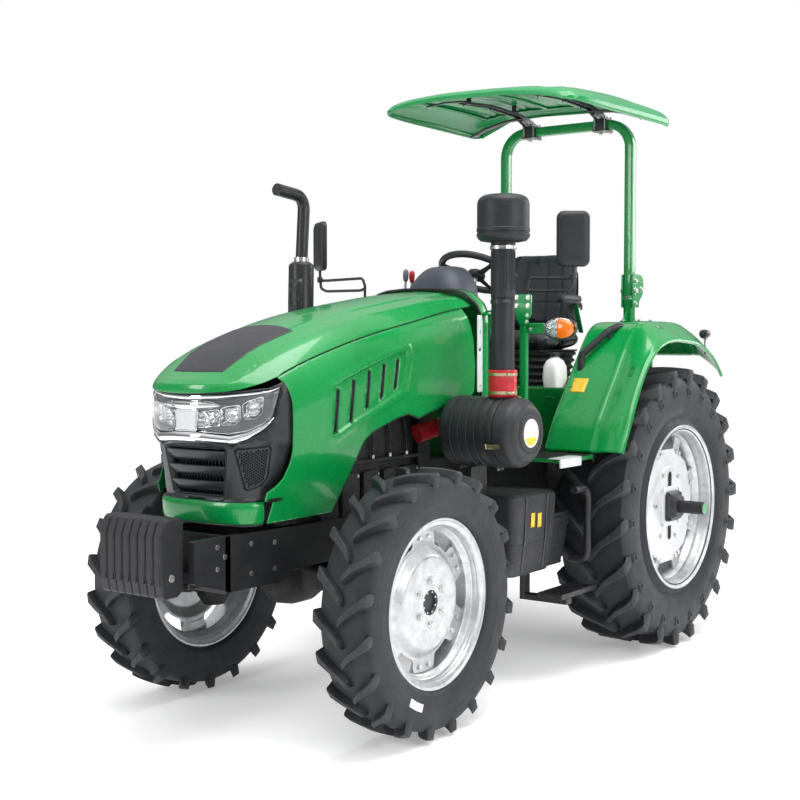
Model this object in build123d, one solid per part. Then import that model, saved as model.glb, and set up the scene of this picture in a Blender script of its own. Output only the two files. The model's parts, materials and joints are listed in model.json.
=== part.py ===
from build123d import *
import math
import os

# Farm tractor, open operator station with a two-post roll bar and canopy.
# Frame: millimetres, +X forward, +Y to the tractor's left, +Z up,
# origin on the floor under the middle of the whole machine.

# ---------------------------------------------------------------- driving sizes
WHEELBASE = 1960
FRONT_AXLE_X = 910
REAR_AXLE_X = FRONT_AXLE_X - WHEELBASE

FRONT_TYRE_R = 520          # 9.5-24 tyre
FRONT_TYRE_W = 240
FRONT_RIM_SEAT_R = 305      # 24 inch rim
FRONT_RIM_LIP_R = 331
FRONT_RIM_HALF_W = 92
FRONT_MID_Y = 607           # half the front track
FRONT_DISC_Y = 654          # outer face of the wheel disc

REAR_TYRE_R = 695           # 14.9-30 tyre
REAR_TYRE_W = 380
REAR_RIM_SEAT_R = 381       # 30 inch rim
REAR_RIM_LIP_R = 407
REAR_RIM_HALF_W = 178
REAR_MID_Y = 645            # half the rear track
REAR_DISC_Y = 752

AXLE_BAR_R = 37
AXLE_BAR_END_Y = 940        # widest point of the tractor

KINGPIN_Y = 490
TIE_ROD_ARM = 170           # steering arm length, behind the kingpin
RUN = 0.3                   # gap between faces of two different bodies

ROPS_X = -1340
ROPS_Y = 382                # post centre line
ROPS_TUBE = 50
ROPS_PIVOT_Z = 1779
ROPS_TOP_Z = 2664           # centre line of the cross tube
ROPS_BEND_R = 130

BONNET_HINGE_X = 95
BONNET_HINGE_Z = 1690
BONNET_REAR_X = 100
SHEET = 6                   # sheet thickness of hood and fenders

FLOOR_Z = 1000
DECK_Z = 1290
DECK_FRONT_X = -700
FENDER_IN_Y = 430

LOWER_LINK_PIVOT = (-1190, 470)
LOWER_LINK_BALL_X = -1830
LIFT_ARM_PIVOT = (-1330, 985)
LIFT_ARM_LEN = 260

SEAT_Y = 0

os.makedirs("parts", exist_ok=True)
PARTS = {}


# ---------------------------------------------------------------- small helpers
def box(x0, x1, y0, y1, z0, z1):
    return Pos((x0 + x1) / 2, (y0 + y1) / 2, (z0 + z1) / 2) * Box(abs(x1 - x0), abs(y1 - y0), abs(z1 - z0))


def rbox(x0, x1, y0, y1, z0, z1, r, axis=Axis.Z):
    b = box(x0, x1, y0, y1, z0, z1)
    return fillet(b.edges().filter_by(axis), r)


def rod(p0, p1, r):
    a, b = Vector(*p0), Vector(*p1)
    d = b - a
    return Plane(origin=(a + b) / 2, z_dir=d) * Cylinder(r, d.length)


def turned_y(profile, x, z, y=0):
    """Solid of revolution about a line along Y; profile is a list of (y, radius)."""
    pts = [(0, p[0], p[1]) for p in profile]
    face = make_face(Polyline(*pts, close=True))
    return Pos(x, y, z) * revolve(face, Axis.Y)


def turned_z(profile, x, y, z=0):
    """Solid of revolution about a vertical line; profile is a list of (radius, z)."""
    pts = [(p[0], 0, p[1]) for p in profile]
    face = make_face(Polyline(*pts, close=True))
    return Pos(x, y, z) * revolve(face, Axis.Z)


def plate_xz(pts, y0, y1):
    """Plate with an outline in X, Z, extruded from y0 to y1."""
    face = make_face(Polyline(*[(p[0], 0, p[1]) for p in pts], close=True))
    s = extrude(face, amount=abs(y1 - y0), dir=(0, 1, 0))
    return Pos(0, min(y0, y1), 0) * s


def plate_xy(pts, z0, z1):
    face = make_face(Polyline(*[(p[0], p[1], 0) for p in pts], close=True))
    return Pos(0, 0, min(z0, z1)) * extrude(face, amount=abs(z1 - z0), dir=(0, 0, 1))


def plate_yz(pts, x0, x1):
    face = make_face(Polyline(*[(0, p[0], p[1]) for p in pts], close=True))
    return Pos(min(x0, x1), 0, 0) * extrude(face, amount=abs(x1 - x0), dir=(1, 0, 0))


def tube(points, radius, bends):
    """Round bar along straight runs joined by tangent arcs."""
    path = FilletPolyline(*points, radius=bends) if len(points) > 2 else Line(*points)
    start = Plane(origin=path @ 0, z_dir=path % 0)
    return sweep(start * Circle(radius), path=path)


def square_tube(points, side, corner, bend):
    path = FilletPolyline(*points, radius=bend) if len(points) > 2 else Line(*points)
    start = Plane(origin=path @ 0, x_dir=(1, 0, 0), z_dir=path % 0)
    return sweep(start * RectangleRounded(side, side, corner), path=path)


def mirrored(s):
    return mirror(s, about=Plane.XZ)


def both(s):
    return [s, mirrored(s)]


def put(name, solids):
    PARTS[name] = solids if isinstance(solids, list) else [solids]


def inner(profile, t):
    """Offset an open outline of (x, z) points inward (to the right of its direction) by t."""
    out = []
    n = len(profile)
    for i in range(n):
        nx = nz = 0
        for j in (i - 1, i):
            if 0 <= j < n - 1:
                dx, dz = profile[j + 1][0] - profile[j][0], profile[j + 1][1] - profile[j][1]
                d = math.hypot(dx, dz)
                nx += dz / d
                nz += -dx / d
        m = math.hypot(nx, nz)
        nx, nz = nx / m, nz / m
        out.append((profile[i][0] + nx * t, profile[i][1] + nz * t))
    return out


# ---------------------------------------------------------------- wheels
def tyre(radius, width, seat_r, rim_half_w, x, y_mid):
    h = width / 2
    bead = rim_half_w - 9
    prof = [  # (offset along the axle, radius)
        (-bead, seat_r), (-bead, seat_r + 27), (-h * 0.98, seat_r + 0.40 * (radius - seat_r)),
        (-h, seat_r + 0.56 * (radius - seat_r)), (-h * 0.97, radius - 0.13 * (radius - seat_r)),
        (-h * 0.90, radius - 12), (-h * 0.45, radius - 1),
        (h * 0.45, radius - 1), (h * 0.90, radius - 12),
        (h * 0.97, radius - 0.13 * (radius - seat_r)), (h, seat_r + 0.56 * (radius - seat_r)),
        (h * 0.98, seat_r + 0.40 * (radius - seat_r)), (bead, seat_r + 27), (bead, seat_r)]
    return turned_y(prof, x, radius, y_mid)


def barrel(seat_r, lip_r, half_w, well, thick=7):
    """Drop-centre rim barrel, (offset, radius)."""
    seat_in, well_w = half_w * 0.60, half_w * 0.32
    outer = [(-half_w, lip_r), (-half_w + 8, lip_r), (-half_w + 9, seat_r), (-seat_in, seat_r - 3),
             (-well_w, seat_r - well), (well_w, seat_r - well), (seat_in, seat_r - 3),
             (half_w - 9, seat_r), (half_w - 8, lip_r), (half_w, lip_r)]
    inn = [(half_w, seat_r - thick + 2), (seat_in, seat_r - thick - 3), (well_w, seat_r - well - thick),
           (-well_w, seat_r - well - thick), (-seat_in, seat_r - thick - 3), (-half_w, seat_r - thick + 2)]
    return outer + inn


def polar(solid, count, x, z, start=0):
    out = []
    for i in range(count):
        out.append(solid.rotate(Axis((x, 0, z), (0, 1, 0)), start + 360 * i / count))
    return out


def front_rim(side):
    """Rim barrel, and the wheel disc with hub and nuts that is bolted into it."""
    x, z = FRONT_AXLE_X, FRONT_TYRE_R
    ring = turned_y(barrel(FRONT_RIM_SEAT_R, FRONT_RIM_LIP_R, FRONT_RIM_HALF_W, 24), x, z, FRONT_MID_Y)
    # dished disc: (y, radius)
    disc = [(FRONT_DISC_Y, 40), (FRONT_DISC_Y, 150), (FRONT_DISC_Y - 12, 205), (FRONT_MID_Y + 14, 262),
            (FRONT_MID_Y + 14, 274), (FRONT_MID_Y + 4, 274), (FRONT_MID_Y + 4, 258),
            (FRONT_DISC_Y - 22, 198), (FRONT_DISC_Y - 10, 146), (FRONT_DISC_Y - 10, 40)]
    s = turned_y(disc, x, z)
    # hub with its flange, and six wheel nuts
    s += turned_y([(FRONT_DISC_Y - 54, 0), (FRONT_DISC_Y - 54, 66), (FRONT_DISC_Y - 30, 70),
                   (FRONT_DISC_Y - 28, 112), (FRONT_DISC_Y - 10, 112), (FRONT_DISC_Y - 10, 36),
                   (FRONT_DISC_Y - 4, 36), (FRONT_DISC_Y - 4, 0)], x, z)
    nut = rod((x, FRONT_DISC_Y - 1, z + 84), (x, FRONT_DISC_Y + 16, z + 84), 13)
    for n in polar(nut, 6, x, z, 30):
        s += n
    return [ring, s - ring]


def rear_rim(side):
    """Rim barrel, the disc with its hub clamp, and the bar axle that it slides on."""
    x, z = REAR_AXLE_X, REAR_TYRE_R
    ring = turned_y(barrel(REAR_RIM_SEAT_R, REAR_RIM_LIP_R, REAR_RIM_HALF_W, 30, 8), x, z, REAR_MID_Y)
    disc = [(REAR_DISC_Y, 78), (REAR_DISC_Y, 190), (REAR_DISC_Y - 8, 205), (REAR_DISC_Y - 8, 300), (REAR_DISC_Y - 20, 300),
            (REAR_DISC_Y - 20, 200), (REAR_DISC_Y - 12, 186), (REAR_DISC_Y - 12, 78)]
    s = turned_y(disc, x, z)
    # tabs that tie the disc to the barrel
    for i in range(8):
        tab = box(x - 38, x + 38, REAR_DISC_Y - 20, REAR_DISC_Y - 8, z + 290, z + 382)
        s += tab.rotate(Axis((x, 0, z), (0, 1, 0)), 22.5 + 45 * i)
    nut = rod((x, REAR_DISC_Y - 1, z + 101), (x, REAR_DISC_Y + 14, z + 101), 13)
    for n in polar(nut, 8, x, z, 22.5):
        s += n
    # hub clamp on the bar axle, against the back of the disc
    clamp = turned_y([(REAR_DISC_Y - 40, AXLE_BAR_R), (REAR_DISC_Y - 40, 128), (REAR_DISC_Y - 12, 128),
                      (REAR_DISC_Y - 12, 76), (REAR_DISC_Y + 60, 66), (REAR_DISC_Y + 60, AXLE_BAR_R)], x, z)
    bar = rod((x, 470 + RUN, z), (x, AXLE_BAR_END_Y, z), AXLE_BAR_R)
    cut = s - ring
    cut = max(cut.solids(), key=lambda q: q.volume)
    return [ring, cut, clamp, bar]


for side, name in ((1, "left"), (-1, "right")):
    pair = {
        "tyre_front_": tyre(FRONT_TYRE_R, FRONT_TYRE_W, FRONT_RIM_SEAT_R, FRONT_RIM_HALF_W, FRONT_AXLE_X, FRONT_MID_Y),
        "rim_front_": front_rim(side),
        "tyre_rear_": tyre(REAR_TYRE_R, REAR_TYRE_W, REAR_RIM_SEAT_R, REAR_RIM_HALF_W, REAR_AXLE_X, REAR_MID_Y),
        "rim_rear_": rear_rim(side),
    }
    for key, s in pair.items():
        s = s if isinstance(s, list) else [s]
        put(key + name, s if side > 0 else [mirrored(q) for q in s])

# ---------------------------------------------------------------- front axle
AZ = FRONT_TYRE_R
beam = box(FRONT_AXLE_X - 62, FRONT_AXLE_X + 62, -405, 405, AZ - 52, AZ + 52)
beam += turned_y([(-150, 0), (-150, 78), (-95, 128), (95, 128), (150, 78), (150, 0)], FRONT_AXLE_X, AZ - 6)
beam += box(FRONT_AXLE_X - 90, FRONT_AXLE_X + 90, -60, 60, AZ + 40, AZ + 123)     # pivot saddle
beam += rod((FRONT_AXLE_X - 260, 0, AZ - 10), (FRONT_AXLE_X, 0, AZ - 10), 40)     # drive shaft nose
for s_ in (1, -1):
    beam += box(FRONT_AXLE_X - 55, FRONT_AXLE_X + 55, s_ * 375, s_ * 405, AZ - 165, AZ + 165)
    for z0, z1 in ((AZ + 140, AZ + 165), (AZ - 165, AZ - 140)):
        arm = box(FRONT_AXLE_X - 50, FRONT_AXLE_X + 50, s_ * 395, s_ * KINGPIN_Y, z0, z1)
        beam += arm + rod((FRONT_AXLE_X, s_ * KINGPIN_Y, z0), (FRONT_AXLE_X, s_ * KINGPIN_Y, z1), 50)
put("front_axle_beam", beam)


def knuckle():
    x, y = FRONT_AXLE_X, KINGPIN_Y
    s = turned_z([(0, AZ - 140 + RUN), (46, AZ - 140 + RUN), (72, AZ - 100), (72, AZ + 100), (46, AZ + 140 - RUN), (0, AZ + 140 - RUN)], x, y)
    s += turned_y([(y, 0), (y, 96), (y + 60, 104), (FRONT_DISC_Y - 54 - RUN, 92), (FRONT_DISC_Y - 54 - RUN, 0)], x, AZ)
    # steering arm to the rear
    s += box(x - TIE_ROD_ARM, x - 20, y - 18, y + 18, AZ + 60, AZ + 80)
    s += rod((x - TIE_ROD_ARM, y, AZ + 60), (x - TIE_ROD_ARM, y, AZ + 80), 24)
    return s


put("knuckle_left", knuckle())
put("knuckle_right", mirrored(knuckle()))
tz = AZ + 100
tie = rod((FRONT_AXLE_X - TIE_ROD_ARM, -KINGPIN_Y, tz), (FRONT_AXLE_X - TIE_ROD_ARM, KINGPIN_Y, tz), 14)
for s_ in (1, -1):
    tie += rod((FRONT_AXLE_X - TIE_ROD_ARM, s_ * KINGPIN_Y, AZ + 80 + RUN), (FRONT_AXLE_X - TIE_ROD_ARM, s_ * KINGPIN_Y, tz + 16), 22)
put("tie_rod", tie)

# ---------------------------------------------------------------- frame, engine, driveline
rails = [(1560, 640), (1560, 800), (1100, 800), (600, 770), (600, 660), (760, 660), (800, 700), (1020, 700), (1060, 640)]
frame_ = plate_xz(rails, 130, 160) + plate_xz(rails, -160, -130)
frame_ += box(1530, 1560, -200, 200, 600, 815)                   # front cross plate
frame_ += box(1120, 1530, -130, 130, 640, 668)                   # belly plate
frame_ += box(FRONT_AXLE_X - 90, FRONT_AXLE_X + 90, -130, 130, AZ + 190, AZ + 215)
frame_ += box(FRONT_AXLE_X - 60, FRONT_AXLE_X + 60, -55, 55, AZ + 123, AZ + 190)  # pivot bracket
# weight carrier: two arms and a cross bar
frame_ += box(1560, 1700, -95, -65, 700, 800) + box(1560, 1700, 65, 95, 700, 800)
frame_ += box(1700, 1725, -165, 165, 690, 810)
put("front_frame", frame_)

# front weights: C-shaped cast plates side by side
wt = [(1727, 895), (1727, 842), (1760, 842), (1760, 690), (1727, 690), (1727, 640), (1800, 618), (1832, 640), (1840, 700),
      (1806, 716), (1806, 800), (1832, 812), (1828, 878), (1800, 900)]
weights = []
for i in range(5):
    y = -160 + i * 64
    weights.append(plate_xz(wt, y + 1, y + 63))
put("front_weights", weights)

engine = box(330, 1140, -165, 165, 805, 1240) + box(330, 1140, -125, 125, 745, 805) + box(330, 690, -110, 110, 640, 745)
engine += box(380, 1050, -95, 95, 1240, 1380)                    # head and rocker cover
engine += box(240, 330, -190, 190, 660, 1200)                    # bell housing
put("engine_block", engine)
put("radiator", box(1190, 1270, -225, 225, 822, 1330))

gear = plate_xz([(240, 640), (240, 985), (-700, 985), (-840, 905), (-840, 470), (-640, 470), (-300, 560)], -150, 150)
gear += box(-1290, -840, -180, 180, 480, 985)
for s_ in (1, -1):
    gear += box(-1350, -1290, s_ * 25, s_ * 38, 826, 894)        # ears of the top link
    gear += box(-1365, -1290, s_ * 120, s_ * 200, 940, 954) + box(-1365, -1290, s_ * 120, s_ * 160, 954, 1016) \
        - rod((-1330, s_ * 110, 985), (-1330, s_ * 210, 985), 30.3)
put("transmission_housing", gear)

axle = []
trumpet = [(180 + RUN * 0, 0), (180, 130), (230, 118), (400, 92), (430, 128), (470, 128), (470, 0)]
for s_ in (1, -1):
    t = turned_y(trumpet, REAR_AXLE_X, REAR_TYRE_R)
    axle.append(t if s_ > 0 else mirrored(t))
put("rear_axle_housing", axle)

# ---------------------------------------------------------------- hood (one hinged clam with its nose)
# station table: X, half width at the foot, at the waist, at the seam, at the shoulder,
#                Z of the seam, Z of the shoulder, Z of the crown
HOOD_FOOT_Z, HOOD_WAIST_Z = 842, 1110
HOOD = [
    (BONNET_REAR_X, 340, 340, 300, 222, 1672, 1718, 1741),
    (507, 340, 340, 302, 226, 1607, 1668, 1698),
    (826, 318, 340, 302, 230, 1548, 1620, 1656),
    (1172, 272, 338, 300, 228, 1464, 1534, 1570),
    (1383, 247, 333, 296, 216, 1396, 1457, 1492),
    (1470, 235, 300, 262, 212, 1366, 1402, 1436),
    (1530, 200, 210, 205, 182, 1350, 1372, 1400),
    (1582, 90, 98, 96, 80, 1346, 1364, 1372),
]


def hood_section(row, t):
    x, wf, w, ws, wsh, zs, zsh, zc = row
    wf, w, ws, wsh, zs, zsh, zc = wf - t, w - t, ws - t, wsh - t * 0.6, zs - t * 0.8, zsh - t, zc - t
    zf = HOOD_FOOT_Z - (20 if t else 0)
    pts = [(wf, zf), (w, HOOD_WAIST_Z), (w, zs - 130), (w - 6, zs - 60), (ws, zs), (wsh, zsh), (0, zc),
           (-wsh, zsh), (-ws, zs), (-w + 6, zs - 60), (-w, zs - 130), (-w, HOOD_WAIST_Z), (-wf, zf)]
    return make_face(Polyline(*[(x, p[0], p[1]) for p in pts], close=True))


def hood_body(t):
    rows = [list(r) for r in HOOD]
    if t:
        rows[0][0] -= 20
        rows[-1][0] -= t
    return loft([hood_section(r, t) for r in rows], ruled=True)


shell = hood_body(0) - hood_body(SHEET)

# plan outline of the nose: (x, y) of the outer surface, left half, from the centre back
NOSE_TOP = [(1582, 0), (1572, 110), (1540, 190), (1490, 246), (1440, 282), (1383, 303)]
NOSE_MID = [(1566, 0), (1541, 125), (1505, 208), (1450, 285), (1400, 316), (1350, 327)]
NOSE_LOW = [(1512, 0), (1504, 130), (1478, 205), (1440, 236), (1396, 246)]
GRILLE_LOW = [(1500, 0), (1492, 125), (1462, 200), (1425, 234), (1385, 254), (1344, 262)]
GRILLE_TOP = [(1528, 0), (1520, 125), (1492, 212), (1445, 275), (1396, 308), (1344, 324)]


def plan(points, back_x):
    left = list(points)
    if abs(left[-1][0] - back_x) > 0.01:
        left.append((back_x, left[-1][1]))
    return left + [(x, -y) for x, y in reversed(left[1:])]


def ring_wall(points, back_x, z0, z1, t):
    """Wall following the nose plan outline, open at the back."""
    outer = plate_xy(plan(points, back_x), z0, z1)
    ins = [(x - t, max(y - (t if i else 0), 0)) for i, (x, y) in enumerate(points)]
    cut = plate_xy(plan(ins, back_x - 50), z0 - 5, z1 + 5)
    return outer - cut


# the hood top: everything of the shell above the seam line
seam_line = [(BONNET_REAR_X - 30, 1678), (BONNET_REAR_X, 1672), (507, 1607), (826, 1548), (1172, 1464), (1383, 1396),
             (1440, 1340), (1620, 1340)]
above = plate_xz(seam_line + [(1620, 1900), (BONNET_REAR_X - 30, 1900)], -400, 400)
top_ = shell & above
skin = hood_body(0) & above
for s_ in (1, -1):
    y0, y1 = (158, 184) if s_ > 0 else (-184, -158)
    eye = box(BONNET_HINGE_X - 12, BONNET_HINGE_X + 24, y0, y1, BONNET_HINGE_Z, 1760) + rod((BONNET_HINGE_X, y0, BONNET_HINGE_Z), (BONNET_HINGE_X, y1, BONNET_HINGE_Z), 15)
    eye = (eye & box(BONNET_REAR_X, 200, -400, 400, 1600, 1732)) + (eye & box(60, BONNET_REAR_X, -400, 400, 1600, 1716))
    eye -= rod((BONNET_HINGE_X, y0 - 5, BONNET_HINGE_Z), (BONNET_HINGE_X, y1 + 5, BONNET_HINGE_Z), 8.3)
    top_ += eye
put("bonnet_top", top_)

# sides: the shell below the seam, cut to the lower edge line and around the nose trim
side_out = [
    (148, 1266), (BONNET_REAR_X + 8, 1290), (BONNET_REAR_X + 18, 1400), (BONNET_REAR_X + 46, 1540), (BONNET_REAR_X + 82, 1656),
    (507, 1602), (826, 1543), (1172, 1459), (1383, 1390), (1400, 1374),
    (1352, 1345), (1336, 1300), (1336, 1150), (1368, 1025), (1430, 968),
    (1430, 934), (1392, 930), (1392, 846), (1062, 858), (1020, 960), (920, 1122), (788, 1175), (613, 1222), (522, 1198)]
skirt = plate_xz(side_out, 200, 400)
low = plate_xy([(1000, 200), (1000, 344), (1130, 340), (1230, 300), (1383, 262), (1440, 238), (1440, 200)], 700, 1200)
side = (shell & skirt)
put("bonnet_sides", both(side))

# lower nose: green lip below the grille
lip = ring_wall(NOSE_LOW, 1396, 846, 928, 8)
put("nose_lower", lip)

# grille: black nose block, hollow from behind
def plan_face(points, back_x, z, t=0):
    pts = plan([(x - t, max(y - t, 0) if i else 0) for i, (x, y) in enumerate(points)], back_x)
    return make_face(Polyline(*[(p[0], p[1], z) for p in pts], close=True))


grille = loft([plan_face(GRILLE_LOW, 1344, 932), plan_face(GRILLE_TOP, 1344, 1148)], ruled=True) \
    - loft([plan_face(GRILLE_LOW, 1300, 930, 14), plan_face(GRILLE_TOP, 1300, 1150, 14)], ruled=True)
put("nose_grille", grille)

# headlamp bar
lamp = ring_wall(NOSE_MID, 1350, 1152, 1334, 34)
put("headlamp_bar", lamp)

# ---------------------------------------------------------------- cowl, dash, steering
hoop_pts = [(-335, 985), (-335, 1640), (-312, 1690), (-250, 1740), (-120, 1762), (120, 1762), (250, 1740), (312, 1690), (335, 1640), (335, 985)]
hoop = plate_yz(hoop_pts, -14, 44)
hoop_in = plate_yz([(-327, 985), (-327, 1637), (-306, 1685), (-246, 1733), (-118, 1754), (118, 1754), (246, 1733), (306, 1685), (327, 1637), (327, 985)], -8, 50)
cowl = hoop - hoop_in
# brackets reaching out to the mirror posts
for s_ in (1, -1):
    cowl += box(0, 40, s_ * 322, s_ * 420, 1634, 1646)
    y0, y1 = (134, 150) if s_ > 0 else (-150, -134)
    cowl += box(30, BONNET_HINGE_X, y0, y1, 1678, 1702) + rod((BONNET_HINGE_X, y0, BONNET_HINGE_Z), (BONNET_HINGE_X, y1, BONNET_HINGE_Z), 12)
    cowl += rod((BONNET_HINGE_X, s_ * 134, BONNET_HINGE_Z), (BONNET_HINGE_X, s_ * 190, BONNET_HINGE_Z), 8)
    cowl += box(30, 44, min(s_ * 134, s_ * 150), max(s_ * 134, s_ * 150), 1690, 1756)
put("cowl", cowl)

dash = loft([
    Plane.XY.offset(1400) * (Pos(-115, 0) * RectangleRounded(200, 360, 60)),
    Plane.XY.offset(1700) * (Pos(-130, 0) * RectangleRounded(228, 350, 80)),
    Plane.XY.offset(1790) * (Pos(-150, 0) * RectangleRounded(240, 290, 90)),
    Plane.XY.offset(1850) * (Pos(-170, 0) * RectangleRounded(200, 200, 80)),
    Plane.XY.offset(1872) * (Pos(-180, 0) * RectangleRounded(120, 110, 50)),
], ruled=True)

SW = (-440, 0, 1852)                     # steering wheel centre
SW_TILT = 28                             # degrees the column leans back from vertical
sw_axis = Vector(-math.sin(math.radians(SW_TILT)), 0, math.cos(math.radians(SW_TILT)))
sw_plane = Plane(origin=SW, x_dir=(math.cos(math.radians(SW_TILT)), 0, math.sin(math.radians(SW_TILT))), z_dir=sw_axis)
wheel = Torus(178, 15)
for a in (0, 120, 240):
    sp = Pos(89, 0, -14) * Box(170, 26, 10)
    wheel += sp.rotate(Axis.Z, a + 60)
wheel += Pos(0, 0, -16) * Cylinder(46, 34)
wheel = sw_plane * wheel
base = Vector(*SW) - sw_axis * 33
shaft_end = Vector(*SW) - sw_axis * 225
wheel += rod(tuple(base), tuple(shaft_end), 14)
put("steering_wheel", wheel)
col0 = Vector(*SW) - sw_axis * (225 + RUN)
col1 = Vector(*SW) - sw_axis * 420
put("dashboard", dash + rod(tuple(col0), tuple(col1), 34))


# ---------------------------------------------------------------- platform, seat deck, fenders
floor_ = plate_xy([(-16, -335), (-16, 335), (-60, 700), (-350, 700), (-350, FENDER_IN_Y - 6), (DECK_FRONT_X, FENDER_IN_Y - 6), (DECK_FRONT_X, -FENDER_IN_Y + 6),
                   (-350, -FENDER_IN_Y + 6), (-350, -700), (-60, -700)], FLOOR_Z - 14, FLOOR_Z)
deck = box(-1300, DECK_FRONT_X, -FENDER_IN_Y + 8, FENDER_IN_Y - 8, FLOOR_Z - 14, DECK_Z) \
    - box(-1310, DECK_FRONT_X - SHEET, -FENDER_IN_Y + 14, FENDER_IN_Y - 14, FLOOR_Z - 30, DECK_Z - SHEET)
put("platform", floor_ + deck)

# fender outlines, (x, z) from the front foot over the tyre to the tail
CREST = [(-358, 1006), (-425, 1128), (-590, 1335), (-800, 1590), (-900, 1612), (-1212, 1612), (-1400, 1560), (-1530, 1440)]
EDGE = [(-366, 1008), (-430, 1110), (-560, 1330), (-744, 1490), (-914, 1528), (-1200, 1510), (-1400, 1440), (-1524, 1335)]


def band(profile, t):
    return profile + list(reversed(inner(profile, -t)))


def fender():
    y_in, y_crest, y_edge = FENDER_IN_Y, 700, 835
    b = band(CREST, SHEET)
    s = plate_xz(b, y_in, y_crest)
    f0 = make_face(Polyline(*[(p[0], y_crest, p[1]) for p in b], close=True))
    f1 = make_face(Polyline(*[(p[0], y_edge, p[1]) for p in band(EDGE, SHEET)], close=True))
    s += loft([f0, f1], ruled=True)
    wall = CREST + [(-1500, 1100), (-1440, 1001)]
    s += plate_xz(wall, y_in, y_in + SHEET)
    return s


fender_left = fender()
put("fender_left", fender_left)
put("fender_right", mirrored(fender_left))

# ---------------------------------------------------------------- roll bar and canopy
half = ROPS_TUBE / 2
cheek = [(ROPS_X + 28, 1691), (ROPS_X + 28, 1867), (ROPS_X - 62, 1867), (ROPS_X - 96, 1848), (ROPS_X - 102, 1790), (ROPS_X - 90, 1758),
         (ROPS_X - 54, 1730), (ROPS_X - 44, 1691)]
posts = []
for s_ in (1, -1):
    p = square_tube([(ROPS_X, s_ * ROPS_Y, 824), (ROPS_X, s_ * ROPS_Y, 1736)], ROPS_TUBE, 8, 1)
    # cheek plates that carry the fold pin
    for yy in (half, -half - 9):
        p += plate_xz(cheek, s_ * ROPS_Y + yy, s_ * ROPS_Y + yy + 9)
    p += rod((ROPS_X, s_ * ROPS_Y - half - 20, ROPS_PIVOT_Z), (ROPS_X, s_ * ROPS_Y + half + 20, ROPS_PIVOT_Z), 10)
    p += box(ROPS_X - 60, ROPS_X + 60, s_ * ROPS_Y - 60, s_ * ROPS_Y + 60, 824, 840)
    posts.append(p)
put("rops_posts", posts)

hoop_ = square_tube([(ROPS_X, -ROPS_Y, ROPS_PIVOT_Z - 25), (ROPS_X, -ROPS_Y, ROPS_TOP_Z), (ROPS_X, ROPS_Y, ROPS_TOP_Z), (ROPS_X, ROPS_Y, ROPS_PIVOT_Z - 25)],
                    ROPS_TUBE - 2 * RUN, 8, ROPS_BEND_R)
for s_ in (1, -1):
    hoop_ -= rod((ROPS_X, s_ * ROPS_Y - 60, ROPS_PIVOT_Z), (ROPS_X, s_ * ROPS_Y + 60, ROPS_PIVOT_Z), 10.3)
put("rops_hoop", hoop_)

# canopy: crowned shell whose front and rear lips arch up; section table: X, half width, Z of the side edge,
# Z of the crown, then how far the lower edge arches up at 0.9, 0.66 and 0.3 of the half width
CANOPY = [
    (-402, 500, 2659, 2734, 14, 32, 42),
    (-440, 548, 2654, 2748, 0, 0, 0),
    (-520, 566, 2650, 2762, 0, 0, 0),
    (-750, 576, 2646, 2784, 0, 0, 0),
    (-1000, 586, 2646, 2796, 0, 0, 0),
    (-1200, 596, 2646, 2794, 0, 0, 0),
    (-1335, 600, 2646, 2786, 0, 0, 0),
    (-1385, 570, 2654, 2778, 24, 84, 96),
]
CANOPY_LEAN = -1.8                       # degrees, the left side sits lower


def canopy_section(row, t):
    x, w, ze, zc, a1, a2, a3 = row
    h = zc - ze
    top = [(1.0, 0.20), (0.93, 0.52), (0.66, 0.84), (0.30, 0.98)]
    pts = []
    for k, g in top:
        pts.append((w * k - t * (1 if k > 0.9 else 0), ze + h * g - (t * 0.3 if k == 1.0 else t)))
    pts += [(-y, z) for y, z in reversed(pts)]
    if t:
        low = [(w - t, ze - 20), (-w + t, ze - 20)]
        low = [low[1], (-0.9 * w, ze - 20), (-0.66 * w, ze - 20), (-0.3 * w, ze - 20), (0.3 * w, ze - 20), (0.66 * w, ze - 20), (0.9 * w, ze - 20), low[0]]
    else:
        low = [(-w, ze), (-0.9 * w, ze + a1), (-0.66 * w, ze + a2), (-0.3 * w, ze + a3), (0.3 * w, ze + a3), (0.66 * w, ze + a2), (0.9 * w, ze + a1), (w, ze)]
    return make_face(Polyline(*[(x, p[0], p[1]) for p in pts + low], close=True))


def lean(s):
    return s.rotate(Axis((0, 0, 2690), (1, 0, 0)), CANOPY_LEAN)


can_out = loft([canopy_section(r, 0) for r in CANOPY], ruled=True)
rows_in = [list(r) for r in CANOPY]
rows_in[0][0] -= 8
rows_in[-1][0] += 8
can_in = loft([canopy_section(r, 8) for r in rows_in], ruled=True)
canopy = lean(can_out - can_in)
put("canopy", canopy)

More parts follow.
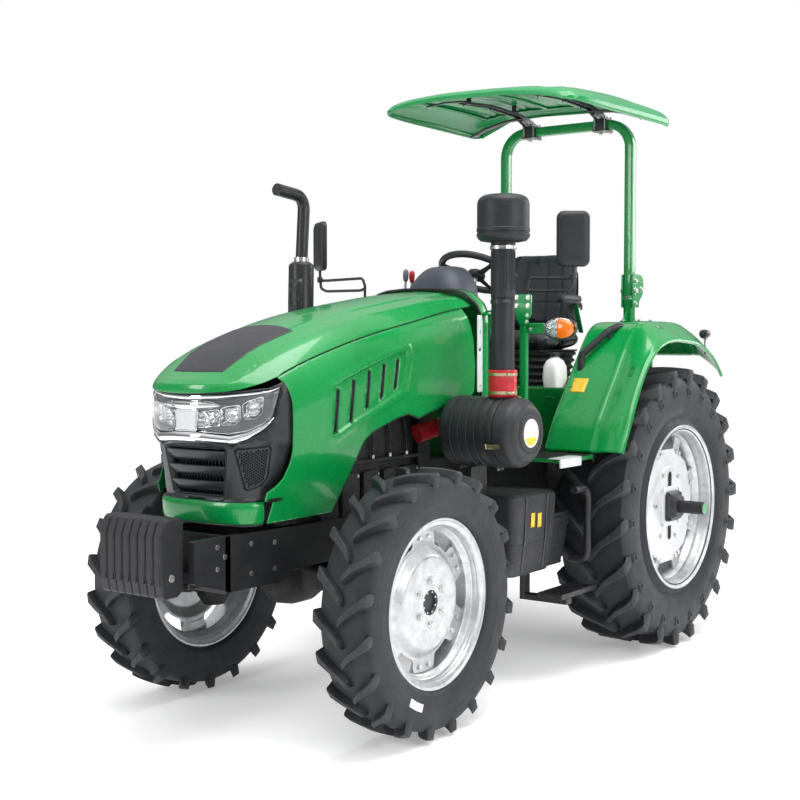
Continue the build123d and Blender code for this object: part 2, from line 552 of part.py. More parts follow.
# black brackets: a clamp on the cross tube each side, an arm to the front and one to the side
BAR_TOP = ROPS_TOP_Z + half
cf = []
for s_ in (1, -1):
    y0, y1 = sorted((s_ * 196, s_ * 240))
    arm = plate_xz([(-1392, BAR_TOP), (-1392, BAR_TOP + 10), (-1290, BAR_TOP + 40), (-1180, BAR_TOP + 58), (-900, BAR_TOP + 66), (-640, BAR_TOP + 46),
                    (-640, BAR_TOP + 34), (-900, BAR_TOP + 52), (-1180, BAR_TOP + 42), (-1288, BAR_TOP)], y0, y1)
    side_arm = plate_yz([(s_ * 200, BAR_TOP + 40), (s_ * 300, BAR_TOP + 36), (s_ * 440, BAR_TOP + 6), (s_ * 540, BAR_TOP - 34), (s_ * 540, BAR_TOP - 44), (s_ * 430, BAR_TOP - 8),
                         (s_ * 300, BAR_TOP + 22), (s_ * 200, BAR_TOP + 26)], -1240, -1200)
    cf_ = arm + side_arm
    for x_, z_ in ((-1150, BAR_TOP + 50), (-700, BAR_TOP + 44)):
        pad = rod((x_, s_ * 218, z_), (x_, s_ * 218, z_ + 90), 14) - canopy      # spacer up to the roof skin
        cf_ += min(pad.solids(), key=lambda q: q.center().Z)
    cf.append(cf_)
put("canopy_frame", cf)

# ---------------------------------------------------------------- seat
put("seat_base", loft([Plane.XY.offset(DECK_Z) * (Pos(-900, 0) * RectangleRounded(360, 380, 40)),
                       Plane.XY.offset(1470) * (Pos(-900, 0) * RectangleRounded(400, 440, 40))], ruled=True))
put("seat_cushion", fillet(box(-1075, -665, -240, 240, 1471, 1575).edges().filter_by(Axis.Z), 60))
back = plate_xz([(-1076, 1576), (-965, 1576), (-985, 1680), (-1075, 1955), (-1110, 1972), (-1160, 1960), (-1168, 1900)], -225, 225)
put("seat_back", back)

# ---------------------------------------------------------------- air intake, exhaust
AC_X, AC_Z = 288, 1137
ac = turned_y([(345, 0), (345, 120), (360, 142), (620, 150), (690, 146), (722, 122), (735, 112), (735, 0)], AC_X, AC_Z)
put("air_cleaner", ac)
ST_Y = 595
stack = turned_z([(0, 1400), (52, 1400), (52, 1936), (90, 1942), (106, 1950), (110, 1975), (110, 2100), (100, 2128), (60, 2134), (0, 2134)], AC_X, ST_Y)
put("intake_stack", stack)
hoses = [turned_z([(44, AC_Z + 152), (62, AC_Z + 152), (62, 1399.5), (44, 1399.5)], AC_X, ST_Y)]
hoses.append(tube([(AC_X, 344.5, AC_Z + 10), (AC_X, 262, AC_Z + 10), (AC_X + 100, 222, AC_Z - 20)], 42, 45))
put("intake_hoses", hoses)

EX = (425, -410)
ex = rod((EX[0], EX[1], 1200), (EX[0] - 18, EX[1], 1880), 58)
pipe = tube([(EX[0] - 12, EX[1], 1860), (EX[0] - 40, EX[1], 2175), (EX[0] + 150, EX[1], 2196)], 29, 60)
ex += pipe
ex += rod((EX[0], EX[1], 1150), (EX[0], EX[1], 1210), 34)
ex += rod((EX[0], EX[1], 1150), (EX[0], -170, 1150), 34)
put("exhaust", ex)

# ---------------------------------------------------------------- mirrors, lamps, brackets
PX, PY_ = -130, 452
post = box(PX - 14, PX + 14, PY_ - 18, PY_ + 18, FLOOR_Z, 1635)
post += box(PX - 22, PX + 22, PY_ - 48, PY_ + 48, 1635, 1730)
post += box(PX - 12, PX + 12, PY_ + 18, 560, 1560, 1590)
put("light_brackets", both(post))

MIR_TURN = 38
mir = rbox(-18, 18, -75, 75, 1846, 2094, 30, Axis.X)
mir_left = Pos(PX - 6, 698, 0) * mir.rotate(Axis.Z, MIR_TURN)
mir_right = Pos(PX + 12, -734, 22) * mir.rotate(Axis.Z, 4 - MIR_TURN)
arm = tube([(PX - 8, PY_ + 10, 1730.5), (PX - 8, PY_ + 10, 1780), (PX - 8, 700, 1800), (PX - 8, 700, 1850)], 8, 14)
arm_right = tube([(PX - 8, -PY_ - 10, 1730.5), (PX - 8, -PY_ - 10, 1790), (PX + 10, -732, 1812), (PX + 10, -732, 1880)], 8, 14)
put("mirrors", [mir_left + arm, mir_right + arm_right])

lamps = []
for s_ in (1, -1):
    l = turned_z([(0, -52), (30, -46), (40, 0), (30, 46), (0, 52)], PX, s_ * 640, 1575)
    body = rbox(PX - 45, PX + 45, s_ * 561, s_ * 722, 1525, 1625, 24, Axis.Y) if s_ > 0 else mirrored(rbox(PX - 45, PX + 45, 561, 722, 1525, 1625, 24, Axis.Y))
    lamps.append(body)
    tail = rod((-1400, 770, 1551), (-1470, 770, 1551), 24) + box(-1442, -1424, 763, 777, 1440, 1536)
    tail -= fender_left
    tail = max(tail.solids(), key=lambda q: q.volume)
    lamps.append(tail if s_ > 0 else mirrored(tail))
put("signal_lamps", lamps)

rail = tube([(-640, 472, 1330), (-640, 472, 1450), (-742, 572, 1573), (-812, 580, 1592), (-850, 584, 1570)], 19, [30, 60, 30])
rail += rod((-745, 566, 1480), (-738, 566, 1566), 15)
rail -= fender_left
rail -= box(-900, -500, 400, 700, 1200, 1345)
rail = max(rail.solids(), key=lambda q: q.volume)
put("grab_handles", both(rail))

# ---------------------------------------------------------------- tank, battery, steps
tank = loft([
    Plane.XY.offset(500) * (Pos(60, 470) * RectangleRounded(330, 280, 40)),
    Plane.XY.offset(640) * (Pos(60, 462) * RectangleRounded(370, 330, 45)),
    Plane.XY.offset(860) * (Pos(60, 462) * RectangleRounded(390, 350, 45)),
], ruled=True)
tank += loft([
    Plane.XY.offset(500) * (Pos(-190, 450) * RectangleRounded(200, 240, 30)),
    Plane.XY.offset(740) * (Pos(-210, 450) * RectangleRounded(240, 300, 30)),
], ruled=True)
put("fuel_tank", tank)
put("battery_box", rbox(-250, 200, -640, -290, 560, 860, 24, Axis.Z))

step = []
for s_ in (1, -1):
    def slab(x0, x1, y0, y1, z0, z1):
        return box(x0, x1, min(s_ * y0, s_ * y1), max(s_ * y0, s_ * y1), z0, z1)
    st = slab(-120, -60, 470, 500, 352, 499.5) + slab(-120, -60, 470, 715, 352, 380) + slab(-350, -20, 590, 715, 380, 404)
    step.append(st)
put("steps", step)
guard = tube([(-170, 690, 852), (-300, 690, 852), (-300, 690, 520), (-300, 600, 520)], 18, 50)
put("tube_guards", both(guard))

shield = plate_xz([(52, 1300), (52, 1635), (96, 1600), (84, 1400), (88, 1290)], 342, 348)
put("side_shields", both(shield))

# levers at the right of the dash and the pedals
ctl = [rod((-120, -260, 1500), (-150, -262, 1860), 9), rod((-160, -300, 1500), (-190, -302, 1860), 9)]
put("controls", ctl)

# ---------------------------------------------------------------- rear end
put("drawbar", box(-1560, -1000, -35, 35, 440, 470) - rod((-1530, 0, 430), (-1530, 0, 480), 16.5))
put("pto_shaft", rod((-1290, 0, 640), (-1370, 0, 640), 17.5))

lx, lz = LOWER_LINK_PIVOT
links = []
for s_ in (1, -1):
    a, b = (lx, s_ * 300, lz), (LOWER_LINK_BALL_X, s_ * 400, lz)
    bar = plate_xy([(lx, 288), (lx, 312), (LOWER_LINK_BALL_X, 412), (LOWER_LINK_BALL_X, 388)], lz - 32, lz + 32)
    bar = bar if s_ > 0 else mirrored(bar)
    eye0 = rod((lx, s_ * 280, lz), (lx, s_ * 320, lz), 42)
    eye1 = rod((LOWER_LINK_BALL_X, s_ * 377.5, lz), (LOWER_LINK_BALL_X, s_ * 422.5, lz), 42)
    l = bar + eye0 + eye1
    l -= rod((lx, s_ * 270, lz), (lx, s_ * 330, lz), 14.6)
    l -= rod((LOWER_LINK_BALL_X, s_ * 370, lz), (LOWER_LINK_BALL_X, s_ * 430, lz), 14.5)
    links.append(l)
put("lower_links", links)
pins = []
for s_ in (1, -1):
    pins.append(rod((lx, s_ * 180, lz), (lx, s_ * 335, lz), 14) + box(lx - 50, lx + 50, s_ * 180, s_ * 250, lz - 60, lz + 60 + 60))
put("link_pins", pins)

px_, pz_ = LIFT_ARM_PIVOT
ax_ = px_ - LIFT_ARM_LEN
arms = rod((px_, -230, pz_), (px_, 230, pz_), 30)
for s_ in (1, -1):
    arms += box(ax_, px_, s_ * 205, s_ * 230, pz_ - 28, pz_ + 28) + rod((ax_, s_ * 205, pz_), (ax_, s_ * 230, pz_), 30)
put("lift_arms", arms)
rods_ = []
at_x = lx - LIFT_ARM_LEN                 # where the rod meets the lower link: equal arms, so the rod keeps its slope
for s_ in (1, -1):
    yb = 300 + 100 * LIFT_ARM_LEN / (lx - LOWER_LINK_BALL_X)
    r_ = rod((ax_, s_ * 256, pz_ - 8), (at_x - 8, s_ * yb, lz + 100), 16)
    r_ += rod((ax_, s_ * (230 + 0.3), pz_), (ax_, s_ * 276, pz_), 26)
    r_ += box(at_x - 26, at_x + 26, s_ * yb - 34, s_ * yb + 34, lz + 84, lz + 112)
    for q in (1, -1):
        r_ += box(at_x - 24, at_x + 24, s_ * yb + q * 24, s_ * yb + q * 34, lz - 30, lz + 84)
    rods_.append(r_)
put("lift_rods", rods_)

tlx, tlz = -1320, 860
tl = rod((tlx, 0, tlz), (tlx - 470, 0, tlz), 18) + rod((tlx, -23, tlz), (tlx, 23, tlz), 24)
tl += rod((tlx - 470, -25.5, tlz), (tlx - 470, 25.5, tlz), 32)
tl -= rod((tlx - 470, -40, tlz), (tlx - 470, 40, tlz), 12.85)
put("top_link", tl)

# ---------------------------------------------------------------- write
for name, solids in PARTS.items():
    flat = []
    for s in solids:
        flat += list(s.solids()) if hasattr(s, "solids") else [s]
    shape = flat[0] if len(flat) == 1 else Compound(children=flat)
    shape.label = name
    export_step(shape, f"parts/{name}.step")
    bb = shape.bounding_box()
    print(f"{name:22s} {len(flat):2d} x {bb.min.X:8.1f}{bb.max.X:8.1f}  y {bb.min.Y:8.1f}{bb.max.Y:8.1f}  z {bb.min.Z:8.1f}{bb.max.Z:8.1f}")
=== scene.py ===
import bpy, bmesh, math, random
import numpy as np
from mathutils import Vector, Matrix
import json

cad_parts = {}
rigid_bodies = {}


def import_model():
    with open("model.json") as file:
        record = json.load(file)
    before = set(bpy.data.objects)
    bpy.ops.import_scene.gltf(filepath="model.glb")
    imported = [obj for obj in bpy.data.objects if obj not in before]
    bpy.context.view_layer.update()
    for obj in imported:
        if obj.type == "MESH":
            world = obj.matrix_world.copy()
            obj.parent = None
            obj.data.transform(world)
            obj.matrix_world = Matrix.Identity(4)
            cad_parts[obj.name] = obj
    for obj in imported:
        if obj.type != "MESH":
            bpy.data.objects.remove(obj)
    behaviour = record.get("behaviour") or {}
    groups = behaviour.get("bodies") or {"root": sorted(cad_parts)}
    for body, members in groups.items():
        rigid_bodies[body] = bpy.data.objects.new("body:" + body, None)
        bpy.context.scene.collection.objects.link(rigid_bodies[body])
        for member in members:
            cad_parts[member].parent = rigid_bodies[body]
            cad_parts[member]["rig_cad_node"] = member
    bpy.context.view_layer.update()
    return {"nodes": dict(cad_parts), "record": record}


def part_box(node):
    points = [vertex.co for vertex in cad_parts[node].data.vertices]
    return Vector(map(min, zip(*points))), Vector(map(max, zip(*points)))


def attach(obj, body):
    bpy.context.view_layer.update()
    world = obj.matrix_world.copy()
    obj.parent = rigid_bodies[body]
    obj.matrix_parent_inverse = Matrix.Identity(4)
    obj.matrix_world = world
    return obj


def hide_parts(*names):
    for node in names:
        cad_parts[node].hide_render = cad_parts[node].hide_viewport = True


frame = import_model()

MM = 0.001
rng = np.random.default_rng(7)


# ------------------------------------------------------------------ mesh helpers (all lengths in mm, written in metres)
class Mesh:
    """Gathers vertices and faces, with a material index per face, and makes one object."""

    def __init__(self):
        self.v, self.f, self.m, self.s = [], [], [], []

    def add(self, verts, faces, mat=0, smooth=True):
        o = len(self.v)
        self.v.extend([tuple(map(float, p)) for p in verts])
        self.f.extend([tuple(int(i) + o for i in f) for f in faces])
        self.m.extend([mat] * len(faces))
        self.s.extend([smooth] * len(faces))
        return self

    def mirror_y(self):
        o = len(self.v)
        self.v.extend([(x, -y, z) for x, y, z in self.v[:o]])
        n = len(self.f)
        self.f.extend([tuple(i + o for i in reversed(f)) for f in self.f[:n]])
        self.m.extend(self.m[:n])
        self.s.extend(self.s[:n])
        return self

    def mirrored(self):
        k = Mesh()
        k.v = [(x, -y, z) for x, y, z in self.v]
        k.f = [tuple(reversed(f)) for f in self.f]
        k.m, k.s = list(self.m), list(self.s)
        return k

    def obj(self, name, mats, body=None, slot=None, replaces=(), bevel=0, bevel_seg=2, weld=0.02, sub=0, angle=30, solid=0, solid_off=-1):
        me = bpy.data.meshes.new(name)
        co = [(x * MM, y * MM, z * MM) for x, y, z in self.v]
        me.from_pydata(co, [], self.f)
        for p, m, s in zip(me.polygons, self.m, self.s):
            p.material_index = m
            p.use_smooth = s
        ob = bpy.data.objects.new(name, me)
        bpy.context.scene.collection.objects.link(ob)
        for m in (mats if isinstance(mats, (list, tuple)) else [mats]):
            me.materials.append(m)
        if weld:
            bm = bmesh.new()
            bm.from_mesh(me)
            bmesh.ops.remove_doubles(bm, verts=bm.verts, dist=weld * MM)
            bmesh.ops.recalc_face_normals(bm, faces=bm.faces)
            bm.to_mesh(me)
            bm.free()
        if solid:
            md = ob.modifiers.new("sheet", "SOLIDIFY")
            md.thickness = solid * MM
            md.offset = solid_off
            md.use_even_offset = False
        if bevel:
            md = ob.modifiers.new("edge", "BEVEL")
            md.width = bevel * MM
            md.segments = bevel_seg
            md.limit_method = "ANGLE"
            md.angle_limit = math.radians(angle)
            md.harden_normals = False
        if sub:
            md = ob.modifiers.new("sub", "SUBSURF")
            md.levels = md.render_levels = sub
        shade(ob, angle)
        if body:
            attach(ob, body)
        if replaces:
            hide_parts(*([replaces] if isinstance(replaces, str) else replaces))
        return ob


def shade(ob, angle=30):
    """Smooth shading with hard edges kept sharp, stored on the mesh."""
    me = ob.data
    bm = bmesh.new()
    bm.from_mesh(me)
    lim = math.radians(angle)
    for e in bm.edges:
        if len(e.link_faces) == 2:
            e.smooth = e.calc_face_angle(0) < lim
    bm.to_mesh(me)
    bm.free()


def grid(nu, nv, cu=False, cv=False):
    out = []
    for i in range(nu if cu else nu - 1):
        for j in range(nv if cv else nv - 1):
            a, b = i * nv + j, ((i + 1) % nu) * nv + j
            c, d = ((i + 1) % nu) * nv + (j + 1) % nv, i * nv + (j + 1) % nv
            out.append((a, b, c, d))
    return out


def loft(rows, closed_v=False, cap=False, closed_u=False):
    """rows: list of equally long point lists. Returns verts, faces."""
    nu, nv = len(rows), len(rows[0])
    v = [p for r in rows for p in r]
    f = grid(nu, nv, closed_u, closed_v)
    if cap:
        f.append(tuple(range(nv)))
        f.append(tuple(reversed(range((nu - 1) * nv, nu * nv))))
    return v, f


def revolve(profile, centre, axis="y", seg=64, a0=0.0, a1=360.0, closed=True):
    """profile: list of (along, radius); closed joins the last profile point to the first."""
    cx, cy, cz = centre
    full = abs(a1 - a0) >= 360
    n = seg if full else seg + 1
    rows = []
    for i in range(n):
        a = math.radians(a0 + (a1 - a0) * i / seg)
        c, s = math.cos(a), math.sin(a)
        if axis == "y":
            rows.append([(cx + r * c, cy + t, cz + r * s) for t, r in profile])
        elif axis == "z":
            rows.append([(cx + r * c, cy + r * s, cz + t) for t, r in profile])
        else:
            rows.append([(cx + t, cy + r * c, cz + r * s) for t, r in profile])
    v = [p for r in rows for p in r]
    return v, grid(n, len(profile), full, closed)


def fillet2(points, radii, seg=5, closed=True):
    """Rounds the corners of a 2-D outline. radii: one number or one a corner."""
    n = len(points)
    if not hasattr(radii, "__len__"):
        radii = [radii] * n
    out = []
    for i in range(n):
        p = np.array(points[i], float)
        if (not closed and i in (0, n - 1)) or radii[i] <= 0:
            out.append(tuple(p))
            continue
        a, b = np.array(points[i - 1], float), np.array(points[(i + 1) % n], float)
        u, v = a - p, b - p
        lu, lv = np.linalg.norm(u), np.linalg.norm(v)
        if lu < 1e-6 or lv < 1e-6:
            out.append(tuple(p))
            continue
        u, v = u / lu, v / lv
        half = math.acos(max(-1, min(1, float(u @ v)))) / 2
        if half > math.radians(89) or half < math.radians(2):
            out.append(tuple(p))
            continue
        d = min(radii[i] / math.tan(half), lu * 0.49, lv * 0.49)
        r = d * math.tan(half)
        bis = (u + v) / np.linalg.norm(u + v)
        c = p + bis * (r / math.sin(half))
        s0, s1 = p + u * d - c, p + v * d - c
        a0, a1 = math.atan2(s0[1], s0[0]), math.atan2(s1[1], s1[0])
        da = (a1 - a0 + math.pi) % (2 * math.pi) - math.pi
        for k in range(seg + 1):
            t = a0 + da * k / seg
            out.append((c[0] + r * math.cos(t), c[1] + r * math.sin(t)))
    return out


def prism(outline, lo, hi, axis="y"):
    """Extrudes a 2-D outline. axis y: outline in x, z; axis z: x, y; axis x: y, z."""
    def p3(p, t):
        return (p[0], t, p[1]) if axis == "y" else (p[0], p[1], t) if axis == "z" else (t, p[0], p[1])
    n = len(outline)
    v = [p3(p, lo) for p in outline] + [p3(p, hi) for p in outline]
    f = [(i, (i + 1) % n, n + (i + 1) % n, n + i) for i in range(n)]
    f.append(tuple(reversed(range(n))))
    f.append(tuple(range(n, 2 * n)))
    return v, f


def cube(x0, x1, y0, y1, z0, z1):
    return prism([(x0, z0), (x1, z0), (x1, z1), (x0, z1)], y0, y1, "y")


def rect(x0, x1, y0, y1, r=0, seg=4):
    pts = [(x0, y0), (x1, y0), (x1, y1), (x0, y1)]
    return fillet2(pts, r, seg) if r else pts


def frame_at(d, up=(0, 0, 1)):
    d = Vector(d).normalized()
    up = Vector(up)
    if abs(d.dot(up)) > 0.98:
        up = Vector((1, 0, 0))
    a = up.cross(d).normalized()
    return a, d.cross(a).normalized(), d


def cyl(p0, p1, r0, r1=None, seg=24, cap=True):
    r1 = r0 if r1 is None else r1
    p0, p1 = Vector(p0), Vector(p1)
    a, b, d = frame_at(p1 - p0)
    rows = []
    for p, r in ((p0, r0), (p1, r1)):
        rows.append([tuple(p + (a * math.cos(2 * math.pi * k / seg) + b * math.sin(2 * math.pi * k / seg)) * r) for k in range(seg)])
    return loft(rows, True, cap)


def lathe(p0, d, profile, seg=32, cap=True):
    """profile: (distance along d, radius) from p0."""
    p0 = Vector(p0)
    a, b, d = frame_at(d)
    rows = []
    for t, r in profile:
        r = max(r, 0.01)
        rows.append([tuple(p0 + d * t + (a * math.cos(2 * math.pi * k / seg) + b * math.sin(2 * math.pi * k / seg)) * r) for k in range(seg)])
    return loft(rows, True, cap)


def hexnut(p, d, af, h, washer=True, turn=0.0):
    """Hexagon nut or bolt head with a chamfered top and a washer, standing on p along d."""
    p = Vector(p)
    a, b, d = frame_at(d)
    v, f = [], []
    r = af / math.sqrt(3)
    rows = []
    for t, q in ((0, r), (h * 0.82, r), (h, r * 0.86)):
        rows.append([tuple(p + d * t + (a * math.cos(turn + math.pi * k / 3) + b * math.sin(turn + math.pi * k / 3)) * q) for k in range(6)])
    v1, f1 = loft(rows, True, True)
    v += v1
    f += f1
    if washer:
        v2, f2 = lathe(tuple(p), d, [(0, r * 1.28), (1.8, r * 1.28), (1.8, r * 0.9)], 20)
        f += [tuple(i + len(v) for i in q) for q in f2]
        v += v2
    return v, f


def path_points(points, radius, seg=6):
    """3-D polyline with rounded corners."""
    pts = [Vector(p) for p in points]
    n = len(pts)
    rr = radius if hasattr(radius, "__len__") else [radius] * n
    out = [pts[0]]
    for i in range(1, n - 1):
        p, u, v = pts[i], (pts[i - 1] - pts[i]), (pts[i + 1] - pts[i])
        lu, lv = u.length, v.length
        u.normalize()
        v.normalize()
        half = u.angle(v) / 2
        if half > math.radians(88.5):
            out.append(p)
            continue
        d = min(rr[i] / math.tan(half), lu * 0.48, lv * 0.48)
        r = d * math.tan(half)
        c = p + (u + v).normalized() * (r / math.sin(half))
        s0, s1 = (p + u * d) - c, (p + v * d) - c
        ang = s0.angle(s1)
        for k in range(seg + 1):
            t = k / seg
            w = (s0 * math.sin((1 - t) * ang) + s1 * math.sin(t * ang)) / math.sin(ang)
            out.append(c + w)
    out.append(pts[-1])
    return out


def sweep(points, section, up=(0, 0, 1), cap=True, scale=None):
    """Sweeps a 2-D section (list of (a, b)) along 3-D points with a rotation-minimising frame."""
    pts = [Vector(p) for p in points]
    n = len(pts)
    tang = []
    for i in range(n):
        d = (pts[min(i + 1, n - 1)] - pts[max(i - 1, 0)]).normalized()
        tang.append(d)
    a, b, _ = frame_at(tang[0], up)
    rows = []
    for i in range(n):
        if i:
            axis = tang[i - 1].cross(tang[i])
            if axis.length > 1e-7:
                q = Matrix.Rotation(tang[i - 1].angle(tang[i]), 3, axis.normalized())
                a, b = q @ a, q @ b
        k = scale[i] if scale is not None else 1.0
        rows.append([tuple(pts[i] + a * s * k + b * t * k) for s, t in section])
    return loft(rows, True, cap)


def circle2(r, seg=20):
    return [(r * math.cos(2 * math.pi * k / seg), r * math.sin(2 * math.pi * k / seg)) for k in range(seg)]


def pipe(points, r, bend=0, seg=20, bseg=7, cap=True):
    return sweep(path_points(points, bend, bseg) if bend else points, circle2(r, seg), cap=cap)


def roundrect2(w, h, r, seg=5):
    return rect(-w / 2, w / 2, -h / 2, h / 2, r, seg)


def pillow(x0, x1, y0, y1, z0, z1, r=20, n=5, bulge=0.0, axis="z"):
    """Rounded box made as a superellipsoid-like lofted block, all edges rounded with radius r."""
    cx, cy, cz = (x0 + x1) / 2, (y0 + y1) / 2, (z0 + z1) / 2
    hx, hy, hz = (x1 - x0) / 2, (y1 - y0) / 2, (z1 - z0) / 2
    r = min(r, hx, hy, hz)
    rows = []
    for i in range(2 * n + 2):
        if i <= n:
            a = math.pi / 2 * i / n
            ins, z = r * (1 - math.sin(a)), -hz + r * (1 - math.cos(a))
        else:
            a = math.pi / 2 * (i - n - 1) / n
            ins, z = r * (1 - math.cos(a)), hz - r * (1 - math.sin(a))
        sec = rect(-hx + ins, hx - ins, -hy + ins, hy - ins, max(r - ins, 0.5) if r - ins > 0.5 else 0.5, n)
        rows.append([(cx + p[0], cy + p[1], cz + z) for p in sec])
    return loft(rows, True, True)


def spline(xs, ys, x):
    """Smooth monotone interpolation (Fritsch-Carlson)."""
    xs, ys = np.array(xs, float), np.array(ys, float)
    if xs[0] > xs[-1]:
        xs, ys = xs[::-1], ys[::-1]
    h = np.diff(xs)
    d = np.diff(ys) / h
    m = np.zeros(len(xs))
    m[0], m[-1] = d[0], d[-1]
    for i in range(1, len(xs) - 1):
        if d[i - 1] * d[i] > 0:
            w1, w2 = 2 * h[i] + h[i - 1], h[i] + 2 * h[i - 1]
            m[i] = (w1 + w2) / (w1 / d[i - 1] + w2 / d[i])
    x = np.clip(np.atleast_1d(np.array(x, float)), xs[0], xs[-1])
    k = np.clip(np.searchsorted(xs, x) - 1, 0, len(xs) - 2)
    t = (x - xs[k]) / h[k]
    return (2 * t**3 - 3 * t**2 + 1) * ys[k] + (t**3 - 2 * t**2 + t) * h[k] * m[k] + (-2 * t**3 + 3 * t**2) * ys[k + 1] + (t**3 - t**2) * h[k] * m[k + 1]


# ------------------------------------------------------------------ materials
def new_mat(name):
    m = bpy.data.materials.new(name)
    m.use_nodes = True
    nt = m.node_tree
    b = nt.nodes["Principled BSDF"]
    return m, nt, b


def node(nt, kind, **kw):
    n = nt.nodes.new(kind)
    for k, v in kw.items():
        if k in n.inputs:
            n.inputs[k].default_value = v
        else:
            setattr(n, k, v)
    return n


def ramp(nt, fac, stops, interp="LINEAR"):
    r = nt.nodes.new("ShaderNodeValToRGB")
    r.color_ramp.interpolation = interp
    e = r.color_ramp.elements
    while len(e) > 1:
        e.remove(e[-1])
    e[0].position, e[0].color = stops[0][0], (*stops[0][1], 1)
    for p, c in stops[1:]:
        x = e.new(p)
        x.color = (*c, 1)
    nt.links.new(fac, r.inputs["Fac"])
    return r.outputs["Color"]


def coords(nt, scale=(1, 1, 1)):
    tc = nt.nodes.new("ShaderNodeTexCoord")
    mp = nt.nodes.new("ShaderNodeMapping")
    mp.inputs["Scale"].default_value = scale
    nt.links.new(tc.outputs["Object"], mp.inputs["Vector"])
    return mp.outputs["Vector"]


def noise(nt, vec, scale, detail=4, rough=0.55, dist=0.0):
    n = nt.nodes.new("ShaderNodeTexNoise")
    n.inputs["Scale"].default_value = scale
    n.inputs["Detail"].default_value = detail
    n.inputs["Roughness"].default_value = rough
    n.inputs["Distortion"].default_value = dist
    nt.links.new(vec, n.inputs["Vector"])
    return n.outputs["Fac"]


def voro(nt, vec, scale, feature="F1", rand=1.0):
    n = nt.nodes.new("ShaderNodeTexVoronoi")
    n.feature = feature
    n.inputs["Scale"].default_value = scale
    n.inputs["Randomness"].default_value = rand
    nt.links.new(vec, n.inputs["Vector"])
    return n.outputs["Distance"]


def remap(nt, fac, lo, hi, a=0.3, b=0.7):
    m = nt.nodes.new("ShaderNodeMapRange")
    m.inputs["From Min"].default_value = a
    m.inputs["From Max"].default_value = b
    m.inputs["To Min"].default_value = lo
    m.inputs["To Max"].default_value = hi
    nt.links.new(fac, m.inputs["Value"])
    return m.outputs["Result"]


def mix(nt, fac, a, b, mode="MIX"):
    m = nt.nodes.new("ShaderNodeMix")
    m.data_type = "RGBA"
    m.blend_type = mode
    if hasattr(fac, "links") or hasattr(fac, "node"):
        nt.links.new(fac, m.inputs[0])
    else:
        m.inputs[0].default_value = fac
    for sock, v in ((m.inputs[6], a), (m.inputs[7], b)):
        if hasattr(v, "node"):
            nt.links.new(v, sock)
        else:
            sock.default_value = (*v, 1)
    return m.outputs[2]


def bump(nt, b, fac, dist, strength=1.0, chain=None):
    n = nt.nodes.new("ShaderNodeBump")
    n.inputs["Strength"].default_value = strength
    n.inputs["Distance"].default_value = dist
    nt.links.new(fac, n.inputs["Height"])
    if chain is not None:
        nt.links.new(chain, n.inputs["Normal"])
    nt.links.new(n.outputs["Normal"], b.inputs["Normal"])
    return n.outputs["Normal"]


def edge_mask(nt, lo=0.52, hi=0.60):
    g = nt.nodes.new("ShaderNodeNewGeometry")
    return remap(nt, g.outputs["Pointiness"], 0, 1, lo, hi)


def pbr(name, c1, c2, scale=8, rough=(0.3, 0.4), rscale=40, metallic=0.0, coat=0.0, coat_rough=0.06, grain=(300, 0.0002),
        grain_kind="noise", wear=None, dust=None, ior=1.5, spec=0.34, wave=None, sheen=0.0):
    m, nt, b = new_mat(name)
    v = coords(nt)
    col = ramp(nt, noise(nt, v, scale, 5), [(0.3, c1), (0.7, c2)])
    if dust:
        amount, dc, dscale = dust
        f = remap(nt, noise(nt, v, dscale, 8, 0.65, 0.4), 0, amount, 0.45, 0.78)
        col = mix(nt, f, col, dc)
    if wear:
        wc, amount = wear
        f = edge_mask(nt)
        n2 = remap(nt, noise(nt, v, 60, 6), 0, amount, 0.35, 0.65)
        mul = nt.nodes.new("ShaderNodeMath")
        mul.operation = "MULTIPLY"
        nt.links.new(f, mul.inputs[0])
        nt.links.new(n2, mul.inputs[1])
        col = mix(nt, mul.outputs[0], col, wc)
    nt.links.new(col, b.inputs["Base Color"])
    nt.links.new(remap(nt, noise(nt, v, rscale, 6, 0.6), rough[0], rough[1]), b.inputs["Roughness"])
    b.inputs["Metallic"].default_value = metallic
    b.inputs["IOR"].default_value = ior
    b.inputs["Specular IOR Level"].default_value = spec
    b.inputs["Coat Weight"].default_value = coat
    b.inputs["Coat Roughness"].default_value = coat_rough
    if sheen:
        b.inputs["Sheen Weight"].default_value = sheen
        b.inputs["Sheen Roughness"].default_value = 0.4
    chain = None
    if wave:
        axis, wscale, wdist = wave
        w = nt.nodes.new("ShaderNodeTexWave")
        w.wave_type = "BANDS"
        w.bands_direction = axis
        w.inputs["Scale"].default_value = wscale
        w.inputs["Distortion"].default_value = 0.3
        nt.links.new(v, w.inputs["Vector"])
        chain = bump(nt, b, w.outputs["Fac"], wdist, 1.0)
    if grain:
        g = noise(nt, v, grain[0], 3) if grain_kind == "noise" else voro(nt, v, grain[0])
        bump(nt, b, g, grain[1], 1.0, chain)
    return m


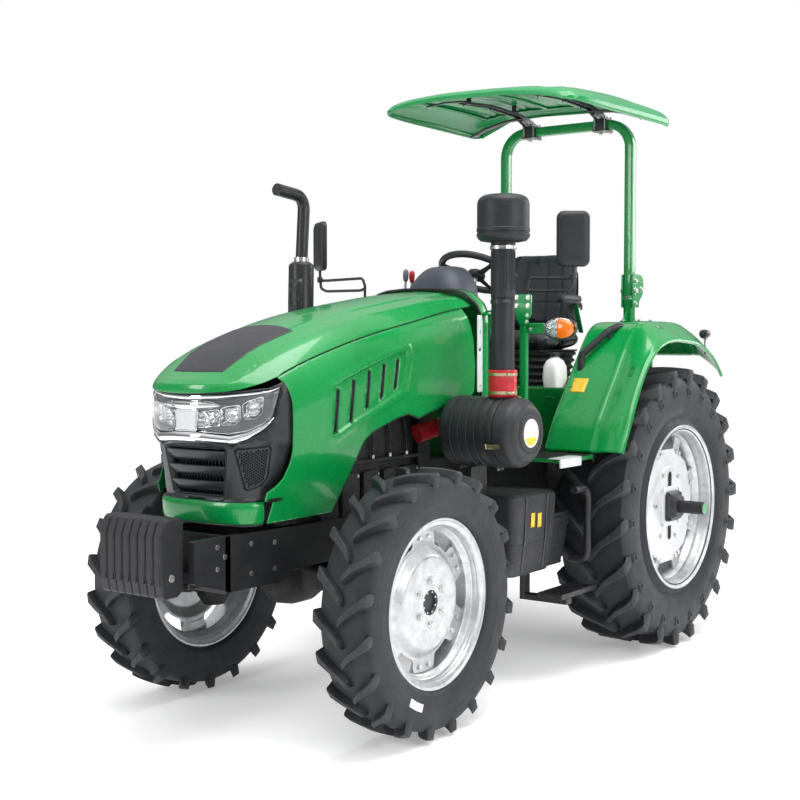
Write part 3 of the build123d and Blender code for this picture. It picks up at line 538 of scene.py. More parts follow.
M = {}
M["green"] = pbr("paint_green", (0.0008, 0.225, 0.042), (0.0014, 0.270, 0.058), 3, (0.22, 0.32), 25, coat=0.55, coat_rough=0.05, grain=(420, 0.00008))
# darker copy of the green paint for the inner walls, floor, deck, pads and cowl face: painted shade
M["green_deep"] = pbr("paint_green_deep", (0.0007, 0.135, 0.022), (0.0011, 0.170, 0.030), 3, (0.24, 0.34), 25, coat=0.45, coat_rough=0.06, grain=(420, 0.00008))
M["green_roof"] = pbr("roof_green", (0.0010, 0.215, 0.050), (0.0018, 0.255, 0.066), 4, (0.30, 0.42), 30, coat=0.4, coat_rough=0.14, grain=(900, 0.00012), grain_kind="voro")
M["frame"] = pbr("paint_black", (0.010, 0.0105, 0.012), (0.018, 0.0185, 0.020), 9, (0.34, 0.50), 35, coat=0.15, coat_rough=0.2, grain=(260, 0.00025), wear=((0.05, 0.05, 0.052), 0.5))
M["cast"] = pbr("cast_black", (0.011, 0.0115, 0.013), (0.021, 0.0215, 0.023), 14, (0.46, 0.66), 30, grain=(170, 0.0008), wear=((0.06, 0.06, 0.06), 0.6))
M["cast_weight"] = pbr("cast_weight", (0.010, 0.0105, 0.0125), (0.016, 0.0165, 0.019), 14, (0.40, 0.56), 30, grain=(210, 0.0005), wear=((0.05, 0.05, 0.055), 0.5), coat=0.1, coat_rough=0.3)
M["rubber"] = pbr("rubber_side", (0.013, 0.0155, 0.019), (0.022, 0.025, 0.030), 6, (0.50, 0.68), 20, grain=(500, 0.00018), dust=(0.16, (0.085, 0.085, 0.083), 9), sheen=0.05)
M["rubber_lug"] = pbr("rubber_lug", (0.012, 0.0135, 0.016), (0.024, 0.026, 0.030), 10, (0.44, 0.64), 25, grain=(420, 0.00025), dust=(0.22, (0.10, 0.10, 0.098), 12), wear=((0.07, 0.07, 0.075), 0.5))
M["silver"] = pbr("rim_galvanised", (0.46, 0.475, 0.49), (0.66, 0.67, 0.68), 26, (0.26, 0.46), 50, metallic=0.72, grain=(130, 0.0002), grain_kind="voro", dust=(0.25, (0.40, 0.40, 0.39), 14))
M["silver_bright"] = pbr("rim_edge", (0.68, 0.69, 0.70), (0.80, 0.81, 0.82), 30, (0.20, 0.34), 60, metallic=0.75, grain=(300, 0.0001))
M["disc"] = pbr("disc_pale", (0.58, 0.60, 0.62), (0.72, 0.735, 0.75), 11, (0.30, 0.44), 40, metallic=0.30, coat=0.25, coat_rough=0.2, grain=(220, 0.00015), dust=(0.2, (0.46, 0.46, 0.45), 10))
M["plastic"] = pbr("plastic_black", (0.013, 0.0145, 0.017), (0.020, 0.022, 0.025), 10, (0.36, 0.52), 40, grain=(850, 0.00018), grain_kind="voro", wear=((0.05, 0.053, 0.057), 0.35))
M["plastic_blue"] = pbr("plastic_dark", (0.017, 0.0225, 0.029), (0.024, 0.031, 0.040), 8, (0.30, 0.44), 30, grain=(700, 0.00012), grain_kind="voro", coat=0.12, coat_rough=0.25, wear=((0.06, 0.068, 0.08), 0.35))
M["tank"] = pbr("plastic_tank", (0.020, 0.021, 0.023), (0.031, 0.032, 0.035), 9, (0.40, 0.56), 30, grain=(520, 0.00025), grain_kind="voro", wear=((0.07, 0.07, 0.072), 0.4))
M["grey"] = pbr("plastic_grey", (0.105, 0.115, 0.138), (0.132, 0.144, 0.170), 9, (0.42, 0.55), 30, grain=(900, 0.0002), grain_kind="voro")
M["grey_dark"] = pbr("plastic_slate", (0.036, 0.043, 0.056), (0.050, 0.058, 0.074), 9, (0.38, 0.50), 30, grain=(900, 0.0002), grain_kind="voro")
M["red"] = pbr("silicone_red", (0.40, 0.012, 0.018), (0.54, 0.022, 0.030), 16, (0.26, 0.40), 40, grain=(300, 0.0002), coat=0.3, coat_rough=0.2, wave=("Z", 60, 0.0006))
M["red_hose_y"] = pbr("silicone_red_y", (0.40, 0.012, 0.018), (0.54, 0.022, 0.030), 16, (0.26, 0.40), 40, grain=(300, 0.0002), coat=0.3, coat_rough=0.2, wave=("Y", 60, 0.0006))
M["knob_red"] = pbr("knob_red", (0.42, 0.010, 0.016), (0.52, 0.018, 0.024), 20, (0.22, 0.34), 40, grain=(600, 0.0001), coat=0.5)
M["vinyl"] = pbr("vinyl_seat", (0.015, 0.0195, 0.025), (0.022, 0.028, 0.035), 12, (0.34, 0.50), 30, grain=(420, 0.00045), grain_kind="voro", coat=0.08, coat_rough=0.3, sheen=0.06)
M["steel"] = pbr("steel_zinc", (0.50, 0.50, 0.49), (0.68, 0.68, 0.66), 60, (0.22, 0.40), 90, metallic=1.0, grain=(400, 0.0001))
M["zinc_yellow"] = pbr("steel_yellow", (0.62, 0.52, 0.28), (0.74, 0.64, 0.40), 60, (0.24, 0.40), 90, metallic=1.0, grain=(400, 0.0001))
M["chrome"] = pbr("chrome", (0.78, 0.79, 0.80), (0.86, 0.87, 0.88), 20, (0.04, 0.10), 40, metallic=1.0, grain=(200, 0.00003))
M["reflector"] = pbr("reflector", (0.80, 0.81, 0.83), (0.90, 0.91, 0.92), 20, (0.05, 0.12), 40, metallic=1.0, grain=(120, 0.0004), grain_kind="voro")
M["decal"] = pbr("panel_grey", (0.020, 0.021, 0.026), (0.029, 0.030, 0.036), 5, (0.36, 0.48), 30, coat=0.1, coat_rough=0.15, grain=(600, 0.0001))
M["trim"] = pbr("trim_black", (0.0125, 0.014, 0.016), (0.019, 0.021, 0.024), 9, (0.28, 0.42), 30, coat=0.2, coat_rough=0.18, grain=(800, 0.00012), grain_kind="voro", wear=((0.05, 0.053, 0.058), 0.3))
# near-black: colour of real black parts (dash panel, seam seal) and also painted shade behind holes, vents and the
# grille
M["void"] = pbr("dark_recess", (0.0030, 0.0032, 0.0036), (0.0050, 0.0054, 0.0060), 14, (0.6, 0.8), 30, grain=(150, 0.0004))
M["white"] = pbr("shield_white", (0.60, 0.66, 0.66), (0.74, 0.79, 0.79), 6, (0.25, 0.40), 30, coat=0.3, coat_rough=0.15, grain=(300, 0.00015), dust=(0.3, (0.40, 0.45, 0.44), 8))
M["sticker_white"] = pbr("label_white", (0.74, 0.74, 0.72), (0.82, 0.82, 0.80), 30, (0.26, 0.38), 50, grain=(600, 0.00005))
M["sticker_yellow"] = pbr("label_yellow", (0.72, 0.47, 0.03), (0.84, 0.56, 0.05), 30, (0.28, 0.40), 50, grain=(600, 0.00005), dust=(0.3, (0.50, 0.36, 0.10), 40))
M["core"] = pbr("radiator_core", (0.03, 0.032, 0.034), (0.06, 0.062, 0.066), 30, (0.35, 0.5), 50, metallic=0.7, grain=(300, 0.0004), wave=("Y", 160, 0.0015))
M["amber"] = pbr("lens_amber", (0.86, 0.145, 0.006), (0.96, 0.205, 0.012), 12, (0.10, 0.18), 40, coat=0.8, coat_rough=0.03, grain=(200, 0.0004), grain_kind="voro")
M["red_lens"] = pbr("lens_red", (0.48, 0.008, 0.008), (0.60, 0.014, 0.012), 12, (0.10, 0.18), 40, coat=0.8, coat_rough=0.03, grain=(200, 0.0004), grain_kind="voro")
M["mirror"] = pbr("mirror_glass", (0.86, 0.88, 0.89), (0.90, 0.91, 0.92), 5, (0.015, 0.03), 20, metallic=1.0, grain=(60, 0.00001))
M["oil_filter"] = pbr("filter_paint", (0.42, 0.43, 0.44), (0.52, 0.53, 0.54), 20, (0.25, 0.36), 40, coat=0.4, grain=(400, 0.0001))
M["floor_mat"] = pbr("rubber_mat", (0.016, 0.017, 0.018), (0.024, 0.025, 0.027), 20, (0.55, 0.72), 40, grain=(240, 0.0006), grain_kind="voro")
M["engine"] = pbr("engine_black", (0.010, 0.0105, 0.012), (0.020, 0.021, 0.023), 22, (0.36, 0.58), 40, grain=(220, 0.0006), wear=((0.07, 0.07, 0.07), 0.5))
M["pearl"] = pbr("cap_green", (0.002, 0.10, 0.03), (0.003, 0.14, 0.04), 20, (0.3, 0.4), 40, coat=0.5, grain=(400, 0.0001))


def glass(name, tint, rough, rib=None):
    m, nt, b = new_mat(name)
    v = coords(nt)
    nt.links.new(ramp(nt, noise(nt, v, 14, 3), [(0.3, tint), (0.7, tuple(min(1, t * 1.03) for t in tint))]), b.inputs["Base Color"])
    nt.links.new(remap(nt, noise(nt, v, 60, 4), rough, rough + 0.04), b.inputs["Roughness"])
    b.inputs["Transmission Weight"].default_value = 0.93
    b.inputs["IOR"].default_value = 1.46 if rib else 1.08
    b.inputs["Coat Weight"].default_value = 0.4 if rib else 1.0
    b.inputs["Coat Roughness"].default_value = 0.02
    if rib:
        w = nt.nodes.new("ShaderNodeTexWave")
        w.bands_direction = rib[0]
        w.inputs["Scale"].default_value = rib[1]
        nt.links.new(v, w.inputs["Vector"])
        bump(nt, b, w.outputs["Fac"], rib[2], 1.0)
    return m


M["lens"] = glass("lens_clear", (0.93, 0.95, 0.96), 0.01)
M["lens_rib"] = glass("lens_ribbed", (0.90, 0.92, 0.93), 0.02, ("Y", 45, 0.0012))
# ------------------------------------------------------------------ wheels
def tyre_mesh(c, R, W, seat, rim_half, lug_h, n, front, s):
    """Carcass with sidewall rings, tread bars in two staggered rows, and (rear) bosses on the sidewall."""
    h = W / 2
    H = R - lug_h
    k = Mesh()
    # side profile as offset by radius, outer half
    bead = rim_half - 9
    rs = [seat + 1, seat + 12, seat + 26, seat + 0.20 * (H - seat), seat + 0.38 * (H - seat), seat + 0.56 * (H - seat), seat + 0.74 * (H - seat), seat + 0.90 * (H - seat), H - 10]
    ts = [bead - 1, bead + 1, bead + 3, h * 0.80 if not front else h * 0.86, h * 0.925, h * 0.955, h * 0.95, h * 0.905, h * 0.84]
    rr = np.linspace(rs[0], rs[-1], 30)
    tt = spline(rs, ts, rr)
    side = [(float(t), float(r)) for t, r in zip(tt, rr)]
    out = []
    for t, r in side:
        f = (r - seat) / (H - seat)
        ring = 0.0
        for f0, w, a in ((0.17, 0.020, 2.2), (0.235, 0.012, 1.2), (0.48, 0.012, 0.9), (0.66, 0.016, 1.3)):
            ring += a * math.exp(-((f - f0) / w) ** 2)
        out.append((t + ring, r))
    crown = []
    for q in np.linspace(0.84, 0, 7)[1:]:
        crown.append((h * q, H - 10 * (q / 0.84) ** 2.4))
    half = out + crown
    prof = [(-t, r) for t, r in half] + [(t, r) for t, r in reversed(half[:-1])]
    v, f = revolve(prof, c, "y", 112 if front else 120, closed=False)
    k.add(v, f, 0)
    # inner closing ring under the beads
    v, f = revolve([(-bead + 1, seat + 1), (-bead + 10, seat + 30), (bead - 10, seat + 30), (bead - 1, seat + 1)], c, "y", 112 if front else 120, closed=False)
    k.add(v, f, 0)

    def carc(q):
        return H - 10 * (min(abs(q), 0.84) / 0.84) ** 2.4

    if front:
        q_ = [-0.05, 0.03, 0.16, 0.36, 0.56, 0.74, 0.88, 0.955]
        o_ = [-8, 6, 24, 46, 62, 78, 92, 98]
        w_ = [5, 12, 14, 14, 14.5, 16, 19, 20]
    else:
        q_ = [-0.045, 0.03, 0.16, 0.36, 0.56, 0.74, 0.88, 0.955]
        o_ = [-12, 8, 38, 80, 108, 132, 156, 168]
        w_ = [7, 15, 17, 17, 18, 20, 25, 27]
    edge = 1.6 if front else 2.2
    flank = 7 if front else 10
    for sd in (1, -1):
        for i in range(n):
            a0 = 2 * math.pi * (i + (0.5 if sd < 0 else 0)) / n
            rows = []
            for j, (q, o, w) in enumerate(zip(q_, o_, w_)):
                top = R - 0.5 - 9 * abs(q) ** 2.6
                bas = carc(q) - 6
                nose = 0.62 if j == 0 else 1
                top = bas + (top - bas) * nose
                sec = [(-w - flank, bas), (-w - edge, top - edge * 1.6), (-w + edge, top), (w - edge, top), (w + edge, top - edge * 1.6), (w + flank, bas)]
                rows.append([(q * h, a0 + (o + d) / R, r) for d, r in sec])
            # over the shoulder: the end face runs down the sidewall
            e1, e2, e3 = (R - 0.16 * (R - seat), R - 0.24 * (R - seat), R - 0.31 * (R - seat))
            o, w = o_[-1] + (3 if front else 5), w_[-1]
            for q, qb, rt, rb, ww in ((0.992, 0.90, R - 9 - (7 if front else 9), carc(0.9) - 16, w), (0.993, 0.93, e1, e1 - 8, w * 0.92), (0.972, 0.935, e2, e2 - 6, w * 0.80), (0.940, 0.93, e3, e3 - 4, w * 0.55)):
                sec = [(-ww - flank, qb, rb), (-ww - edge, q - 0.012, rt), (-ww + edge, q, rt), (ww - edge, q, rt), (ww + edge, q - 0.012, rt), (ww + flank, qb, rb)]
                rows.append([(qq * h, a0 + (o + d) / R, r) for d, qq, r in sec])
            pts = [[(c[0] + r * math.cos(a), c[1] + sd * t, c[2] + r * math.sin(a)) for t, a, r in row] for row in rows]
            v, f = loft(pts, False, False)
            f.append(tuple(range(6)))
            if sd < 0:
                f = [tuple(reversed(x)) for x in f]
            k.add(v, f, 1)
            if not front:
                # square boss with a recess on the sidewall, ahead of each bar's end
                ab = a0 + (o_[-1] + 4) / R
                rb = R - 0.40 * (R - seat)
                tb = float(np.interp((rb - seat) / (H - seat), [0.38, 0.56, 0.74], [0.925, 0.955, 0.95])) * h
                pr = []
                for t, sz in ((tb - 6, 24), (tb + 4.5, 21), (tb + 5.5, 19.5), (tb + 5.5, 11), (tb + 1.5, 9.5), (tb + 1.5, 0.5)):
                    ring = []
                    for (u, wv) in fillet2([(-sz, -sz), (sz, -sz), (sz, sz), (-sz, sz)], min(4, sz * 0.3), 2):
                        r = rb + wv
                        a = ab + u / rb
                        ring.append((c[0] + r * math.cos(a), c[1] + sd * t, c[2] + r * math.sin(a)))
                    pr.append(ring)
                v, f = loft(pr, True, False)
                f.append(tuple(reversed(range((len(pr) - 1) * len(pr[0]), len(pr) * len(pr[0])))))
                if sd < 0:
                    f = [tuple(reversed(x)) for x in f]
                k.add(v, f, 1)
    return k


def barrel_mesh(c, seat, lip, hw, well, front):
    k = Mesh()
    if front:
        out = [(hw - 0.5, lip - 10), (hw - 0.3, lip - 3), (hw - 3, lip - 0.5), (hw - 7, lip - 1.5), (hw - 9, lip - 8), (hw - 10, seat + 4), (hw * 0.62, seat - 2), (hw * 0.50, seat - 5), (hw * 0.36, seat - well)]
        inn = [(hw - 6, lip - 14), (hw - 11, seat - 3), (hw * 0.80, seat - 7), (hw * 0.74, seat - 7), (hw * 0.66, seat - 11), (hw * 0.56, seat - 12), (hw * 0.50, seat - 18), (hw * 0.42, seat - well + 2), (hw * 0.34, seat - well - 6)]
    else:
        out = [(hw - 0.5, lip - 12), (hw - 0.3, lip - 3.5), (hw - 3.5, lip - 0.5), (hw - 9, lip - 2), (hw - 12, lip - 10), (hw - 13, seat + 5), (hw * 0.66, seat - 3), (hw * 0.60, seat - 6), (hw * 0.42, seat - well)]
        inn = [(hw - 8, lip - 17), (hw - 15, seat - 4), (hw * 0.82, seat - 9), (hw * 0.76, seat - 9), (hw * 0.70, seat - 14), (hw * 0.60, seat - 15), (hw * 0.54, seat - 22), (hw * 0.46, seat - well + 1), (hw * 0.36, seat - well - 8), (hw * 0.30, seat - well - 8)]
    po = out + [(-t, r) for t, r in reversed(out)]
    pi = inn + [(-t, r) for t, r in reversed(inn)]
    prof = po + list(reversed(pi))
    v, f = revolve(prof, c, "y", 96, closed=True)
    k.add(v, f, 0)
    return k


def bead_ring(c, t, r0, r1):
    v, f = revolve([(t - 3, r0), (t, r0 + 1), (t + 0.8, (r0 + r1) / 2), (t, r1 - 1), (t - 3, r1)], c, "y", 96, closed=True)
    return v, f


def front_disc(c, t_plate, t_edge, seat, well):
    """Dished disc with six feet that carry paired bolts, and open windows between them."""
    k = Mesh()
    rin = seat - well - 7
    n = 180
    def build(off):
        rows = []
        for i in range(n):
            a = 2 * math.pi * i / n
            ph = (math.degrees(a) - 30) % 60
            ph = min(ph, 60 - ph)
            lobe = max(0.0, min(1.0, (19.5 - ph) / 6.0))
            lobe = lobe * lobe * (3 - 2 * lobe)
            ro = 226 + (rin - 226) * lobe
            line = []
            for r, t in ((49, t_plate), (54, t_plate), (120, t_plate), (170, t_plate), (178, t_plate - 1.2), (184, t_plate - 5), (205, t_edge + 8), (212, t_edge + 2.5), (219, t_edge)):
                line.append((r, t))
            line.append((ro - 2, t_edge))
            line.append((ro, t_edge - (1.5 if off == 0 else -1.5)))
            rows.append([(c[0] + r * math.cos(a), c[1] + t - off, c[2] + r * math.sin(a)) for r, t in line])
        return rows
    a, b = build(0), build(7)
    rows = [x + list(reversed(y)) for x, y in zip(a, b)]
    v, f = loft(rows, True, False, True)
    k.add(v, f, 0)
    # feet welded rings under the edge, pairs of bolts
    for i in range(6):
        for d in (-7, 7):
            q = math.radians(30 + 60 * i + d)
            p = (c[0] + 250 * math.cos(q), c[1] + t_edge, c[2] + 250 * math.sin(q))
            k.add(*hexnut(p, (0, 1, 0), 19, 9, True, q), mat=1, smooth=False)
        # bracket behind each foot
        q0, q1 = math.radians(30 + 60 * i - 15), math.radians(30 + 60 * i + 15)
        rows = []
        for q in np.linspace(q0, q1, 7):
            rows.append([(c[0] + r * math.cos(q), c[1] + t, c[2] + r * math.sin(q)) for r, t in ((236, t_edge - 7.5), (rin + 1, t_edge - 7.5), (rin + 1, t_edge - 20), (236, t_edge - 14))])
        k.add(*loft(rows, True, True), mat=0)
    # raised ring around the nut circle and a pressed dimple ring
    v, f = revolve([(t_plate - 0.5, 62), (t_plate + 1.2, 64), (t_plate + 1.2, 108), (t_plate - 0.5, 110)], c, "y", 72, closed=True)
    k.add(v, f, 0)
    for i in range(6):
        q = math.radians(30 + 60 * i)
        p = (c[0] + 84 * math.cos(q), c[1] + t_plate + 1.2, c[2] + 84 * math.sin(q))
        v, f = lathe(p, (0, 1, 0), [(0, 17), (3, 17), (5.5, 14.5), (5.5, 9)], 24)
        k.add(v, f, 1)
        k.add(*hexnut((p[0], p[1] + 3, p[2]), (0, 1, 0), 24, 11, False, q + 0.2), mat=1, smooth=False)
        k.add(*cyl((p[0], p[1] + 12, p[2]), (p[0], p[1] + 15.5, p[2]), 6.6, 5.6, 16), mat=1)
    return k


def front_hub(c, t_plate):
    k = Mesh()
    # cup seen through the hole, drive flange with small bolts, backing hub
    v, f = revolve([(t_plate - 54, 1), (t_plate - 54, 64), (t_plate - 32, 69), (t_plate - 28, 108), (t_plate - 8, 110), (t_plate - 8, 47), (t_plate - 6, 46), (t_plate - 5, 38), (t_plate - 12, 35), (t_plate - 14, 20), (t_plate - 14, 1)], c, "y", 48, closed=False)
    k.add(v, f, 0)
    for i in range(8):
        q = math.radians(22.5 + 45 * i)
        k.add(*hexnut((c[0] + 41 * math.cos(q), c[1] + t_plate - 6.2, c[2] + 41 * math.sin(q)), (0, 1, 0), 8, 4, False, q), mat=1, smooth=False)
    return k


def rear_disc(c, t_disc, seat, well):
    """Flat dished plate with a twelve-sided outline, eight tabs to the barrel, slots, six bolts."""
    k = Mesh()
    n = 192
    tabs = [22.5 + 45 * i for i in range(8)]
    ro_t = seat - well - 3
    def outline(a):
        d = math.degrees(a)
        e = (d - 15) % 30 - 15
        r = 291 * math.cos(math.radians(15)) / math.cos(math.radians(e))
        return r
    rows = []
    line0 = ((80, 0), (96, 0), (150, 0), (184, 0), (192, -2), (202, -7), (212, -8), (270, -8))
    def build(off):
        rows = []
        for i in range(n):
            a = 2 * math.pi * i / n
            ro = outline(a)
            line = [(r, t_disc + t) for r, t in line0] + [(ro - 2, t_disc - 8), (ro, t_disc - 8 - (1.5 if off == 0 else -1.5))]
            rows.append([(c[0] + r * math.cos(a), c[1] + t - off, c[2] + r * math.sin(a)) for r, t in line])
        return rows
    A, B = build(0), build(10)
    v, f = loft([x + list(reversed(y)) for x, y in zip(A, B)], True, False, True)
    k.add(v, f, 0)
    for d in tabs:
        q = math.radians(d)
        ur, ut = (math.cos(q), math.sin(q)), (-math.sin(q), math.cos(q))
        out = fillet2([(268, -40), (318, -34), (ro_t + 6, -34), (ro_t + 6, 34), (318, 34), (268, 40)], [3, 6, 0, 0, 6, 3], 3)
        def P(r, s, t):
            return (c[0] + ur[0] * r + ut[0] * s, c[1] + t, c[2] + ur[1] * r + ut[1] * s)
        m = len(out)
        v = [P(r, s, t_disc - 18.5) for r, s in out] + [P(r, s, t_disc - 30) for r, s in out]
        f = [(i, (i + 1) % m, m + (i + 1) % m, m + i) for i in range(m)] + [tuple(range(m)), tuple(reversed(range(m, 2 * m)))]
        k.add(v, f, 2)
        for s in (-17, 17):
            k.add(*hexnut(P(280, s, t_disc - 8), (0, 1, 0), 20, 9, True, q), mat=1, smooth=False)
    for d in (5, 65, 125, 185, 245, 305):
        q = math.radians(d)
        p = (c[0] + 186 * math.cos(q), c[1] + t_disc, c[2] + 186 * math.sin(q))
        p = (c[0] + 172 * math.cos(q), c[1] + t_disc, c[2] + 172 * math.sin(q))
        k.add(*lathe(p, (0, 1, 0), [(0, 15), (2, 15), (2.6, 14), (2.6, 8)], 24), mat=1)
        k.add(*hexnut((p[0], p[1] + 2, p[2]), (0, 1, 0), 19, 9, False, q), mat=1, smooth=False)
    # oval holes above and below the clamp, shown as rims with a near-black oval of painted shade inside
    for d in (90, 270):
        q = math.radians(d)
        for rr, mat, t0, t1 in ((26, 1, 0.0, 2.2), (20, 3, 2.2, 2.5)):
            outl = []
            for i in range(28):
                a = 2 * math.pi * i / 28
                ex = rr * math.cos(a)
                ez = rr * math.sin(a) + (26 if math.sin(a) > 0 else -26)
                outl.append((c[0] + ex, c[2] + (124 if d == 90 else -124) + ez))
            v, f = prism(outl, c[1] + t_disc + t0 - 1, c[1] + t_disc + t1, "y")
            k.add(v, f, mat)
    return k


def rear_clamp(c, t_disc, bar_r, bar_end):
    """Squarish hub clamp on the bar axle."""
    k = Mesh()
    rows = []
    for t, w, r in ((-2, 100, 30), (9, 100, 30), (12, 96, 28)):
        rows.append([(c[0] + x, c[1] + t_disc + t, c[2] + z) for x, z in fillet2([(-w, -w * 0.98), (w, -w * 0.98), (w, w * 0.98), (-w, w * 0.98)], r, 5)])
    k.add(*loft([r for r in rows], True, True), mat=1)
    rows = []
    for t, w, r in ((10, 74, 26), (24, 74, 26), (28, 70, 24), (40, 58, 26), (58, 50, 24), (60, 48, 24)):
        rows.append([(c[0] + x, c[1] + t_disc + t, c[2] + z) for x, z in fillet2([(-w, -w), (w, -w), (w, w), (-w, w)], r, 5)])
    k.add(*loft(rows, True, True), mat=0)
    for sx in (-1, 1):
        for sz in (-1, 1):
            p = (c[0] + sx * 56, c[1] + t_disc + 25, c[2] + sz * 56)
            k.add(*hexnut(p, (0, 1, 0), 20, 14, True), mat=0, smooth=False)
            p = (c[0] + sx * 86, c[1] + t_disc + 12, c[2] + sz * 82)
            k.add(*hexnut(p, (0, 1, 0), 22, 6, False), mat=1, smooth=False)
    # splined bar with a chamfered end and a painted end face
    bar = []
    y0 = -c[1] + 472
    prof = []
    n = 48
    rows = []
    for t, rad, depth in ((y0, bar_r - 0.3, 0), (t_disc - 30, bar_r - 0.3, 0), (t_disc + 60, bar_r - 0.3, 1.1), (bar_end - 30, bar_r - 0.3, 1.1), (bar_end - 29, bar_r - 0.3, 0), (bar_end - 4, bar_r - 0.3, 0), (bar_end - 0.6, bar_r - 3.4, 0)):
        rows.append([(c[0] + (rad - (depth if i % 2 else 0)) * math.cos(2 * math.pi * i / n), c[1] + t, c[2] + (rad - (depth if i % 2 else 0)) * math.sin(2 * math.pi * i / n)) for i in range(n)])
    k.add(*loft(rows, True, True), mat=0)
    v, f = cyl((c[0], c[1] + bar_end - 0.7, c[2]), (c[0], c[1] + bar_end - 0.05, c[2]), bar_r - 4.2, bar_r - 4.6, 32)
    k.add(v, f, 2)
    # inner hub flange behind the disc
    v, f = revolve([(t_disc - 40, bar_r), (t_disc - 40, 122), (t_disc - 34, 126), (t_disc - 13, 126), (t_disc - 13, bar_r)], c, "y", 48, closed=True)
    k.add(v, f, 0)
    return k


def wheel(side, front):
    nm = "left" if side > 0 else "right"
    kind = "front" if front else "rear"
    body = f"{kind}_wheel_{nm}"
    tl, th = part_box(f"tyre_{kind}_{nm}")
    rl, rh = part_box(f"rim_{kind}_{nm}")
    ctr = (tl + th) / 2 * 1000
    # built for the left side, then mirrored
    c = (ctr.x, abs(ctr.y), ctr.z)
    R = (th.z - tl.z) * 500
    W = (th.y - tl.y) * 1000
    lip = (rh.z - rl.z) * 500
    if front:
        seat, hw, well = lip - 26, (rh.y - rl.y) * 500, 24
        t_plate = 656 - 607
        meshes = [(tyre_mesh(c, R - 0.4, W - 1, seat, hw, 30, 20, True, side), [M["rubber"], M["rubber_lug"]], "tyre", "tyre_rubber", 0, 30),
                  (barrel_mesh(c, seat, lip, hw, well, True), [M["silver"]], "rim", "rim_silver", 0, 28),
                  (front_disc(c, t_plate, 17, seat, well), [M["silver"], M["steel"]], "disc", "rim_silver", 0, 25),
                  (front_hub(c, t_plate), [M["frame"], M["steel"]], "hub", "frame_black", 0, 30)]
    else:
        seat, hw, well = lip - 26, 178, 30
        t_disc = 752 - 645
        bar_end = max(abs(rl.y), abs(rh.y)) * 1000 - c[1]
        meshes = [(tyre_mesh(c, R - 0.4, W - 1, seat, hw, 42, 22, False, side), [M["rubber"], M["rubber_lug"]], "tyre", "tyre_rubber", 0, 30),
                  (barrel_mesh(c, seat, lip, hw, well, False), [M["silver"]], "rim", "rim_silver", 0, 28),
                  (rear_disc(c, t_disc, seat, well), [M["disc"], M["steel"], M["silver"], M["void"]], "disc", "rim_silver", 0, 25),
                  (rear_clamp(c, t_disc, 32, bar_end), [M["frame"], M["disc"], M["green"]], "clamp", "frame_black", 0, 30)]
    # blank round-cornered label low on the sidewall
    lab = Mesh()
    a0 = math.radians(-62 if front else -118)
    rc = seat + (0.42 * (R - seat) if front else 0.30 * (R - seat))
    if front:
        hs, hr = 44, 15
        tt = W / 2 * 0.948
        rows = []
        for u in np.linspace(-hs, hs, 9):
            rows.append([(c[0] + r * math.cos(a0 + u / rc), c[1] + tt + 0.9 - 0.00028 * (r - rc - 14) ** 2, c[2] + r * math.sin(a0 + u / rc)) for r in np.linspace(rc - hr, rc + hr, 4)])
        n0 = len(rows) * 4
        v, f = loft(rows)
        v2 = [(p[0], p[1] - 6, p[2]) for p in v]
        lab.add(v, f, 0)
        lab.add(v2, [tuple(reversed(q)) for q in f], 0)
        rim_idx = [i * 4 for i in range(9)] + [8 * 4 + j for j in range(1, 4)] + [i * 4 + 3 for i in reversed(range(8))] + [j for j in (2, 1)]
        m = len(rim_idx)
        lab.add([v[i] for i in rim_idx] + [v2[i] for i in rim_idx], [(i, (i + 1) % m, m + (i + 1) % m, m + i) for i in range(m)], 0)
        meshes.append((lab, [M["sticker_white"]], "label", "shield_white", 0, 30))
    for k, mats, label, sl, bev, ang in meshes:
        if side < 0:
            k = k.mirrored()
        rep = ()
        if label == "tyre":
            rep = (f"tyre_{kind}_{nm}",)
        elif label == "rim":
            rep = (f"rim_{kind}_{nm}",)
        k.obj(f"{label}_{kind}_{nm}_skin", mats, body, sl, rep, angle=ang)


for s_ in (1, -1):
    wheel(s_, True)
    wheel(s_, False)
# ------------------------------------------------------------------ flat patterns mapped on a curved surface
from mathutils.geometry import delaunay_2d_cdt


def inside(p, poly):
    x, y = p
    r = False
    n = len(poly)
    for i in range(n):
        x0, y0 = poly[i]
        x1, y1 = poly[(i + 1) % n]
        if (y0 > y) != (y1 > y) and x < (x1 - x0) * (y - y0) / (y1 - y0) + x0:
            r = not r
    return r


def seg_dist(p, poly):
    p = np.array(p, float)
    a = np.array(poly, float)
    b = np.roll(a, -1, 0)
    d = b - a
    t = np.clip(((p - a) * d).sum(1) / np.maximum((d * d).sum(1), 1e-9), 0, 1)
    return float(np.sqrt((((a + d * t[:, None]) - p) ** 2).sum(1)).min())


def dense(poly, step, closed=True):
    out = []
    n = len(poly)
    for i in range(n if closed else n - 1):
        a, b = np.array(poly[i], float), np.array(poly[(i + 1) % n], float)
        m = max(1, int(np.linalg.norm(b - a) / step))
        out.extend([tuple(a + (b - a) * k / m) for k in range(m)])
    if not closed:
        out.append(tuple(poly[-1]))
    return out


def shrink(poly, d):
    """Offsets a closed outline inward by d (outward if negative)."""
    p = np.array(poly, float)
    area_ = 0.5 * np.sum(p[:, 0] * np.roll(p[:, 1], -1) - np.roll(p[:, 0], -1) * p[:, 1])
    sg = 1 if area_ > 0 else -1
    out = []
    n = len(p)
    for i in range(n):
        e0, e1 = p[i] - p[i - 1], p[(i + 1) % n] - p[i]
        e0, e1 = e0 / np.linalg.norm(e0), e1 / np.linalg.norm(e1)
        n0, n1 = np.array([-e0[1], e0[0]]) * sg, np.array([-e1[1], e1[0]]) * sg
        m = n0 + n1
        m = m / max(np.dot(m, m) / 2, 0.3)
        out.append(tuple(p[i] + m * d))
    return out


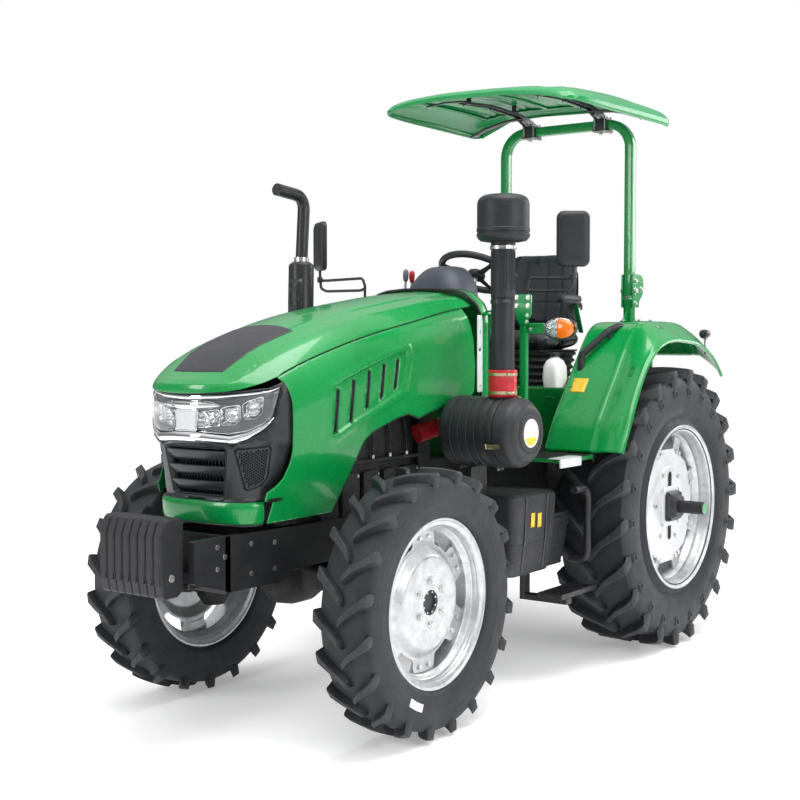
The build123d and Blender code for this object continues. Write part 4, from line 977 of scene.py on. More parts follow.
def sheet(outline, fn, step=25, rings=(), holes=(), depth=None, dense_step=None):
    """Triangulated sheet inside outline. rings: closed lines kept as edges; holes: cut out; fn maps (a, b, depth) to a point."""
    ds = dense_step or step * 0.7
    loops = [dense(outline, ds)] + [dense(r, ds) for r in rings] + [dense(h, ds) for h in holes]
    verts, edges = [], []
    for lp in loops:
        o = len(verts)
        verts.extend(lp)
        edges.extend([(o + i, o + (i + 1) % len(lp)) for i in range(len(lp))])
    xs = [p[0] for p in outline]
    ys = [p[1] for p in outline]
    for a in np.arange(min(xs) + step / 2, max(xs), step):
        for b in np.arange(min(ys) + step / 2, max(ys), step):
            if inside((a, b), outline) and all(seg_dist((a, b), lp) > step * 0.38 for lp in loops) and not any(inside((a, b), h) for h in holes):
                verts.append((float(a), float(b)))
    v2, e2, f2, ov, oe, of_ = delaunay_2d_cdt([Vector(p) for p in verts], edges, [], 0, 1e-4)
    faces = []
    for f in f2:
        c = sum((v2[i] for i in f), Vector((0, 0))) / len(f)
        if inside(c, outline) and not any(inside(c, h) for h in holes):
            faces.append(tuple(f))
    used = sorted({i for f in faces for i in f})
    idx = {u: i for i, u in enumerate(used)}
    pts = [(v2[u].x, v2[u].y) for u in used]
    faces = [tuple(idx[i] for i in f) for f in faces]
    dd = [depth(p) if depth else 0.0 for p in pts]
    return [tuple(fn(p[0], p[1], d)) for p, d in zip(pts, dd)], faces


def orient(v, f, toward):
    """Turns every face so that its normal points along the function toward(centre)."""
    out = []
    for q in f:
        a, b, c = Vector(v[q[0]]), Vector(v[q[1]]), Vector(v[q[2]])
        n = (b - a).cross(c - a)
        ce = (a + b + c) / 3
        out.append(q if n.dot(Vector(toward(ce))) >= 0 else tuple(reversed(q)))
    return out


# ------------------------------------------------------------------ hood surfaces
bt_lo, bt_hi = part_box("bonnet_top")
HX0 = bt_lo.x * 1000                      # rear edge of the hood
HX1 = bt_hi.x * 1000                      # front edge
HT = [  # x, waist, seam half width, crease half width, z seam, z crease, z crown
    (80, 340, 300, 222, 1675, 1720, 1741), (300, 340, 301, 224, 1645, 1697, 1722), (507, 340, 302, 226, 1607, 1666, 1696), (826, 340, 302, 229, 1548, 1614, 1648),
    (1000, 339, 301, 230, 1509, 1577, 1612), (1172, 338, 300, 228, 1464, 1530, 1566), (1300, 335, 299, 222, 1425, 1489, 1526), (1383, 333, 297, 216, 1396, 1455, 1490)]


def ht(col, x):
    return spline([r[0] for r in HT], [r[col] for r in HT], x)


CREASE = [(1383, 216, 1455), (1440, 215, 1419), (1480, 216, 1393), (1506, 210, 1375), (1535, 178, 1368), (1560, 125, 1366.5), (1574, 65, 1366), (1579, 0, 1366)]
LOWER = [(1383, 301, 1394), (1440, 280, 1372), (1480, 252, 1358), (1508, 226, 1349), (1538, 190, 1342), (1564, 130, 1337), (1578, 66, 1334), (1582, 0, 1333)]


def curve3(pts, m):
    p = np.array(pts, float)
    d = np.r_[0, np.cumsum(np.linalg.norm(np.diff(p, axis=0), axis=1))]
    s = np.linspace(0, d[-1], m)
    # Catmull-Rom through the points
    out = []
    for q in s:
        k = min(max(int(np.searchsorted(d, q) - 1), 0), len(p) - 2)
        t = (q - d[k]) / (d[k + 1] - d[k])
        p0, p1, p2, p3 = p[max(k - 1, 0)], p[k], p[k + 1], p[min(k + 2, len(p) - 1)]
        if k == len(p) - 2 and abs(p[-1][1]) < 1e-6:
            p3 = p[k] * np.array([1, -1, 1])
        if k == len(p) - 2 and abs(p[-1][1]) < 1e-6:
            pass
        m1 = (p2 - p0) / max(d[min(k + 1, len(p) - 1)] - d[max(k - 1, 0)], 1e-6) * (d[k + 1] - d[k])
        dn = (d[min(k + 2, len(p) - 1)] - d[k]) if k < len(p) - 2 else (d[k + 1] - d[k]) * (2 if abs(p[-1][1]) < 1e-6 else 1)
        m2 = (p3 - p1) / max(dn, 1e-6) * (d[k + 1] - d[k])
        out.append((2 * t**3 - 3 * t**2 + 1) * p1 + (t**3 - 2 * t**2 + t) * m1 + (-2 * t**3 + 3 * t**2) * p2 + (t**3 - t**2) * m2)
    return np.array(out)


zc_x = [1383, 1430, 1480, 1530, 1560, 1579]
zc_z = [1490, 1462, 1428, 1396, 1380, 1366]


def z_top(x, y):
    """Height of the hood top inside the crease line."""
    if x <= 1383:
        zc, zs_, w = float(ht(6, x)[0]), float(ht(5, x)[0]), float(ht(3, x)[0])
    else:
        zc = float(spline(zc_x, zc_z, x)[0])
        zs_ = float(np.interp(x, [c[0] for c in CREASE], [c[2] for c in CREASE]))
        w = float(np.interp(x, [c[0] for c in CREASE], [c[1] for c in CREASE]))
    q = min(1.0, abs(y) / max(w, 1))
    z = zc - (zc - zs_) * q ** 2.1
    # raised centre field
    b = float(np.interp(x, [80, 500, 1000, 1300, 1420], [150, 152, 158, 160, 150]))
    fade = float(np.interp(x, [80, 900, 1250, 1420], [5.0, 4.5, 3.0, 0.0]))
    t = max(0.0, min(1.0, (b + 6 - abs(y)) / 12))
    return z + fade * t * t * (3 - 2 * t) - fade * 0.3


def hood_top():
    k = Mesh()
    m = 24
    C = curve3(CREASE, m)
    L = curve3(LOWER, m)
    xs = list(np.linspace(HX0 + 1, 1383, 46))
    cre = [(x, float(ht(3, x)[0]), float(ht(5, x)[0])) for x in xs[:-1]] + [tuple(p) for p in C]
    low = [(x, float(ht(2, x)[0]), float(ht(4, x)[0]) + 1.5) for x in xs[:-1]] + [tuple(p) for p in L]
    cre = cre + [(x, -y, z) for x, y, z in reversed(cre[:-1])]
    low = low + [(x, -y, z) for x, y, z in reversed(low[:-1])]
    cre, low = np.array(cre), np.array(low)
    # edge strip with a rounded shoulder
    rows = []
    for a, b in zip(cre, low):
        d = b - a
        ln = np.linalg.norm(d)
        side_ = 1 if a[1] > 0 else -1 if a[1] < 0 else 0
        out = np.array([0.25 if a[0] < 1383 else 0.7 * (1 - abs(a[1]) / 320), (abs(a[1]) / 300 if a[0] > 1383 else 1) * side_, 0.55])
        out = out / np.linalg.norm(out)
        row = []
        for t, bl in ((0.0, -0.010), (0.07, 0.012), (0.18, 0.040), (0.35, 0.062), (0.55, 0.062), (0.75, 0.045), (0.90, 0.022), (1.0, 0.0)):
            row.append(a + d * t + out * (ln * bl))
        # hem turned inward
        inn = np.array([-0.5 if a[0] > 1383 else 0, -side_ * 1.0, 0])
        row.append(b + inn * 3 + np.array([0, 0, -2.0]))
        row.append(b + inn * 14 + np.array([0, 0, -1.0]))
        rows.append([tuple(p) for p in row])
    k.add(*loft(rows), mat=0)
    # field inside the crease
    mm = 2 * m - 1
    vs = np.linspace(0, 1, mm)
    rows = []
    for x in xs:
        w = float(ht(3, x)[0])
        ys = w * np.cos(np.pi * vs) * 0.35 + w * (1 - 2 * vs) * 0.65
        rows.append([(x, y, z_top(x, y) if abs(y) < w - 0.01 else float(ht(5, x)[0])) for y in ys])
    base = np.array(rows[-1])
    CC = np.concatenate([C, C[-2::-1] * np.array([1, -1, 1])])
    for s in np.linspace(0, 1, 20)[1:]:
        row = []
        for j in range(mm):
            x = base[j][0] + (CC[j][0] - base[j][0]) * s
            y = base[j][1] + (CC[j][1] - base[j][1]) * s
            if s > 0.999 or j in (0, mm - 1):
                z = base[j][2] + (CC[j][2] - base[j][2]) * s if s < 0.999 else CC[j][2]
                if j in (0, mm - 1):
                    z = 1455
                    x, y = base[j][0], base[j][1]
            else:
                z = z_top(x, y)
            row.append((x, y, z))
        rows.append(row)
    v, f = loft(rows)
    v = [tuple(p) for p in v]
    k.add(v, f, 0)
    return k


k = hood_top()
ob = k.obj("hood_top_skin", [M["green"]], "bonnet", "hood_green", ("bonnet_top",), weld=1.2, angle=26, solid=2.5)


def side_y(x, z):
    """Half width of the hood side at x, z."""
    xx = min(x, 1383)
    w, ws_, zs_ = float(ht(1, xx)[0]), float(ht(2, xx)[0]), float(ht(4, xx)[0])
    wf = float(np.interp(x, [80, 507, 826, 1172, 1383, 1430, 1470], [340, 340, 320, 275, 250, 243, 232]))
    if x > 1383:
        t = (x - 1383) / 87
        w, ws_, zs_ = 333 - 33 * t, 297 - 35 * t, 1396 - 30 * t
    zk = [842, 930, 1020, 1110, zs_ - 170, zs_ - 90, zs_ - 35, zs_]
    yk = [wf, wf + (w - wf) * 0.42, wf + (w - wf) * 0.80, w - 0.5, w + 0.2, w - 3.5, (w + ws_) * 0.5 + 3, ws_ + 0.5]
    order = np.argsort(zk)
    zk, yk = np.array(zk)[order], np.array(yk)[order]
    return float(spline(zk, yk, z)[0])


def side_fn(x, z, d):
    return (x, side_y(x, z) - d, z)


arch = [(1062, 858), (1040, 905), (1020, 950), (995, 1000), (965, 1052), (930, 1105), (905, 1132), (860, 1158), (788, 1180), (700, 1204), (613, 1222), (565, 1208), (533, 1199), (510, 1206), (440, 1222), (300, 1248), (148, 1268)]
seam_up = [(float(x), float(ht(4, x)[0]) - 3.5) for x in np.linspace(160, 1383, 26)]
side_out = arch + [(112, 1292), (104, 1400), (118, 1520), (140, 1600)] + seam_up + [(1386, 1390), (1352, 1345), (1338, 1300), (1336, 1220), (1338, 1130), (1350, 1070), (1372, 1020), (1400, 988), (1430, 966), (1430, 934), (1392, 929), (1392, 846), (1250, 850), (1150, 853)]
RECESS = [(1108, 1150), (1106, 1346), (1040, 1372), (900, 1416), (760, 1455), (612, 1486), (604, 1456), (655, 1318), (800, 1262), (950, 1212)]
rec_in = shrink(RECESS, 9)
SLOTS = []
for xt, zt, xb, zb in ((1066, 1334, 1086, 1166), (968, 1368, 990, 1206), (869, 1401, 887, 1251), (770, 1425, 792, 1287), (676, 1445, 699, 1322)):
    SLOTS.append(fillet2([(xt + 10, zt), (xt - 12, zt + 5), (xb - 13, zb + 4), (xb + 9, zb - 4)], 5, 3))
FRAME = shrink(RECESS, -26)


def side_depth(p):
    if inside(p, rec_in) or seg_dist(p, rec_in) < 0.6:
        return 9.0
    if inside(p, RECESS) or seg_dist(p, RECESS) < 0.6:
        return 0.0
    d = seg_dist(p, RECESS)
    return -2.2 * max(0.0, min(1.0, (26 - d) / 8)) if d < 26 else 0.0


side_v, side_f = sheet(side_out, side_fn, 15, [RECESS, rec_in, FRAME, shrink(RECESS, -18), shrink(side_out, 7)], SLOTS, side_depth, 11)
side_f = orient(side_v, side_f, lambda c: (0, 1, 0))
for s_, nm in ((1, "left"), (-1, "right")):
    v, f = side_v, side_f
    k = Mesh().add(v, f, 0)
    if s_ < 0:
        k = k.mirrored()
    rep = ("bonnet_sides",) if s_ > 0 else ()
    k.obj(f"hood_side_{nm}", [M["green"]], "bonnet", "hood_green", rep, weld=0.05, angle=24, solid=3)
    # near-black sheet behind the openings as painted shade, with upright louvre fins
    lin = Mesh()
    v, f = sheet(shrink(RECESS, 14), lambda x, z, d: (x, side_y(x, z) - 46, z), 60)
    lin.add(v, orient(v, f, lambda c: (0, 1, 0)), 0)
    for sl in SLOTS:
        cx = sum(p[0] for p in sl) / len(sl)
        rows = []
        for fr in (0.0, 1.0):
            pass
        zt, zb = max(p[1] for p in sl), min(p[1] for p in sl)
        rim_o, rim_i = shrink(sl, 0.2), shrink(sl, 3.0)
        n_ = len(sl)
        vv = [(p[0], side_y(*p) - 9, p[1]) for p in rim_o] + [(p[0], side_y(*p) - 30, p[1]) for p in rim_o]
        ff = [(i, (i + 1) % n_, n_ + (i + 1) % n_, n_ + i) for i in range(n_)]
        lin.add(vv, ff, 1)
        lin.add([(cx + 8, side_y(cx, zt) - 44, zt + 4), (cx - 14, side_y(cx, zt) - 16, zt + 4), (cx - 2, side_y(cx, zb) - 16, zb - 4), (cx + 20, side_y(cx, zb) - 44, zb - 4)], [(0, 1, 2, 3)], 1)
    if s_ < 0:
        lin = lin.mirrored()
    lin.obj(f"hood_vent_lining_{nm}", [M["void"], M["trim"]], "bonnet", "black_plastic", (), weld=0.01, angle=30, solid=1.5)
    # black rubber seal on the lower edge; oval latch hole, filled with a near-black oval of painted shade
    sl = Mesh()
    path = [(x, (side_y(x, z) - 4) * s_, z - 2) for x, z in dense(arch + [(1062, 858)][:0], 20, closed=False)]
    sl.add(*sweep(path, roundrect2(7, 7, 2, 2)), mat=0)
    sl.obj(f"hood_edge_seal_{nm}", [M["trim"]], "bonnet", "black_plastic", angle=40)
    ov = Mesh()
    oc = (1392, 934)
    for rx, rz, y1, mt in ((36, 8, 2.0, 0), (30, 4.5, 2.6, 1)):
        outl = [(oc[0] - 8 + rx * math.cos(a), oc[1] + 2 + rz * math.sin(a)) for a in np.linspace(0, 2 * math.pi, 28, endpoint=False)]
        outl = [(min(p[0], 1426), p[1]) for p in outl]
        n_ = len(outl)
        vv = [(p[0], (side_y(*p) + y1) * s_, p[1]) for p in outl] + [(p[0], (side_y(*p) - 8) * s_, p[1]) for p in outl]
        ff = [(i, (i + 1) % n_, n_ + (i + 1) % n_, n_ + i) for i in range(n_)] + [tuple(range(n_)), tuple(reversed(range(n_, 2 * n_)))]
        ov.add(vv, ff, mt)
    ov.obj(f"hood_latch_{nm}", [M["trim"], M["void"]], "bonnet", "black_plastic", angle=35)

# black seal lying in the seam between top and sides
for s_ in (1, -1):
    k = Mesh()
    path = [(x, s_ * (float(ht(2, x)[0]) - 3), float(ht(4, x)[0]) - 1.5) for x in np.linspace(90, 1383, 60)]
    k.add(*sweep(path, roundrect2(9, 5, 2, 2)), mat=0)
    k.obj("hood_seam_%s" % ("left" if s_ > 0 else "right"), [M["void"]], "bonnet", "black_plastic", angle=40)

# blank dark panel on the hood front
DEC = fillet2([(1492, 128), (1508, 60), (1512, 0), (1508, -60), (1492, -128), (1400, -146), (1260, -156), (1132, -160), (1118, -80), (1114, 0), (1118, 80), (1132, 160), (1260, 156), (1400, 146)], [8, 0, 0, 0, 8, 0, 0, 8, 0, 0, 0, 8, 0, 0], 3)
v, f = sheet(DEC, lambda x, y, d: (x, y, z_top(x, y) + 1.6 - d), 24, [shrink(DEC, 3.5)], (), lambda p: 1.4 if seg_dist(p, DEC) < 0.6 else 0.0, 14)
k = Mesh().add(v, orient(v, f, lambda c: (0, 0, 1)), 0)
k.obj("hood_panel", [M["decal"]], "bonnet", "black_plastic", weld=0.01, angle=40, solid=2.5)

# ------------------------------------------------------------------ nose: grille, lamps, lip
N_MID = [(1566, 0), (1560, 62), (1541, 125), (1505, 208), (1450, 285), (1400, 316), (1350, 327)]
N_LOW = [(1512, 0), (1504, 130), (1478, 205), (1440, 236), (1396, 246)]
G_LOW = [(1500, 0), (1492, 125), (1462, 200), (1425, 234), (1385, 254), (1344, 262)]
G_TOP = [(1532, 0), (1524, 125), (1492, 212), (1445, 275), (1396, 308), (1344, 324)]


def along(pl, v):
    """Point and outward normal on a plan outline at share v of its length; v may run past 1."""
    p = np.array(pl, float)
    d = np.r_[0, np.cumsum(np.linalg.norm(np.diff(p, axis=0), axis=1))]
    s = abs(v) * d[-1]
    if s > d[-1]:
        t = (p[-1] - p[-2]) / (d[-1] - d[-2])
        q = p[-1] + t * (s - d[-1])
    else:
        k_ = min(max(int(np.searchsorted(d, s) - 1), 0), len(p) - 2)
        u = (s - d[k_]) / (d[k_ + 1] - d[k_])

        def tan(i):
            if i == 0:
                return np.array([0.0, 1.0])
            a, b = p[max(i - 1, 0)], p[min(i + 1, len(p) - 1)]
            return (b - a) / np.linalg.norm(b - a)
        L_ = d[k_ + 1] - d[k_]
        m0, m1 = tan(k_) * L_, tan(k_ + 1) * L_
        q = (2 * u**3 - 3 * u**2 + 1) * p[k_] + (u**3 - 2 * u**2 + u) * m0 + (-2 * u**3 + 3 * u**2) * p[k_ + 1] + (u**3 - u**2) * m1
    return q[0], q[1] * (1 if v >= 0 else -1)


LV = 412.0                                 # millimetres to a full share


def nose_fn(v, z, d, mid=N_MID):
    """v in mm along the outline (+ left), z height, d depth below the surface."""
    u = v / LV
    if z <= 932:
        x, y = along(N_LOW, u)
    elif z <= 1148:
        a, b = along(G_LOW, u), along(G_TOP, u)
        t = (z - 932) / 216
        x, y = a[0] + (b[0] - a[0]) * t, a[1] + (b[1] - a[1]) * t
    else:
        x, y = along(mid, u)
    e = 0.02
    a, b = along(mid, u - e), along(mid, u + e)
    tx, ty = b[0] - a[0], b[1] - a[1]
    n = math.hypot(tx, ty)
    nx, ny = ty / n, -tx / n
    return (x - nx * d, y - ny * d, z)


def lamp_fn(v, z, d):
    return nose_fn(v, max(z, 1149), d)[:2] + (z,)


def fwd(c):
    return (1.0, 1.2 if c.y > 60 else -1.2 if c.y < -60 else 0, 0)


def outline_mirror(right):
    """right: points from the middle bottom round to the middle top, v >= 0."""
    return right + [(-a, b) for a, b in reversed(right) if a > 0.5]


# black surround with the grille opening and two side windows
surround = outline_mirror([(0, 933), (120, 931), (230, 930), (314, 931), (368, 946), (402, 972), (420, 1020), (427, 1070), (427, 1300), (412, 1346), (388, 1374), (330, 1352), (262, 1346), (150, 1338), (0, 1334)])
win_r = fillet2([(196, 1124), (336, 1136), (344, 1020), (322, 992), (250, 972)], [8, 10, 14, 10, 8], 4)
win_l = [(-a, b) for a, b in reversed(win_r)]
GO = fillet2([(-152, 950), (152, 950), (160, 1040), (164, 1128), (-164, 1128), (-160, 1040)], [14, 14, 0, 12, 12, 0], 4)
LAMP_HOLE = outline_mirror([(0, 1152), (100, 1150), (185, 1143), (250, 1160), (310, 1198), (345, 1240), (359, 1288), (379, 1359), (330, 1347), (262, 1339), (150, 1331), (0, 1327)])
v, f = sheet(surround, lambda a, b, d: nose_fn(a, b, d + 2), 24, [shrink(win_r, -7), shrink(win_l, -7), shrink(GO, -9)], [win_r, win_l, GO, LAMP_HOLE],
             lambda p: 5.0 if (seg_dist(p, win_r) < 0.6 or seg_dist(p, win_l) < 0.6 or seg_dist(p, GO) < 0.6) else 0.0, 14)
k = Mesh().add(v, orient(v, f, fwd), 0)
k.obj("nose_surround", [M["trim"]], "bonnet", "black_plastic", ("nose_grille",), weld=0.01, angle=28, solid=4)

# perforated side windows: hexagon holes in a curved plate
for sd in (1, -1):
    w = win_r if sd > 0 else win_l
    ws = shrink(w, -3)
    holes_ = []
    for i, a in enumerate(np.arange(190, 350, 9.0)):
        for b in np.arange(970, 1140, 10.4):
            c_ = (sd * a, b + (5.2 if i % 2 else 0))
            if inside(c_, w) and seg_dist(c_, w) > 11:
                holes_.append([(c_[0] + 4.1 * math.cos(t), c_[1] + 4.1 * math.sin(t)) for t in np.arange(6) * math.pi / 3])
    v, f = sheet(ws, lambda a, b, d: nose_fn(a, b, d + 9), 30, [], holes_, None, 30)
    k = Mesh().add(v, orient(v, f, fwd), 0)
    # near-black sheet behind the hexagon holes: painted shade
    v, f = sheet(ws, lambda a, b, d: nose_fn(a, b, d + 22), 40)
    k.add(v, orient(v, f, fwd), 1)
    k.obj("nose_mesh_%s" % ("left" if sd > 0 else "right"), [M["trim"], M["void"]], "bonnet", "black_plastic", weld=0.01, angle=30, solid=2)

# grille recess with three broad slats, thin ribs and a fine mesh behind
k = Mesh()
GI = shrink(GO, -4)
# near-black sheet at the back of the recess: painted shade
v, f = sheet(GI, lambda a, b, d: nose_fn(a, b, 52), 40)
k.add(v, orient(v, f, fwd), 1)
n_ = len(GI)
GD = dense(GO, 20)
n_ = len(GD)
vv = [nose_fn(a, b, 6) for a, b in GD] + [nose_fn(a, b, 54) for a, b in GD]
k.add(vv, [(i, (i + 1) % n_, n_ + (i + 1) % n_, n_ + i) for i in range(n_)], 0)
k.obj("grille_recess", [M["trim"], M["void"]], "bonnet", "black_plastic", weld=0.01, angle=30, solid=2)
k = Mesh()
for zc_, hh in ((1098, 21), (1041, 20), (984, 20)):
    rows = []
    for a in np.linspace(-157, 157, 25):
        end = 1.0
        sec = [(8, -hh), (14, -hh + 3), (26, -2), (14, hh - 3), (10, hh), (30, hh - 2), (44, 0), (30, -hh + 2)]
        prof = [(10, hh), (5.5, hh - 3), (5, hh - 8), (16, -hh + 6), (22, -hh + 1), (34, -hh), (40, -hh + 4), (34, -4), (24, hh - 2)]
        rows.append([nose_fn(a, zc_ + z, d) for d, z in prof])
    k.add(*loft(rows, True, True), mat=0)
for a in np.arange(-140, 141, 20):
    rows = []
    for z in np.linspace(955, 1124, 8):
        rows.append([nose_fn(a - 1.3, z, 30), nose_fn(a + 1.3, z, 30), nose_fn(a + 1.3, z, 44), nose_fn(a - 1.3, z, 44)])
    k.add(*loft(rows, True, True), mat=0)
for z in np.arange(960, 1124, 14):
    rows = []
    for a in np.linspace(-155, 155, 12):
        rows.append([nose_fn(a, z - 1.2, 40), nose_fn(a, z + 1.2, 40), nose_fn(a, z + 1.2, 43), nose_fn(a, z - 1.2, 43)])
    k.add(*loft(rows, True, True), mat=0)
k.obj("grille_slats", [M["trim"]], "bonnet", "black_plastic", angle=28)

# green lip under the grille
k = Mesh()
rows = []
for u in np.linspace(-1.0, 1.0, 65):
    a = u * LV * 0.985
    dd = 0
    prof = [(0, 846), (-0.5, 862), (-1.5, 905), (-0.5, 921), (3, 927.5), (9, 930), (22, 930), (22, 926), (8, 926), (6, 918), (8, 850)]
    row = []
    for d, z in prof:
        low = 8 * max(0, (862 - z) / 16) if z < 862 else 0
        p = nose_fn(a, min(z, 931.5), d + low)
        row.append((p[0], p[1], z))
    rows.append(row)
k.add(*loft(rows, True, True), mat=0)
k.obj("nose_lip", [M["green"]], "bonnet", "hood_green", ("nose_lower",), angle=28)
# black strip under the lip
k = Mesh()
k.add(*sweep([nose_fn(u * LV * 0.97, 846, 8)[:2] + (843,) for u in np.linspace(-1, 1, 40)], roundrect2(10, 7, 2, 2)), mat=0)
k.obj("nose_lip_strip", [M["trim"]], "bonnet", "black_plastic", angle=40)

# ---- lamp bar: dark housing, chrome bars, blank plate, reflector cells, clear covers
lamp_out = outline_mirror([(0, 1150), (100, 1148), (185, 1141), (250, 1158), (310, 1196), (347, 1238), (362, 1288), (386, 1368), (330, 1352), (262, 1345), (150, 1336), (0, 1331)])
cells = [[(56, 1204), (54, 1260), (142, 1272), (142, 1213)],
         [(150, 1214), (148, 1274), (168, 1282), (222, 1290), (224, 1236), (204, 1218)],
         [(234, 1238), (232, 1290), (250, 1302), (312, 1322), (304, 1262), (282, 1240)]]
cells = [fillet2(c, 9, 4) for c in cells]
cells_all = cells + [[(-a, b) for a, b in reversed(c)] for c in cells]
v, f = sheet(lamp_out, lambda a, b, d: lamp_fn(a, b, d + 22), 24, [shrink(lamp_out, 10)], cells_all, lambda p: -16.0 if seg_dist(p, lamp_out) < 0.6 else 0.0, 14)
k = Mesh().add(v, orient(v, f, fwd), 0)
k.obj("lamp_housing", [M["plastic_blue"]], "bonnet", "black_plastic", ("headlamp_bar",), weld=0.01, angle=26, solid=2.5)


def bar_on_nose(name, a0, a1, zf, hf, depth, n, mat, round_=0.35, ends=0.35):
    """Rounded bright bar following the nose: zf(a) middle height, hf(a) half height."""
    k = Mesh()
    rows = []
    for i, a in enumerate(np.linspace(a0, a1, n)):
        e = min(1.0, ends + (1 - ends) * min(i, n - 1 - i) / 3.0)
        h_ = hf(a) * e
        row = []
        for t in np.linspace(-1, 1, 9):
            row.append((a, zf(a) + h_ * t, depth - 7 * (1 - abs(t) ** 2.6) * e))
        row.append((a, zf(a) + h_ * 0.9, depth + 7))
        row.append((a, zf(a) - h_ * 0.9, depth + 7))
        rows.append([lamp_fn(*p) for p in row])
    k.add(*loft(rows, True, True), mat=0)
    return k.obj(name, [mat], "bonnet", "lamp_chrome", angle=38)


up = lambda a: float(np.interp(abs(a), [0, 150, 262, 330, 380], [1317, 1321, 1331, 1339, 1357]))
bar_on_nose("lamp_bar_upper", -372, 372, up, lambda a: float(np.interp(abs(a), [0, 140, 170, 372], [11, 11, 8, 5])), 10, 61, M["chrome"])
bar_on_nose("lamp_bar_band", -146, 146, lambda a: 1287, lambda a: float(np.interp(abs(a), [0, 50, 146], [17, 17, 10])), 9, 31, M["chrome"])
lo = lambda a: float(np.interp(abs(a), [0, 60, 185, 250, 310, 352], [1170, 1169, 1160, 1176, 1208, 1248]))
bar_on_nose("lamp_bar_lower", -352, 352, lo, lambda a: float(np.interp(abs(a), [0, 60, 200, 352], [17, 17, 15, 8])), 5, 61, M["chrome"])
lo2 = lambda a: lo(a) + float(np.interp(abs(a), [0, 60, 200, 352], [22, 22, 24, 13]))
for sd in (1, -1):
    bar_on_nose("lamp_strip_%s" % ("left" if sd > 0 else "right"), sd * 62, sd * 338, lo2, lambda a: 3.2, 12, 31, M["reflector"])
# lower white light guide under the cells
for sd in (1, -1):
    k = Mesh()
    rows = []
    for a in np.linspace(178, 336, 22):
        z = lo(a) + 1
        hh = float(np.interp(a, [178, 230, 336], [3, 9, 5]))
        rows.append([lamp_fn(sd * a, z + q, d) for q, d in ((-hh, 0), (-hh * 0.6, -3.6), (hh * 0.6, -3.6), (hh, 0), (0, 5))])
    k.add(*loft(rows, True, True), mat=0)
    k.obj("lamp_guide_%s" % ("left" if sd > 0 else "right"), [M["lens_rib"]], "bonnet", "lamp_chrome", angle=38)

# blank plate between the lamps, with its border
PL = fillet2([(-52, 1192), (52, 1192), (60, 1268), (-60, 1268)], 5, 4)
v, f = sheet(PL, lambda a, b, d: lamp_fn(a, b, d), 16, [shrink(PL, 4)], (), lambda p: 10.0 if seg_dist(p, PL) < 0.6 else 5.5, 12)
k = Mesh().add(v, orient(v, f, fwd), 0)
k.obj("lamp_plate", [M["disc"]], "bonnet", "lamp_chrome", weld=0.01, angle=26, solid=6)
k = Mesh()
PB = dense(PL, 12)
k.add(*sweep([lamp_fn(a, b, 7) for a, b in PB + PB[:1]], circle2(2.2, 8), cap=False), mat=0)
k.obj("lamp_plate_border", [M["chrome"]], "bonnet", "lamp_chrome", angle=40)

# reflector cells
for ci, (c, sd) in enumerate([(c, 1) for c in cells] + [(c, -1) for c in cells]):
    k = Mesh()
    cc = np.array(c)
    ce = cc.mean(0)
    cz = dense(c, 9)
    n_ = len(cz)
    rows = []
    for sc, d in ((1.07, 19), (1.04, 15.5), (0.99, 16), (0.93, 24), (0.80, 36), (0.60, 46), (0.42, 52), (0.30, 54)):
        rows.append([lamp_fn(sd * (ce[0] + (p[0] - ce[0]) * sc), ce[1] + (p[1] - ce[1]) * sc, d) for p in cz])
    v, f = loft(rows, True, False)
    f.append(tuple(range((len(rows) - 1) * n_, len(rows) * n_)))
    k.add(v, f, 0)
    # fluted facets: radial fins in the bowl and a bulb or projector lens
    r0 = min(cc[:, 0].max() - cc[:, 0].min(), cc[:, 1].max() - cc[:, 1].min()) / 2
    def P(t, r, d):
        return lamp_fn(sd * (ce[0] + r * math.cos(t)), ce[1] + r * math.sin(t), d)
    ring = [[P(t, r, d) for r, d in ((r0 * 0.60, 30), (r0 * 0.64, 27), (r0 * 0.70, 27), (r0 * 0.72, 33), (r0 * 0.66, 40))] for t in np.linspace(0, 2 * math.pi, 32, endpoint=False)]
    k.add(*loft(ring, True, False, True), mat=0)
    if ci % 3 == 0:
        for t in (0.9, 2.25, 4.71):
            rows = [[P(t - 0.13, r, d0), P(t + 0.13, r, d0), P(t + 0.10, r, d0 + 14), P(t - 0.10, r, d0 + 14)] for r, d0 in ((2, 30), (r0 * 0.5, 25), (r0 * 0.95, 20))]
            k.add(*loft(rows, True, True), mat=0)
    dome = [[P(t, r, d) for r, d in ((r0 * 0.56, 38), (r0 * 0.55, 33), (r0 * 0.48, 27), (r0 * 0.34, 22.5), (r0 * 0.17, 20.5), (0.2, 20))] for t in np.linspace(0, 2 * math.pi, 32, endpoint=False)]
    if ci % 3:
        k.add(*loft(dome, False, False, True), mat=1)
    k.obj(f"lamp_cell_{ci}", [M["reflector"], M["lens"]], "bonnet", "lamp_chrome", weld=0.01, angle=34)

# clear covers
for sd in (1, -1):
    cov = [(46, 1198), (48, 1270), (60, 1306), (150, 1312), (250, 1322), (330, 1338), (381, 1364), (358, 1290), (342, 1244), (306, 1206), (246, 1184), (180, 1180), (100, 1192)]
    cov = fillet2(cov, 7, 3)
    cov = [(sd * a, b) for a, b in cov]
    v, f = sheet(cov, lambda a, b, d: lamp_fn(a, b, d), 20, [shrink(cov, 6)], (), lambda p: 9.0 if seg_dist(p, cov) < 0.7 else 1.0, 12)
    k = Mesh().add(v, orient(v, f, fwd), 0)
    k.obj("lamp_cover_%s" % ("left" if sd > 0 else "right"), [M["lens"]], "bonnet", "lamp_chrome", weld=0.01, angle=80)
